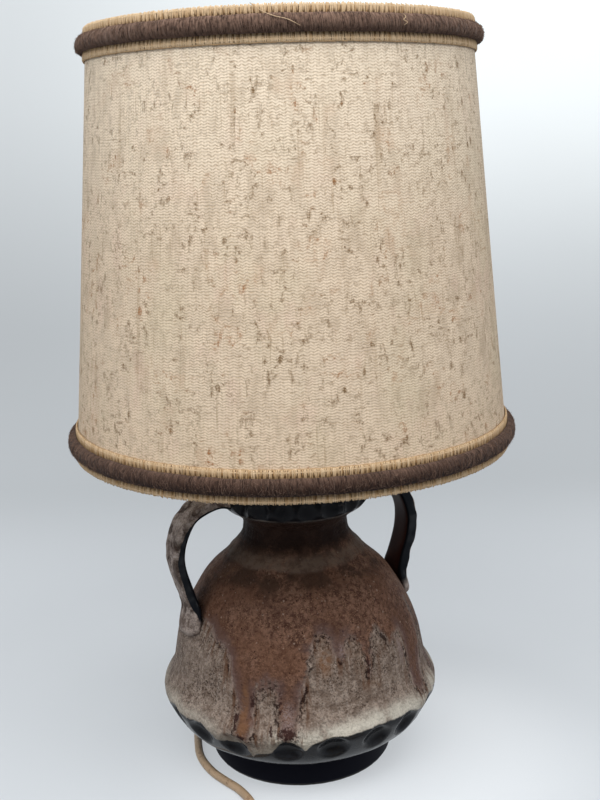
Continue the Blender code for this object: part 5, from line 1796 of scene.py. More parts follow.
    def _above(self, knots: Knots, degrees: np.ndarray, heights: np.ndarray) -> np.ndarray:
        """How far each point of the outside is above an edge that closes round the body.

        Args:
            knots: Degrees and millimetres of the edge's knots, in order.
            degrees: The angle of each column.
            heights: The height of each row, in millimetres.

        Returns:
            Millimetres above the edge, below it as negative numbers.
        """
        to_length = 1.5
        whole = 360 * to_length
        edge = np.array(knots, float)
        edge[:, 0] *= to_length
        place = (degrees * to_length - edge[0, 0]) % whole + edge[0, 0]
        nearest = np.full((len(heights), len(degrees)), 1e3)
        crossings = np.zeros_like(nearest)
        following = np.vstack([edge[1:], edge[:1] + (whole, 0)])
        for (s0, z0), (s1, z1) in zip(edge, following):
            run, rise = s1 - s0, z1 - z0
            up = heights[:, None] - z0
            for shift in (-whole, 0.0, whole):
                off = place - s0 + shift
                share = np.clip((off * run + up * rise) / (run * run + rise * rise + 1e-9), 0, 1)
                nearest = np.minimum(nearest, np.hypot(off - share * run, up - share * rise))
            under = (place >= min(s0, s1)) & (place < max(s0, s1))
            slope = rise / run if abs(run) > 1e-9 else 0.0
            crossings += under & (up > slope * (place - s0))
        return np.where(crossings % 2 == 1, nearest, -nearest)

    def _blots(self, blots: Blots, degrees: np.ndarray, heights: np.ndarray) -> np.ndarray:
        """Soft blots at listed places.

        Args:
            blots: The place and half size of each blot.
            degrees: The angle of each column.
            heights: The height of each row, in millimetres.

        Returns:
            The strength at each point, from 0 to 1.
        """
        strength = np.zeros((len(heights), len(degrees)))
        for angle, level, wide, tall in blots:
            off = (degrees - angle + 180) % 360 - 180
            reach = np.hypot(off / wide, (heights[:, None] - level) / tall)
            strength = np.maximum(strength, np.clip((1.3 - reach) * 1.3, 0, 1))
        return strength


@dataclass
class StrapHandle:
    """A strap handle, pulled by hand and luted to the rim and the shoulder."""

    side: Side
    width: float = 0.0220
    thickness: float = 0.0085
    squareness: float = 4.6
    joint_radius: float = 0.0600
    belly_radius: float = 0.0970
    foot_height: float = 0.0180
    rise: float = 0.1805
    section_points: int = 44

    PATH = (
        (0.454, 0.945), (0.598, 0.967), (0.753, 0.941), (0.848, 0.889), (0.901, 0.803), (0.897, 0.723),
        (0.840, 0.615), (0.828, 0.557), (0.858, 0.500), (0.842, 0.452),
    )  # fmt: skip

    def build(self) -> Object:
        """Build the handle.

        Returns:
            The piece.
        """
        side = self.side.value
        knots = [(side * r * self.belly_radius, 0.0, self.foot_height + self.rise * h) for r, h in self.PATH]
        path = smooth_curve(knots, 10)
        along = np.linspace(0, 1, len(path))
        ahead = np.gradient(path, axis=0)
        ahead /= np.linalg.norm(ahead, axis=1, keepdims=True)
        outward = np.cross(ahead, (0, 1, 0)) * side
        seed = SEED + 11 * (2 + side)
        spread = swell((along - 0.66) / 0.22)
        tongue = np.sqrt(np.clip(1 - np.clip((along - 0.90) / 0.10, 0, 1) ** 2, 0.06, 1))
        wide = (1.04 + 0.025 * wavy(along * math.tau, seed, (3, 5, 8)) + 0.42 * spread) * tongue
        knob = hump(along - 0.93, 0.035)
        thick = (1.0 + 0.03 * wavy(along * math.tau, seed + 1, (3, 5)) + 0.22 * knob) * (0.35 + 0.65 * tongue)
        lean = 0.0004 * wavy(along * math.tau, seed + 2, (2, 5))
        squareness = self.squareness - (self.squareness - 2.0) * spread
        base = np.array([oval(1.0, 1.0, power, self.section_points) for power in squareness])
        edge = np.abs(base[..., 1]) * 2
        dent = wavy(along * math.tau, seed + 4, (7, 10, 15))[:, None] * (1 - 0.7 * spread)[:, None]
        x = base[..., 0] * self.thickness * thick[:, None]
        y = base[..., 1] * self.width * wide[:, None]
        corner = np.clip(base[..., 0] * 2, 0, 1) * edge**3
        x = x + corner * (0.0004 * dent + 0.0004) - 0.0006 * (base[..., 0] > 0) * (1 - edge**2)
        y = y + np.sign(base[..., 1]) * corner * 0.0004 * dent
        x = x - y**2 / (2 * self.joint_radius) * spread[:, None] - 0.0022 * spread[:, None] * edge**2
        points = path[:, None, :] + outward[:, None, :] * x[..., None]
        points[..., 1] += y + lean[:, None]
        handle = lofted(f"strap_handle_{self.side.name.lower()}", points, Finishes.HANDLE, 70.0)
        border = np.interp(along, (0.0, 0.30, 0.45, 0.62, 0.75, 0.85), (-0.55, -0.35, 0.25, 0.55, 0.45, -0.2))
        border = border if self.side is Side.LEFT else np.maximum(border, 0.62)
        store(handle, "outer", base[..., 0] * 2)
        store(handle, "cover", base[..., 0] * 2 - border[:, None])
        store(handle, "low", np.broadcast_to(np.clip((along - 0.80) / 0.05, 0, 1)[:, None], x.shape))
        return Register.hand_in(handle, f"handle_{self.side.name.lower()}")


@dataclass
class BaseFixings:
    """The felt pad, the bush for the lead, the hollow rod and what holds the cap on the mouth."""

    foot_radius: float = 0.0642
    pad_radius: float = 0.0627
    pad_thickness: float = 0.0016
    recess_radius: float = 0.0550
    lead_bore: float = 0.00325
    bush_wall: float = 0.0013
    hole_height: float = 0.0080
    rod_radius: float = 0.0050
    rod_bore: float = 0.0036
    rod_bottom: float = 0.0170
    rod_top: float = 0.2312
    nut_across: float = 0.0140
    nut_height: float = 0.0050
    nut_bottom: float = 0.0184
    cap_bottom: float = 0.2001
    mouth_radius: float = 0.0432
    rim_radius: float = 0.0486

    def build(self) -> None:
        """Build all the fixings."""
        wide, thick = self.pad_radius, self.pad_thickness
        pad = eased(((0, thick), (wide, thick), (wide, 0), (0, 0)), 0.0005)

        def fray(points: np.ndarray, angles: np.ndarray) -> np.ndarray:
            """Fray the felt's cut edge."""
            frayed = 0.0016 * wavy(angles, SEED, (31, 57, 90))[None, :, None]
            return points * (1 + frayed * np.array((1, 1, 0)))

        Register.hand_in(turned("felt_disc", pad, 180, Finishes.FELT, fray), "felt_pad")
        self._bush()
        hole, nut_top = self.rod_radius + 0.0004, self.nut_bottom + self.nut_height
        low = nut_top + GAP
        washer = eased(ring(hole, 0.0120, low, low + 0.0020), 0.0005)
        Register.hand_in(turned("steel_washer", washer, 96, Finishes.ZINC), "rod_washer")
        nut = hexagon_nut("lower_nut", self.nut_across, hole, self.nut_bottom, nut_top, Finishes.ZINC)
        Register.hand_in(nut, "rod_nut")
        rod_profile = eased(ring(self.rod_bore, self.rod_radius, self.rod_bottom, self.rod_top), 0.0005)
        Register.hand_in(turned("hollow_rod", rod_profile, 48, Finishes.ZINC_THREAD), "threaded_rod")
        self._cap(hole)

    def _bush(self) -> None:
        """Build the bush that the lead leaves the foot through."""
        bore, barrel = self.lead_bore, self.lead_bore + self.bush_wall
        face, tail = self.foot_radius + GAP, self.recess_radius - 0.0006
        flange, end = barrel + 0.0020, face + 0.0017
        profile = ((bore, tail), (bore, end), (flange, end), (flange, face), (barrel, face), (barrel, tail))
        bush = turned("lead_bush", eased(profile, 0.0006, 4), 64, Finishes.BUSH)
        lying = Matrix.Rotation(-math.pi / 2, 4, "X")
        bush.data.transform(Matrix.Translation((0, 0, self.hole_height)) @ lying)
        Register.hand_in(bush, "cord_grommet")

    def _cap(self, hole: float) -> None:
        """Build the spun cap over the mouth, its gasket, its nut and the spacer.

        Args:
            hole: The radius of the holes that the rod goes through.
        """
        gasket = ring(self.mouth_radius + 0.0005, self.rim_radius - 0.0005, 0.1988, 0.1998)
        Register.hand_in(turned("cap_seal", eased(gasket, 0.0003), 160, Finishes.GASKET), "cap_gasket")
        edge, sheet, rise, bend = self.rim_radius + 0.0004, 0.0012, 0.0050, 0.0140
        skirt = self.mouth_radius * math.cos(math.pi / 30) - 0.0005
        profile = (
            (edge, 0), (edge, sheet), (skirt, sheet), (bend, sheet + rise), (hole, sheet + rise),
            (hole, rise), (bend, rise), (skirt - sheet, 0), (skirt - sheet, -0.0060),
            (skirt, -0.0060), (skirt, 0),
        )  # fmt: skip
        cap = at(turned("spun_cap", eased(profile, 0.0022, 5), 160, Finishes.BRASS), z=self.cap_bottom)
        Register.hand_in(cap, "neck_cap")
        low = self.cap_bottom + rise + sheet + GAP
        nut = hexagon_nut("upper_nut", self.nut_across, hole, low, low + self.nut_height, Finishes.ZINC)
        Register.hand_in(nut, "cap_nut")
        low += self.nut_height + GAP
        high, wide, groove = low + 0.0100, 0.0070, 0.0066
        steps = ((0.0014, wide), (0.0018, groove), (0.0024, groove), (0.0028, wide))
        tube = [(hole, high), (hole, low), (wide, low), *((r, low + step) for step, r in steps)]
        tube += [*((r, high - step) for step, r in reversed(steps)), (wide, high)]
        Register.hand_in(turned("spacer_sleeve", eased(tube, 0.0003), 64, Finishes.BRASS), "spacer_tube")


@dataclass
class LampHolder:
    """The lampholder with its works, and the two threaded rings that clamp the shade."""

    bottom: float = 0.2222
    radius: float = 0.0195
    wall: float = 0.0022
    neck_radius: float = 0.0095
    neck_height: float = 0.0070
    dome_height: float = 0.0085
    skirt: float = 0.0040
    shell_height: float = 0.0330
    thread_pitch: float = 0.0020
    hole: float = 0.0054
    ring_radius: float = 0.0285
    ring_height: float = 0.0052
    lower_ring: float = 0.2505
    upper_ring: float = 0.2578
    sleeve_radius: float = 0.0141
    sleeve_height: float = 0.0200
    sleeve_pitch: float = 0.0036

    def build(self) -> None:
        """Build the lampholder and the rings."""
        inner = self.radius - self.wall
        self._cap(inner)
        self._shell(inner)
        self._works(inner)
        self._rings()

    def _dome(self, near: float, far: float, low: float, height: float) -> list[tuple[float, float]]:
        """A bowl's quarter curve, from its neck out and up.

        Args:
            near: The radius at its neck.
            far: The radius at its rim.
            low: The height of its neck.
            height: How high it is.

        Returns:
            Radius and height of each point.
        """
        turn = np.linspace(0, math.pi / 2, 11)
        return [(near + (far - near) * math.sin(a), low + height * (1 - math.cos(a))) for a in turn]

    def _cap(self, inner: float) -> None:
        """Build the domed lower half.

        Args:
            inner: The radius inside its wall.
        """
        seat = self.neck_height + self.dome_height
        high = seat + self.skirt
        inside = self.neck_height + self.wall
        profile = [(self.neck_radius, 0.0)]
        profile += self._dome(self.neck_radius, self.radius, self.neck_height, self.dome_height)
        profile += [(self.radius, high), (inner, high), (inner, seat), (inner - 0.002, seat)]
        profile += self._dome(self.hole, inner - 0.002, inside, seat - inside)[-2::-1]
        profile.append((self.hole, 0.0))
        cap = at(turned("holder_dome", eased(profile, 0.0006), 96, Finishes.HOLDER), z=self.bottom)
        Register.hand_in(cap, "holder_cap")

    def _shell(self, inner: float) -> None:
        """Build the threaded upper half.

        Args:
            inner: The radius inside its wall.
        """
        top, lip = self.shell_height, inner - 0.0024
        outside = [(self.radius, z) for z in np.arange(0.0004, top - 0.0006, self.thread_pitch / 8)]
        profile = [(self.radius - 0.0004, 0.0), *outside, (self.radius - 0.0006, top)]
        profile += [(lip, top), (lip, top - 0.002), (inner, top - 0.002), (inner, 0.0)]

        def thread(points: np.ndarray, angles: np.ndarray) -> np.ndarray:
            """Cut the thread round the upper part of the outside.

            Args:
                points: The grid of points.
                angles: The angle of each column.

            Returns:
                The moved points.
            """
            rows = slice(1, 1 + len(outside))
            z = points[rows, :, 2]
            wave = thread_wave(z, angles, self.thread_pitch)
            ends = np.clip((z - 0.0060) / 0.002, 0, 1) * np.clip((top - 0.001 - z) / 0.001, 0, 1)
            points[rows, :, :2] *= (1 - 0.0007 / self.radius * wave * ends)[..., None]
            return points

        low = self.bottom + self.neck_height + self.dome_height + self.skirt + GAP
        shell = at(turned("holder_barrel", profile, 96, Finishes.HOLDER, thread, 50.0), z=low)
        Register.hand_in(shell, "holder_shell")

    def _works(self, inner: float) -> None:
        """Build the insert, the sleeve, the contact and the terminals.

        Args:
            inner: The radius inside the shell's wall.
        """
        low = self.bottom + self.neck_height + self.dome_height + GAP
        high = low + 0.0100
        radius = inner - GAP
        disc = eased(((0, high), (radius, high), (radius, low), (0, low)), 0.0008)
        insert = turned("ceramic_insert", disc, 96, Finishes.PORCELAIN)
        middle, outer = low + 0.0075, radius * math.cos(math.pi / 24) - GAP
        for side in Side:
            name, way = side.name.lower(), side.value
            start, end = sorted((way * (outer - 0.0037), way * (outer + 0.0020)))
            notch = (start, -0.0030, middle - 0.0053), (end, 0.0030, high + 0.0020)
            carve(insert, slab("notch", *notch, 0.0002, Finishes.PORCELAIN))
            near, far = sorted((way * (outer - 0.0034), way * outer))
            block = (near, -0.0027, middle - 0.0050), (far, 0.0027, middle)
            terminal = slab(f"terminal_block_{name}", *block, 0.0004, Finishes.BRASS)
            Register.hand_in(terminal, f"terminal_{name}")
        Register.hand_in(insert, "holder_insert")
        foot = high + GAP
        self._sleeve(foot)
        low, high = foot + 0.0003, foot + 0.0033
        path = ((0.0080, low), (0.0040, low), (0.0, high), (-0.0020, high))
        section = ((-0.0025, -0.0003), (0.0025, -0.0003), (0.0025, 0.0003), (-0.0025, 0.0003))
        rings = [[(x, y, z + dz) for y, dz in section] for x, z in eased(path, 0.0015, 5)[3:-3]]
        Register.hand_in(lofted("contact_tongue", rings, Finishes.BRASS, 30.0), "centre_contact")

    def _sleeve(self, low: float) -> None:
        """Build the screw sleeve with its rolled thread.

        Args:
            low: Its lowest height.
        """
        levels = np.linspace(low, low + self.sleeve_height, 46)
        radius = self.sleeve_radius
        profile = [(radius - 0.0006, z) for z in levels] + [(radius, z) for z in levels[::-1]]

        def rolled(points: np.ndarray, angles: np.ndarray) -> np.ndarray:
            """Roll the thread into the sheet.

            Args:
                points: The grid of points.
                angles: The angle of each column.

            Returns:
                The moved points.
            """
            wave = thread_wave(points[..., 2], angles, self.sleeve_pitch)
            points[..., :2] *= (1 - 0.0005 / radius * wave)[..., None]
            return points

        Register.hand_in(turned("thread_sleeve", profile, 72, Finishes.BRASS, rolled, 50.0), "screw_sleeve")

    def _rings(self) -> None:
        """Build the two ribbed rings that clamp the shade."""
        bore, wide, top, sheet = self.radius + GAP, self.ring_radius, self.ring_height, 0.0022
        collar = bore + 0.0030
        profile = ((bore, 0), (bore, top), (collar, top), (collar, sheet), (wide, sheet), (wide, 0))

        def ribs(points: np.ndarray, angles: np.ndarray) -> np.ndarray:
            """Press grip ribs into the flange's edge.

            Args:
                points: The grid of points.
                angles: The angle of each column.

            Returns:
                The moved points.
            """
            radius = np.linalg.norm(points[..., :2], axis=2)
            edge = np.clip((radius - self.ring_radius + 0.0012) / 0.0008, 0, 1)
            wave = np.clip(np.cos(angles * 40)[None] * 1.6, -1, 1) * 0.5 + 0.5
            points[..., :2] *= (1 - 0.0008 / radius * edge * wave)[..., None]
            return points

        upper = turned("upper_shade_ring", eased(profile, 0.0006), 320, Finishes.HOLDER, ribs)
        Register.hand_in(at(upper, z=self.upper_ring), "shade_ring_upper")
        lower = turned("lower_shade_ring", eased(profile, 0.0006), 320, Finishes.HOLDER, ribs)
        over = Matrix.Rotation(math.pi, 4, "X")
        lower.data.transform(Matrix.Translation((0, 0, self.lower_ring + top)) @ over)
        Register.hand_in(lower, "shade_ring_lower")


@dataclass
class PearBulb:
    """A white pear-shaped bulb with a rolled screw cap."""

    bottom: float = 0.2522
    height: float = 0.1050
    radius: float = 0.0300
    glass: float = 0.0008
    cap_radius: float = 0.0132
    cap_height: float = 0.0235
    cap_sheet: float = 0.0005
    taper: float = 0.0035
    contact_radius: float = 0.0048
    contact_height: float = 0.0011
    pitch: float = 0.0036

    def build(self) -> None:
        """Build the bulb's three pieces."""
        outside, inside = self._outline(0.0), self._outline(self.glass)
        envelope = turned("bulb_envelope", [*reversed(outside), *inside], 96, Finishes.OPAL, sharp=60.0)
        Register.hand_in(at(envelope, z=self.bottom), "bulb_glass")
        low = self.contact_height + GAP
        wide, high = self.contact_radius, self.contact_height
        disc = ((0, high), (wide, high), (wide, 0), (0, 0))
        contact = turned("bulb_eyelet", eased(disc, 0.0004), 48, Finishes.NICKEL)
        Register.hand_in(at(contact, z=self.bottom), "bulb_contact")
        outer, inner = self.cap_radius, self.cap_radius - self.cap_sheet
        levels = np.linspace(low + self.taper, self.cap_height - 0.0006, 44)
        profile = [(0.0, low + self.cap_sheet), (inner - self.taper, low + self.cap_sheet)]
        profile += [(inner, z + 0.0003) for z in levels]
        profile += [(inner + 0.0001, self.cap_height), (outer, self.cap_height)]
        profile += [(outer, z) for z in levels[::-1]] + [(outer - self.taper, low), (0.0, low)]

        def rolled(points: np.ndarray, angles: np.ndarray) -> np.ndarray:
            """Roll the thread into the cap's side.

            Args:
                points: The grid of points.
                angles: The angle of each column.

            Returns:
                The moved points.
            """
            z = points[..., 2]
            ends = np.clip((z - low - self.taper) / 0.002, 0, 1)
            ends = ends * np.clip((self.cap_height - 0.003 - z) / 0.002, 0, 1)
            wave = thread_wave(z, angles, self.pitch)
            points[..., :2] *= (1 - 0.0007 / outer * wave * ends)[..., None]
            return points

        cap = turned("bulb_base", profile, 72, Finishes.BRASS, rolled, 50.0)
        Register.hand_in(at(cap, z=self.bottom), "bulb_cap")

    def _outline(self, inset: float) -> list[tuple[float, float]]:
        """The glass's outline from its neck to the top of the axis.

        Args:
            inset: How far it is drawn in.

        Returns:
            Radius and height of each point.
        """
        neck = self.cap_radius - self.cap_sheet - GAP - inset
        ball, centre = self.radius - inset, self.height - self.radius
        knots = [(neck, self.cap_height - 0.016), (neck, self.cap_height)]
        knots += [(self.radius * r - inset, self.height * h) for r, h in ((0.50, 0.29), (0.62, 0.42))]
        turn = np.linspace(math.radians(-36), math.pi / 2, 25)
        arc = [(ball * math.cos(a), centre + ball * math.sin(a)) for a in turn]
        flared = [(float(r), float(z)) for r, z in smooth_curve([*knots, *arc[:2]], 6)]
        return [*flared, *arc[2:-1], (0.0, self.height - inset)]


@dataclass
class DrumShade:
    """The tapered drum shade: cloth on a stiff liner, two wire rings, the gallery and its spokes."""

    bottom: float = 0.2293
    height: float = 0.2685
    bottom_radius: float = 0.1453
    top_radius: float = 0.1213
    fabric: float = 0.0009
    liner: float = 0.0006
    liner_inset: float = 0.0008
    wire_radius: float = 0.0015
    wire_inset: float = 0.0030
    gallery_hole: float = 0.0203
    gallery_radius: float = 0.0290
    gallery_bottom: float = 0.2560
    gallery_sheet: float = 0.0015
    spoke_radius: float = 0.0013
    spoke_count: int = 3
    level_share: float = 0.25
    cut: tuple[float, float] = (0.901, 0.3225)
    cut_area: float = 0.2258

    def radius_at(self, height: float | np.ndarray) -> float | np.ndarray:
        """The radius of the cloth's outside at one height."""
        widening = self.top_radius - self.bottom_radius
        return self.bottom_radius + widening * (height - self.bottom) / self.height

    def build(self) -> None:
        """Build the shade without its trims."""
        top = self.bottom + self.height
        cloth = self._sleeve("flecked_cloth", self.bottom, top, 0.0, self.fabric, 600, 90, Finishes.CLOTH)
        Register.hand_in(cloth, "shade_fabric")
        offset = self.fabric + GAP
        low, high = self.bottom + self.liner_inset, top - self.liner_inset
        liner = self._sleeve("laminated_liner", low, high, offset, self.liner, 240, 24, Finishes.LINER)
        Register.hand_in(liner, "shade_liner")
        seat, wire = self.bottom + self.wire_inset, self.wire_radius
        for name, level in (("bottom", seat), ("top", top - self.wire_inset)):
            centre = self._ring_radius(level)
            profile = [(centre + wire * math.cos(a), level + wire * math.sin(a)) for a in -round_angles(16)]
            Register.hand_in(turned(f"{name}_wire", profile, 240, Finishes.WIRE), f"frame_{name}_ring")
        low = self.gallery_bottom
        disc = eased(ring(self.gallery_hole, self.gallery_radius, low, low + self.gallery_sheet), 0.0005)
        Register.hand_in(turned("shade_gallery", disc, 96, Finishes.WIRE), "fitter_ring")
        start, end = self.gallery_radius + GAP, self._ring_radius(seat) - wire - GAP
        middle = low + self.gallery_sheet / 2
        level = start + (end - start) * self.level_share
        knots = ((start, middle), (level, middle), (end - self.wire_inset, seat), (end, seat), (end, 0.0))
        bent = [(r, z) for r, z in eased(knots, 0.004, 6) if z > seat - 0.0005 and start <= r <= end]
        line = [(start, middle), *bent[1:-1], (end, seat)]
        for k in range(self.spoke_count):
            turn = math.pi / 2 + math.tau * k / self.spoke_count
            path = [(r * math.cos(turn), r * math.sin(turn), z) for r, z in line]
            spoke = rod(f"shade_spoke_{k + 1}", path, self.spoke_radius, 16, Finishes.WIRE)
            Register.hand_in(spoke, f"spoke_{k + 1}")

    def _ring_radius(self, height: float) -> float:
        """The radius of the middle of a wire ring that lies against the liner."""
        return self.radius_at(height) - self.fabric - self.liner - 2 * GAP - self.wire_radius - GAP

    def _sleeve(
        self,
        name: str,
        low: float,
        high: float,
        inset: float,
        sheet: float,
        columns: int,
        rows: int,
        finish: Finish,
    ) -> Object:
        """A thin tapered sleeve that is not perfectly round, as cloth and card never are.

        Args:
            name: The piece's name.
            low: Its lower edge.
            high: Its upper edge.
            inset: How far its outside lies inside the cloth's.
            sheet: Its thickness.
            columns: Its faces round.
            rows: Its faces up.
            finish: Its finish.

        Returns:
            The piece.
        """
        levels = np.linspace(low, high, rows + 1)
        outside = [(self.radius_at(z) - inset, z) for z in levels]
        inside = [(r - sheet, z) for r, z in outside[::-1]]

        def relax(points: np.ndarray, angles: np.ndarray) -> np.ndarray:
            """Let the sleeve wander a little between its two rims.

            Args:
                points: The grid of points.
                angles: The angle of each column.

            Returns:
                The moved points.
            """
            share = (points[..., 2] - self.bottom) / self.height
            belly = np.sin(np.clip(share, 0, 1) * math.pi)
            wander = 0.00045 * wavy(angles, SEED + 7, (2, 3, 5, 9))[None]
            wander = wander + 0.00018 * wavy(angles, SEED + 8, (17, 29, 41))[None]
            points[..., :2] *= (1 - np.abs(wander) * belly / self.bottom_radius)[..., None]
            return points

        return turned(name, outside + inside, columns, finish, relax, 60.0)


@dataclass
class ShadeTrim:
    """One rim's trim: a stitched braid with a scalloped edge, and a fuzzy wool roll along its middle."""

    rim: Rim
    shade: DrumShade
    width: float = 0.0202
    thickness: float = 0.0012
    overhang: float = 0.0010
    roll_width: float = 0.0100
    bulge: float = 0.0042
    thread_pitch: float = 0.00108
    thread_radius: float = 0.00056
    fibres: int = 4200
    up: int = field(init=False)
    middle: float = field(init=False)
    random: np.random.Generator = field(init=False)

    # The pulled threads at the front: degrees, distance toward the rim and lift of each knot
    LOOSE_ENDS = (
        (
            (-119.5, 0.0105, 0.0002), (-116.5, 0.0060, 0.0004), (-113.5, 0.0030, 0.0), (-110.5, 0.0012, 0.0),
            (-107.5, -0.0022, 0.0),
        ),
        (
            (-80.4, 0.0046, 0.0), (-80.0, 0.0026, 0.0002), (-81.0, 0.0010, 0.0004), (-79.8, -0.0002, 0.0002),
            (-80.7, -0.0018, 0.0),
        ),
    )  # fmt: skip

    def __post_init__(self) -> None:
        """Work out which way the rim lies and where the trim's middle runs."""
        self.up = 1 if self.rim is Rim.TOP else -1
        top = self.shade.bottom + self.shade.height
        edge = top + self.overhang if self.rim is Rim.TOP else self.shade.bottom - self.overhang
        self.middle = edge - self.up * self.width / 2
        self.random = np.random.default_rng(SEED + 20 + self.up)

    def build(self) -> None:
        """Build the braid and the roll."""
        Register.hand_in(self._braid(), f"trim_{self.rim.value}_band")
        Register.hand_in(self._roll(), f"trim_{self.rim.value}_roll")

    def _place(self, length: np.ndarray, across: np.ndarray, out: np.ndarray) -> np.ndarray:
        """Points of the trim.

        Args:
            length: The angle round the shade.
            across: The distance toward the rim from the trim's middle.
            out: The distance out from the cloth.

        Returns:
            The points.
        """
        level = self.middle + self.up * across
        radius = self.shade.radius_at(level) + out
        return np.stack([radius * np.cos(length), radius * np.sin(length), level], axis=-1)

    def _braid(self) -> Object:
        """Build the base strip with its stitches.

        Returns:
            The piece.
        """
        half, count = self.width / 2 - 0.0008, 360
        inner, outer = GAP, GAP + self.thickness * 0.42
        angles = round_angles(count)
        ring_angles = np.repeat(angles[None], 4, axis=0)
        across = np.repeat(np.array([[-half], [-half], [half], [half]]), count, axis=1)
        out = np.repeat(np.array([[inner], [outer], [outer], [inner]]), count, axis=1)
        strip = self._place(ring_angles, across, out).reshape(-1, 3)
        faces = grid_faces(4, count, True, True).tolist()
        # The base strip between the stitches is painted dark as painted shade
        parts = [(strip, faces, {"tone": 0.20, "deep": 0.60})]
        parts += [self._threads(-1), self._threads(1), *self._cords()]
        if self.rim is Rim.TOP:
            parts.append(self._loose_ends())
        return combined(f"{self.rim.value}_braid", parts, Finishes.BRAID)

    def _threads(self, way: int) -> Body:
        """The close upright threads on one side of the roll, in threes with small holes between them.

        Args:
            way: 1 for the side toward the rim, and -1 for the side toward the cloth.

        Returns:
            The points, the faces and the numbers.
        """
        radius = self.shade.radius_at(self.middle + way * self.up * self.width / 2)
        count = round(math.tau * radius / self.thread_pitch / 3) * 3
        order = np.arange(count)
        base = (order + self.random.uniform(-0.15, 0.15, count)) / count * math.tau
        share = np.linspace(0, 1, 7)
        first = self.roll_width / 2 - 0.0012 + np.where(order % 3 == 2, 0.0019, 0.0)[:, None]
        bowed = 0.00045 * np.sin((order + 0.5) * math.pi / 3) ** 2 if way > 0 else 0.0
        last = self.width / 2 - 0.0004 + bowed + self.random.uniform(-0.0002, 0.0002, count)
        across = way * (first + (last[:, None] - first) * np.sin(share * math.pi / 2)[None])
        lean = self.random.uniform(-0.3, 0.3, (count, 1)) * self.thread_pitch / radius
        angle = base[:, None] + lean * share[None]
        out = GAP + 0.0003 + 0.0007 * np.sin(math.pi * (0.14 + 0.82 * share))[None] + np.zeros((count, 1))
        paths = self._place(angle, across, out)
        girth = self.thread_radius * (0.8 + 0.2 * np.sin(math.pi * share))[None]
        radii = girth * self.random.uniform(0.8, 1.15, (count, 1))
        # The top trim's stitches are painted paler than the bottom trim's, as painted light
        paler = 0.22 if self.rim is Rim.TOP else 0.04
        tone = paler + 0.62 + 0.12 * np.sin(order * 0.9) + 0.15 * (order % 3 == 0)
        return self._bodies(paths, radii, base, tone, golden=0.55)

    def _loose_ends(self) -> Body:
        """The two pulled threads that lie over the roll at the front.

        Returns:
            The points, the faces and the numbers.
        """
        share = np.linspace(0, 1, 24)
        paths, starts = [], []
        for knots in self.LOOSE_ENDS:
            line = smooth_curve([(degrees, across, lift) for degrees, across, lift in knots], 8)
            length = np.linspace(0, 1, len(line))
            degrees, across, lift = (np.interp(share, length, line[:, k]) for k in range(3))
            turn = np.arccos(np.clip(across / (self.roll_width / 2), -1, 1))
            out = GAP * 2 + self.thickness + np.sin(turn) ** 0.8 * self.bulge * 1.09 + 0.0005 + lift
            paths.append(self._place(np.radians(degrees), across, out))
            starts.append(math.radians(knots[0][0]))
        radii = np.full((len(paths), len(share)), 0.00018)
        return self._bodies(np.array(paths), radii, np.array(starts), 1.0, 5, 1.0)

    def _cords(self) -> list[Body]:
        """The thin cords along the braid that tie the stitches down.

        Returns:
            The points, the faces and the numbers of each cord.
        """
        count, sides, half = 900, 6, self.width / 2
        angles, turn = round_angles(count), round_angles(sides)[:, None]
        around = np.repeat(angles[None], sides, axis=0)
        faces = grid_faces(sides, count, True, True).tolist()
        drift = 0.0002 * wavy(angles, SEED + 31, (40, 77, 120))[None]
        dark_low = (0.0003 - half, 0.36, 0.00034, 0.00045)
        pale_low, pale_high = (0.0019 - half, 0.85, 0.0004, 0.0009), (half - 0.0014, 0.8, 0.0004, 0.0009)
        cords = []
        for across, tone, size, out in (dark_low, pale_low, pale_high):
            girth = (size * (1 + 0.25 * np.sin(angles * 380)))[None]
            ring_across, ring_out = np.cos(turn) * girth, np.sin(turn) * girth
            points = self._place(around, across + ring_across + drift, GAP + out + ring_out)
            cords.append((points.reshape(-1, 3), faces, {"tone": tone, "deep": 0.12}))
        return cords

    def _bodies(
        self,
        paths: np.ndarray,
        radii: np.ndarray,
        angles: np.ndarray,
        tone: float | np.ndarray,
        sides: int = 6,
        flat: float = 0.7,
        golden: float = 0.0,
    ) -> Body:
        """Closed threads with a shade of their own.

        Args:
            paths: The points of each thread.
            radii: The radius at each point.
            angles: The angle of each thread round the shade.
            tone: How pale the threads are.
            sides: How many sides a thread has.
            flat: The thickness of a thread as a share of its width.
            golden: How much darker a thread is at its start.

        Returns:
            The points, the faces and the numbers.
        """
        outward = np.stack([np.cos(angles), np.sin(angles), np.zeros_like(angles)], axis=-1)
        points, quads, ends = strands(paths, radii, outward, sides, flat)
        tones = np.clip(tone + self.random.uniform(-0.2, 0.2, len(paths)), 0, 1)
        share = np.linspace(0, 1, paths.shape[1])
        # Each thread is painted darker at its start, and a fibre at both ends, as painted shade where they
        # run under the roll and the other threads
        ends_in = share if golden else np.minimum(share, 1 - share)
        deep = np.repeat(np.clip(1 - 5 * ends_in, 0, 1) * 0.6, sides)
        tinted = np.clip(tones[:, None] - golden * (1 - np.repeat(share, sides))[None] ** 2, 0, 1).ravel()
        return points, quads.tolist() + ends, {"tone": tinted, "deep": np.tile(deep, len(paths))}

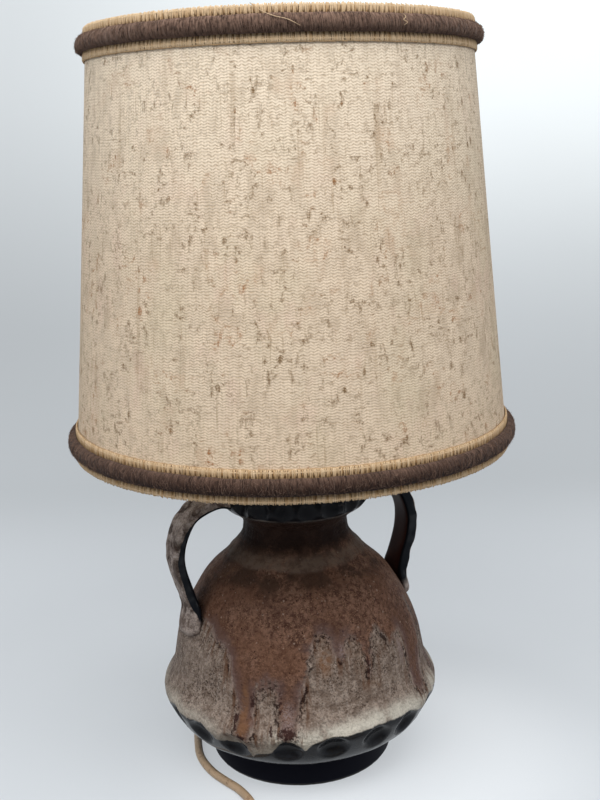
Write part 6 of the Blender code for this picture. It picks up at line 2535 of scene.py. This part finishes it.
    def _roll(self) -> Object:
        """Build the wool roll with its stray fibres.

        Returns:
            The piece.
        """
        count, steps = 900, 15
        angles = round_angles(count)
        turn = np.linspace(0, math.pi, steps)[:, None]
        lumps = 1 + 0.05 * wavy(angles, SEED + 41, (13, 29, 47, 83))
        lumps = lumps + 0.035 * wavy(angles, SEED + 42, (131, 197, 260))
        rise = np.sin(turn) ** 0.8 * self.bulge * lumps[None]
        twist = 0.00022 * np.sin(angles[None] * 411 + turn * 2.0)
        twist = twist + 0.00016 * np.sin(angles[None] * 290 - turn * 3)
        base = GAP + self.thickness + GAP
        widened = (1 + 0.04 * wavy(angles, SEED + 43, (17, 37, 91)))[None]
        around = np.repeat(angles[None], steps, axis=0)
        across = np.cos(turn) * self.roll_width / 2 * widened
        core = self._place(around, across, base + rise + twist * np.sin(turn))
        faces = grid_faces(steps, count, True, True).tolist()
        # Painted light: the upper side of each roll and the whole top roll get a paler tone
        least, more = (0.45, 0.50) if self.rim is Rim.TOP else (0.0, 0.32)
        tones = least + more * np.clip(0.5 + 0.5 * self.up * np.cos(turn), 0, 1) ** 2.0
        tones = np.broadcast_to(tones, (steps, count)).ravel()
        points, quads, numbers = self._fuzz(base)
        parts = [(core.reshape(-1, 3), faces, {"tone": tones}), (points, quads, {"tone": numbers["tone"]})]
        return combined(f"{self.rim.value}_wool_roll", parts, Finishes.WOOL)

    def _fuzz(self, base: float) -> Body:
        """The fine fibres that lie on the roll and lift off it.

        Args:
            base: How far out the roll's back is.

        Returns:
            The points, the faces and the numbers.
        """
        random, count = self.random, self.fibres
        start = random.uniform(0, math.tau, count)
        around = random.uniform(0.25, math.pi - 0.25, count)
        share = np.linspace(-0.5, 0.5, 5)
        swing = random.normal(0.0, 0.55, count)
        length = random.uniform(0.0025, 0.0060, count)
        radius = self.shade.radius_at(self.middle)
        angle = start[:, None] + (length * np.sin(swing) / radius)[:, None] * share[None]
        swept = (length * np.cos(swing) / 0.0046)[:, None] * share[None]
        turn = np.clip(around[:, None] + swept, 0.08, math.pi - 0.08)
        lift = 0.00012 + (random.uniform(0.0, 1.0, count) ** 3 * 0.0009)[:, None] * (share[None] * 2) ** 2
        out = base + np.sin(turn) ** 0.8 * (self.bulge * 1.01) + lift
        paths = self._place(angle, np.cos(turn) * (self.roll_width / 2 + lift), out)
        radii = np.full(angle.shape, 0.00006) * random.uniform(0.7, 1.5, (count, 1))
        return self._bodies(paths, radii, start, 0.7, 3, 1.0)


def in_lead_frame(piece: Object, x: float = 0.0, y: float = 0.0, z: float = 0.0) -> Object:
    """Put a piece at its place in the frame that the lead lies in, which is the camera's."""
    piece.data.transform(TO_VIEW @ Matrix.Translation((x, y, z)))
    return piece


@dataclass
class MainsLead:
    """The round two-core lead, its inline switch, its wound spare length and its plug."""

    diameter: float = 0.0057
    bend: float = 0.0090
    exit_reach: float = 0.0665
    hole_height: float = 0.0080
    rod_bottom: float = 0.0170
    core_top: float = 0.2377
    switch_place: tuple[float, float] = (0.0425, -0.1250)
    switch_length: float = 0.0650
    end_wall: float = 0.0050
    switch_split: float = 0.0090
    coil_place: tuple[float, float, float] = (-0.0620, -0.1600, 0.0039)
    coil_radius: float = 0.0330
    coil_turns: float = 5.625
    coil_pitch: float = 0.0063
    coil_rise: float = 0.0063
    climb_turns: float = 0.5
    per_loop: int = 48
    plug_place: tuple[float, float, float] = (0.0120, -0.1600, 0.00685)
    first_length: float = 0.314
    second_length: float = 1.479

    ROUTE_TO_SWITCH = (
        (-0.0410, 0.0870, 0.0052), (-0.0535, 0.0905, 0.0032), (-0.0660, 0.0868, 0.0029),
        (-0.0748, 0.0770, 0.0029), (-0.0778, 0.0640, 0.0029), (-0.0782, 0.0460, 0.0029),
        (-0.0780, 0.0280, 0.0029), (-0.0770, 0.0100, 0.0029), (-0.0755, -0.0070, 0.0029),
        (-0.0733, -0.0221, 0.0029), (-0.0691, -0.0345, 0.0029), (-0.0619, -0.0476, 0.0029),
        (-0.0529, -0.0587, 0.0029), (-0.0441, -0.0686, 0.0029), (-0.0372, -0.0800, 0.0029),
        (-0.0305, -0.0950, 0.0030), (-0.0205, -0.1100, 0.0045), (-0.0070, -0.1205, 0.0075),
    )  # fmt: skip
    ROUTE_TO_COIL = (
        (0.0890, -0.1270, 0.0075), (0.1040, -0.1390, 0.0042), (0.1105, -0.1600, 0.0029),
        (0.1040, -0.1820, 0.0029), (0.0880, -0.1960, 0.0029), (0.0660, -0.2012, 0.0029),
        (0.0200, -0.2018, 0.0032),
    )  # fmt: skip
    ROUTE_TO_PLUG = ((-0.0180, -0.1440, 0.0097), (-0.0040, -0.1545, 0.0083))

    def build(self, switch_pieces: Sequence[Object | str], end_pieces: Sequence[Object | str]) -> None:
        """Args:
            switch_pieces: The pieces of the switch; not used.
            end_pieces: The pieces of the plug and the tie; not used.
        """
        self._inner()
        thick = self.diameter
        out = [(0.0, self.exit_reach, self.hole_height), (0.0, self.exit_reach + 2 * thick, self.hole_height)]
        start, straight = self._turned(np.array(out), -VIEW_TURN)
        x, y = self.switch_place
        inside = self.switch_length / 2 - self.end_wall - GAP
        before = (x - inside, y, self.switch_split)
        mouth = (before[0] - self.end_wall - thick, y, self.switch_split)
        first = self._run((start, straight, *self.ROUTE_TO_SWITCH, mouth, before))
        first_piece = self._free("lead_with_switch", first, ("lead_to_switch",))
        after = (x + inside, y, self.switch_split)
        mouth = (after[0] + self.end_wall + thick, y, self.switch_split)
        wound = self._wound()
        inward = self._heading(wound[0], wound[1])
        end = wound[0] - inward * GAP
        second = self._run((after, mouth, *self.ROUTE_TO_COIL, end - inward * 2 * thick, end))
        outward = self._heading(wound[-2], wound[-1])
        start, end = wound[-1] + outward * GAP, np.array(self.plug_place)
        third = self._run((start, start + outward * thick, *self.ROUTE_TO_PLUG, end - (thick, 0, 0), end))
        points = np.vstack([second, wound, third])
        second_piece = self._free("lead_with_plug", points, ("lead_to_coil", "lead_coil", "lead_to_plug"))
        LOG.info("the runs measure %.4f m and %.4f m", self._measure(first), self._measure(points))

    def _inner(self) -> None:
        """Build the hidden lead, from the lampholder down the rod and out through the bush."""
        turn = np.linspace(0, math.pi / 2, 13)
        bend, low = self.bend, self.rod_bottom
        path = [(0.0, 0.0, z) for z in np.linspace(self.core_top, low + 0.002, 12)]
        path += [(0.0, bend * (1 - math.cos(a)), low - bend * math.sin(a)) for a in turn]
        path += [(0.0, y, self.hole_height) for y in np.linspace(0.016, self.exit_reach - GAP, 8)]
        Register.hand_in(rod("core_lead", path, self.diameter / 2, 16, Finishes.LEAD), "inner_lead")

    def _run(self, knots: Sequence[Sequence[float]]) -> np.ndarray:
        """Closely spaced points of a free run through its knots."""
        return evenly_spaced(smooth_curve(knots, 12), 0.0024)

    def _heading(self, start: np.ndarray, end: np.ndarray) -> np.ndarray:
        """The level direction from one point to another."""
        way = (end - start) * (1, 1, 0)
        return way / np.linalg.norm(way)

    def _wound(self) -> np.ndarray:
        """Points of the wound spare length, in two layers, with a straight piece at each end.

        Returns:
            The points.
        """
        half = self.coil_turns / 2
        spread = self.coil_pitch * half / 2
        turns = np.linspace(0, self.coil_turns, round(self.coil_turns * self.per_loop) + 1)
        angle = -math.pi / 2 - math.tau * turns
        radius = self.coil_radius + spread - self.coil_pitch * (half - np.abs(turns - half))
        lift = swell((turns - half) / self.climb_turns + 0.5) * self.coil_rise
        points = np.stack([radius * np.cos(angle), radius * np.sin(angle), lift], axis=-1) + self.coil_place
        first = points[0] + self._heading(points[1], points[0]) * self.diameter
        last = points[-1] + self._heading(points[-2], points[-1]) * self.diameter
        return np.vstack([first, points, last])

    def _turned(self, points: np.ndarray, turn: float = VIEW_TURN) -> np.ndarray:
        """Turn points about the upright axis.

        Args:
            points: The points, in the lead's frame.
            turn: The angle, which takes them into the model's own frame if it is left out.

        Returns:
            The turned points.
        """
        cos, sin = math.cos(turn), math.sin(turn)
        x, y, z = points.T
        return np.stack([x * cos - y * sin, x * sin + y * cos, z], axis=-1)

    def _measure(self, points: np.ndarray) -> float:
        """The length of a line."""
        return float(np.linalg.norm(np.diff(points, axis=0), axis=1).sum())

    def _free(self, name: str, points: np.ndarray, nodes: Sequence[str]) -> Object:
        """Build a free run of the lead as a round curve.

        Args:
            name: The piece's name.
            points: Its points in the lead's frame.
            nodes: The CAD nodes that it stands for.

        Returns:
            The piece.
        """
        curve = bpy.data.curves.new(name, "CURVE")
        curve.dimensions = "3D"
        curve.bevel_depth = self.diameter / 2
        curve.bevel_resolution = 5
        curve.use_fill_caps = True
        spline = curve.splines.new("POLY")
        spline.points.add(len(points) - 1)
        for knot, point in zip(spline.points, self._turned(points)):
            knot.co = (*point, 1)
        curve.materials.append(material_of(Finishes.LEAD))
        return Register.hand_in(linked(name, curve), *nodes)


@dataclass
class InlineSwitch:
    """The two-part switch case on the lead, with its rocker, pin and terminals."""

    place: tuple[float, float] = (0.0425, -0.1250)
    length: float = 0.0650
    width: float = 0.0260
    height: float = 0.0190
    split: float = 0.0090
    edge: float = 0.0030
    end_wall: float = 0.0050
    floor: float = 0.0020
    top_wall: float = 0.0025
    squareness: float = 3.2
    entry_radius: float = 0.00325
    rocker_reach: float = 0.0105
    rocker_width: float = 0.0110
    clearance: float = 0.0005
    pivot_depth: float = 0.0050
    pin_radius: float = 0.0009
    pin_seat: float = 0.0022
    tilt: float = 8.0
    top_angle: float = 40.0
    bottom_angle: float = -15.0
    dip_share: float = 0.57
    block: tuple[float, float, float] = (0.0070, 0.0060, 0.0085)

    def build(self) -> list[Object]:
        """Build the switch.

        Returns:
            Its pieces, in the order that they were made.
        """
        case = self._case()
        pivot = self.height - self.pivot_depth
        rocker = self._rocker(pivot)
        reach = self.rocker_width / 2 + self.clearance + self.pin_seat - GAP
        axle = [(0, y, pivot) for y in (-reach, 0, reach)]
        pin = rod("pivot_pin", axle, self.pin_radius, 20, Finishes.ZINC)
        pieces = [*case, rocker, in_lead_frame(pin, *self.place)]
        names = ["switch_base", "switch_cover", "switch_rocker", "switch_pin"]
        face, half = self.length / 2 - self.end_wall - 2 * GAP, self.block[1] / 2
        low = self.floor + GAP
        for name, side in (("in", -1), ("out", 1)):
            near, far = sorted((side * face, side * (face - self.block[0])))
            corners = (near, -half, low), (far, half, low + self.block[2])
            clamp = slab(f"clamp_{name}", *corners, 0.0005, Finishes.BRASS)
            pieces.append(in_lead_frame(clamp, *self.place))
            names.append(f"switch_terminal_{name}")
        return [Register.hand_in(piece, name) for piece, name in zip(pieces, names)]

    def _shell(self, name: str, low: float, high: float, round_low: bool) -> Object:
        """Loft one half of the case with one softly rounded edge.

        Args:
            name: The piece's name.
            low: Its lower face.
            high: Its upper face.
            round_low: Whether the lower edge is the rounded one.

        Returns:
            The piece.
        """
        rings, rounding = [], self.edge * 0.85
        for share in np.linspace(0, 1, 7):
            inset = rounding * (1 - math.sin(share * math.pi / 2))
            rise = rounding * (1 - math.cos(share * math.pi / 2))
            outline = oval(self.length - 2 * inset, self.width - 2 * inset, self.squareness, 96)
            level = low + rise if round_low else high - rise
            rings.append([(x, y, level) for x, y in outline])
        full = oval(self.length, self.width, self.squareness, 96)
        lip = oval(self.length - 0.0006, self.width - 0.0006, self.squareness, 96)
        end, step = (high, -0.0004) if round_low else (low, 0.0004)
        rings.append([(x, y, end + step) for x, y in full])
        rings.append([(x, y, end) for x, y in lip])
        return lofted(name, rings if round_low else rings[::-1], Finishes.SWITCH, 40.0)

    def _case(self) -> list[Object]:
        """Build both halves of the case, hollow, with the lead's entries and the rocker's window.

        Returns:
            The base and the cover.
        """
        halves = [self._shell("case_base", 0.0, self.split, True)]
        halves.append(self._shell("case_cover", self.split + GAP, self.height, False))
        half_length = self.length / 2 - self.end_wall
        half_width = self.rocker_width / 2 + self.clearance
        ceiling = self.height - self.top_wall
        works = (-half_length, -half_width, self.floor), (half_length, half_width, ceiling)
        reach = self.length / 2 + 0.002
        entry = [(x, 0, self.split) for x in (-reach, 0, reach)]
        for shell in halves:
            carve(shell, slab("works", *works, 0.0004, Finishes.SWITCH))
            carve(shell, rod("entry", entry, self.entry_radius, 48, Finishes.SWITCH))
        window = self.rocker_reach + self.clearance
        opening = (-window, -half_width, self.split + self.edge), (window, half_width, self.height + 0.002)
        carve(halves[1], slab("window", *opening, 0.0003, Finishes.SWITCH))
        pivot, bore = self.height - self.pivot_depth, half_width + self.pin_seat
        axle = [(0, y, pivot) for y in (-bore, 0, bore)]
        carve(halves[1], rod("bore", axle, self.pin_radius + GAP, 24, Finishes.SWITCH))
        return [in_lead_frame(half, *self.place) for half in halves]

    def _rocker(self, pivot: float) -> Object:
        """Build the rocker, tipped to its off position.

        Args:
            pivot: The height of its pin.

        Returns:
            The piece.
        """
        turn = np.radians(np.linspace(self.bottom_angle, self.top_angle, 13))
        end = [(self.rocker_reach * math.cos(a), self.rocker_reach * math.sin(a)) for a in turn]
        dip = self.rocker_reach * self.dip_share
        high = end[-1]
        top = [(high[0] * (1 - s), dip + (high[1] - dip) * (1 - s) ** 1.6) for s in np.linspace(0.12, 1, 8)]
        section = end + top + [(-x, z) for x, z in reversed(end + top[:-1])]
        half, ease = self.rocker_width / 2, 0.0005
        slices = ((half, 0.95), (half - ease, 1.0), (ease - half, 1.0), (-half, 0.95))
        rings = [[(x * scale, y, z * scale) for x, z in section] for y, scale in slices]
        rocker = lofted("tip_rocker", rings, Finishes.ROCKER, 40.0)
        hole = [(0, y, 0) for y in (-0.01, 0, 0.01)]
        carve(rocker, rod("pin_hole", hole, self.pin_radius + GAP, 24, Finishes.ROCKER))
        tilted = Matrix.Rotation(math.radians(self.tilt), 4, "Y")
        rocker.data.transform(Matrix.Translation((0, 0, pivot)) @ tilted)
        return in_lead_frame(rocker, *self.place)


@dataclass
class FlatPlug:
    """A flat two-pin plug with a ribbed, tapered strain relief."""

    place: tuple[float, float, float] = (0.0120, -0.1600, 0.00685)
    length: float = 0.0350
    width: float = 0.0353
    thickness: float = 0.0137
    relief_length: float = 0.0200
    relief: float = 0.0077
    squareness: float = 3.0
    pin_radius: float = 0.0020
    pin_length: float = 0.0190
    pin_spacing: float = 0.0186
    pin_seat: float = 0.0060
    ribs: int = 6

    SECTIONS = ((0.0, 0.34, 0.72), (0.22, 0.66, 0.92), (0.50, 1.0, 1.0), (1.0, 0.92, 0.92))

    def build(self) -> list[Object]:
        """Build the plug.

        Returns:
            Its body and its two pins.
        """
        knots = [(GAP, self.relief, self.relief)]
        for s, w, t in self.SECTIONS:
            knots.append((self.relief_length + self.length * s, self.width * w, self.thickness * t))
        line = evenly_spaced(smooth_curve(knots, 10), 0.0006)
        rings = []
        for x, width, thickness in line:
            share = x / self.relief_length
            rib = 0.5 + 0.5 * math.cos(math.tau * (share * self.ribs + 0.5))
            inset = 0.0011 * rib**2 * min(1.0, max(0.0, (0.94 - share) * 8)) * min(1.0, share * 12)
            end = self.relief_length + self.length - x
            inset += 0.0010 * (1 - math.sqrt(max(0.0, 1 - max(0.0, 1 - end / 0.0015) ** 2)))
            rings.append([(x, y, z) for y, z in oval(width - inset, thickness - inset, self.squareness, 72)])
        body = lofted("plug_moulding", rings, Finishes.SWITCH, 55.0)
        face = self.relief_length + self.length
        pieces = []
        for name, side in (("left", 1), ("right", -1)):
            start, y = face - self.pin_seat, side * self.pin_spacing / 2
            bore = [(x, y, 0) for x in (start - GAP, face, face + 0.002)]
            carve(body, rod("pin_bore", bore, self.pin_radius + GAP, 32, Finishes.SWITCH))
            path = [(x, y, 0) for x in (start, face, face + self.pin_length * 0.94, face + self.pin_length)]
            pin = in_lead_frame(rod(f"{name}_pin", path, self.pin_radius, 32, Finishes.NICKEL), *self.place)
            pieces.append(Register.hand_in(pin, f"plug_pin_{name}"))
        return [Register.hand_in(in_lead_frame(body, *self.place), "plug_body"), *pieces]


@dataclass
class CoilTie:
    """The flat band that holds the wound turns together."""

    place: tuple[float, float] = (-0.0620, -0.1600)
    low: float = 0.0108
    high: float = 0.0452
    top: float = 0.0136
    width: float = 0.0040
    sheet: float = 0.0008

    def build(self) -> Object:
        """Build the band.

        Returns:
            The piece.
        """
        outer = self._rounded(self.low - self.sheet, self.high + self.sheet, 0.0, self.top, 0.0024)
        inner = self._rounded(self.low, self.high, self.sheet, self.top - self.sheet, 0.0016)
        half, short = self.width / 2, self.width / 2 - self.sheet * 0.3
        middle = outer * 0.5 + inner * 0.5
        slices = ((outer, short, 0.0), (outer, half, 0.4), (inner, half, 0.4), (inner, short, 0.0))
        rings = [[(-x, y, z) for x, z in line * (1 - draw) + middle * draw] for line, y, draw in slices]
        rings += [[(x, -y, z) for x, y, z in one] for one in rings[::-1]]
        points = np.array(rings)
        faces = grid_faces(*points.shape[:2], True, True).tolist()
        band = solid("coil_band", points.reshape(-1, 3), faces, Finishes.TIE, 40.0)
        return Register.hand_in(in_lead_frame(band, *self.place), "coil_tie")

    def _rounded(self, near: float, far: float, low: float, high: float, radius: float) -> np.ndarray:
        """A rounded rectangular loop.

        Args:
            near: Its side nearer the coil's middle.
            far: Its other side.
            low: Its lower side.
            high: Its upper side.
            radius: How far from each corner the rounding starts.

        Returns:
            The loop's points, two numbers each.
        """
        corners = np.array(((near, low), (far, low), (far, high), (near, high)))
        line = []
        for before, here, after in zip(np.roll(corners, 1, axis=0), corners, np.roll(corners, -1, axis=0)):
            start = here + (before - here) / np.linalg.norm(before - here) * radius
            end = here + (after - here) / np.linalg.norm(after - here) * radius
            for t in np.linspace(0, 1, 7):
                line.append(start * (1 - t) ** 2 + here * 2 * t * (1 - t) + end * t**2)
        return np.array(line)


@dataclass
class Studio:
    """The pale sweep of paper and the soft lights round it."""

    behind: float = 1.10
    before: float = 1.60
    half_width: float = 2.2
    wall_height: float = 2.4
    bend: float = 0.9
    air: Colour = (0.84, 0.92, 1.0)
    air_strength: float = 0.26

    # Name, place, aim, width and height, watts and colour of each light, in the camera's own frame
    LIGHTS = (
        ("key_above", (0.0, -0.78, 1.48), (0.0, 0.0, 0.30), (1.5, 0.9), 24.0, (1.0, 0.99, 0.975)),
        ("left_window", (-1.4, -0.7, 0.95), (0.0, 0.0, 0.15), (1.1, 1.3), 8.0, (0.95, 0.98, 1.0)),
        ("right_fill", (1.5, -0.6, 1.05), (0.0, 0.0, 0.2), (1.2, 1.3), 8.0, (0.97, 0.985, 1.0)),
    )  # fmt: skip

    def build(self) -> None:
        """Build the paper and the lights."""
        start = self.behind - self.bend
        side = [(-self.before, 0.0), (start, 0.0)]
        turn = np.linspace(0, math.pi / 2, 25)
        side += [(start + self.bend * math.sin(a), self.bend * (1 - math.cos(a))) for a in turn]
        side.append((self.behind, self.wall_height))
        line = evenly_spaced(np.array(side), 0.06)
        across = np.linspace(-self.half_width, self.half_width, 41)
        points = np.array([[(x, y, z) for x in across] for y, z in line])
        faces = grid_faces(*points.shape[:2], False, False).tolist()
        paper = solid("studio_sweep", points.reshape(-1, 3), faces, Finishes.PAPER, 60.0)
        paper.data.transform(TO_VIEW)
        if paper.data.polygons[0].normal.z < 0:
            paper.data.flip_normals()
        for light in self.LIGHTS:
            self._lamp(*light)
        world = bpy.data.worlds.new("studio_air")
        bpy.context.scene.world = world
        world.use_nodes = True
        background = world.node_tree.nodes["Background"]
        background.inputs["Color"].default_value = (*self.air, 1.0)
        background.inputs["Strength"].default_value = self.air_strength

    def _lamp(
        self, name: str, place: tuple, aim: tuple, size: tuple[float, float], power: float, colour: Colour
    ) -> None:
        """Add one soft rectangular light.

        Args:
            name: The light's name.
            place: Where it stands, in the camera's own frame.
            aim: The point that it faces.
            size: Its width and height.
            power: Its power in watts.
            colour: Its colour.
        """
        data = bpy.data.lights.new(name, "AREA")
        data.shape = "RECTANGLE"
        data.size, data.size_y = size
        data.energy = power
        data.color = colour
        here, there = TO_VIEW @ Vector(place), TO_VIEW @ Vector(aim)
        facing = (there - here).to_track_quat("-Z", "Y").to_matrix().to_4x4()
        linked(name, data).matrix_world = Matrix.Translation(here) @ facing


@dataclass
class PhotoCamera:
    """The camera of the photograph, worked out from the rims of the shade and the foot."""

    lens: float = 50.39
    sensor: float = 36.0
    distance: float = 0.7462
    height: float = 0.4273
    pitch: float = 13.02
    yaw: float = 0.0082
    roll: float = -0.0305

    def build(self) -> Object:
        """Build the camera.

        Returns:
            The camera.
        """
        data = bpy.data.cameras.new("photo_camera")
        data.lens = self.lens
        data.sensor_width = self.sensor
        data.sensor_fit = "AUTO"
        data.clip_start, data.clip_end = 0.05, 20.0
        camera = linked("photo_camera", data)
        down = math.radians(self.pitch)
        level = math.cos(down)
        ahead = Vector((math.sin(self.yaw) * level, math.cos(self.yaw) * level, -math.sin(down)))
        right = Vector((math.cos(self.yaw), -math.sin(self.yaw), 0.0))
        up = right.cross(ahead)
        cos, sin = math.cos(self.roll), math.sin(self.roll)
        columns = (right * cos + up * sin, up * cos - right * sin, -ahead)
        turn = Matrix([[column[row] for column in columns] for row in range(3)]).to_4x4()
        stand = Matrix.Translation((0.0, -self.distance, self.height)) @ turn
        camera.matrix_world = TO_VIEW @ stand
        bpy.context.scene.camera = camera
        return camera


def main() -> None:
    """Build the lamp, from the camera and the lead to the shade."""
    logging.basicConfig(level=logging.INFO, format="%(name)s: %(message)s")
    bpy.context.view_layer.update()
    bpy.context.scene.view_settings.view_transform = "Standard"
    PhotoCamera().build()
    switch = InlineSwitch().build()
    plug = FlatPlug().build()
    tie = CoilTie().build()
    MainsLead().build(switch, [*plug, tie])
    GlazedBody().build()
    for side in Side:
        StrapHandle(side).build()
    BaseFixings().build()
    LampHolder().build()
    PearBulb().build()
    shade = DrumShade()
    shade.build()
    for rim in Rim:
        ShadeTrim(rim, shade).build()
    Studio().build()
    LOG.info("the sizes are written")


if __name__ == "__main__":
    main()
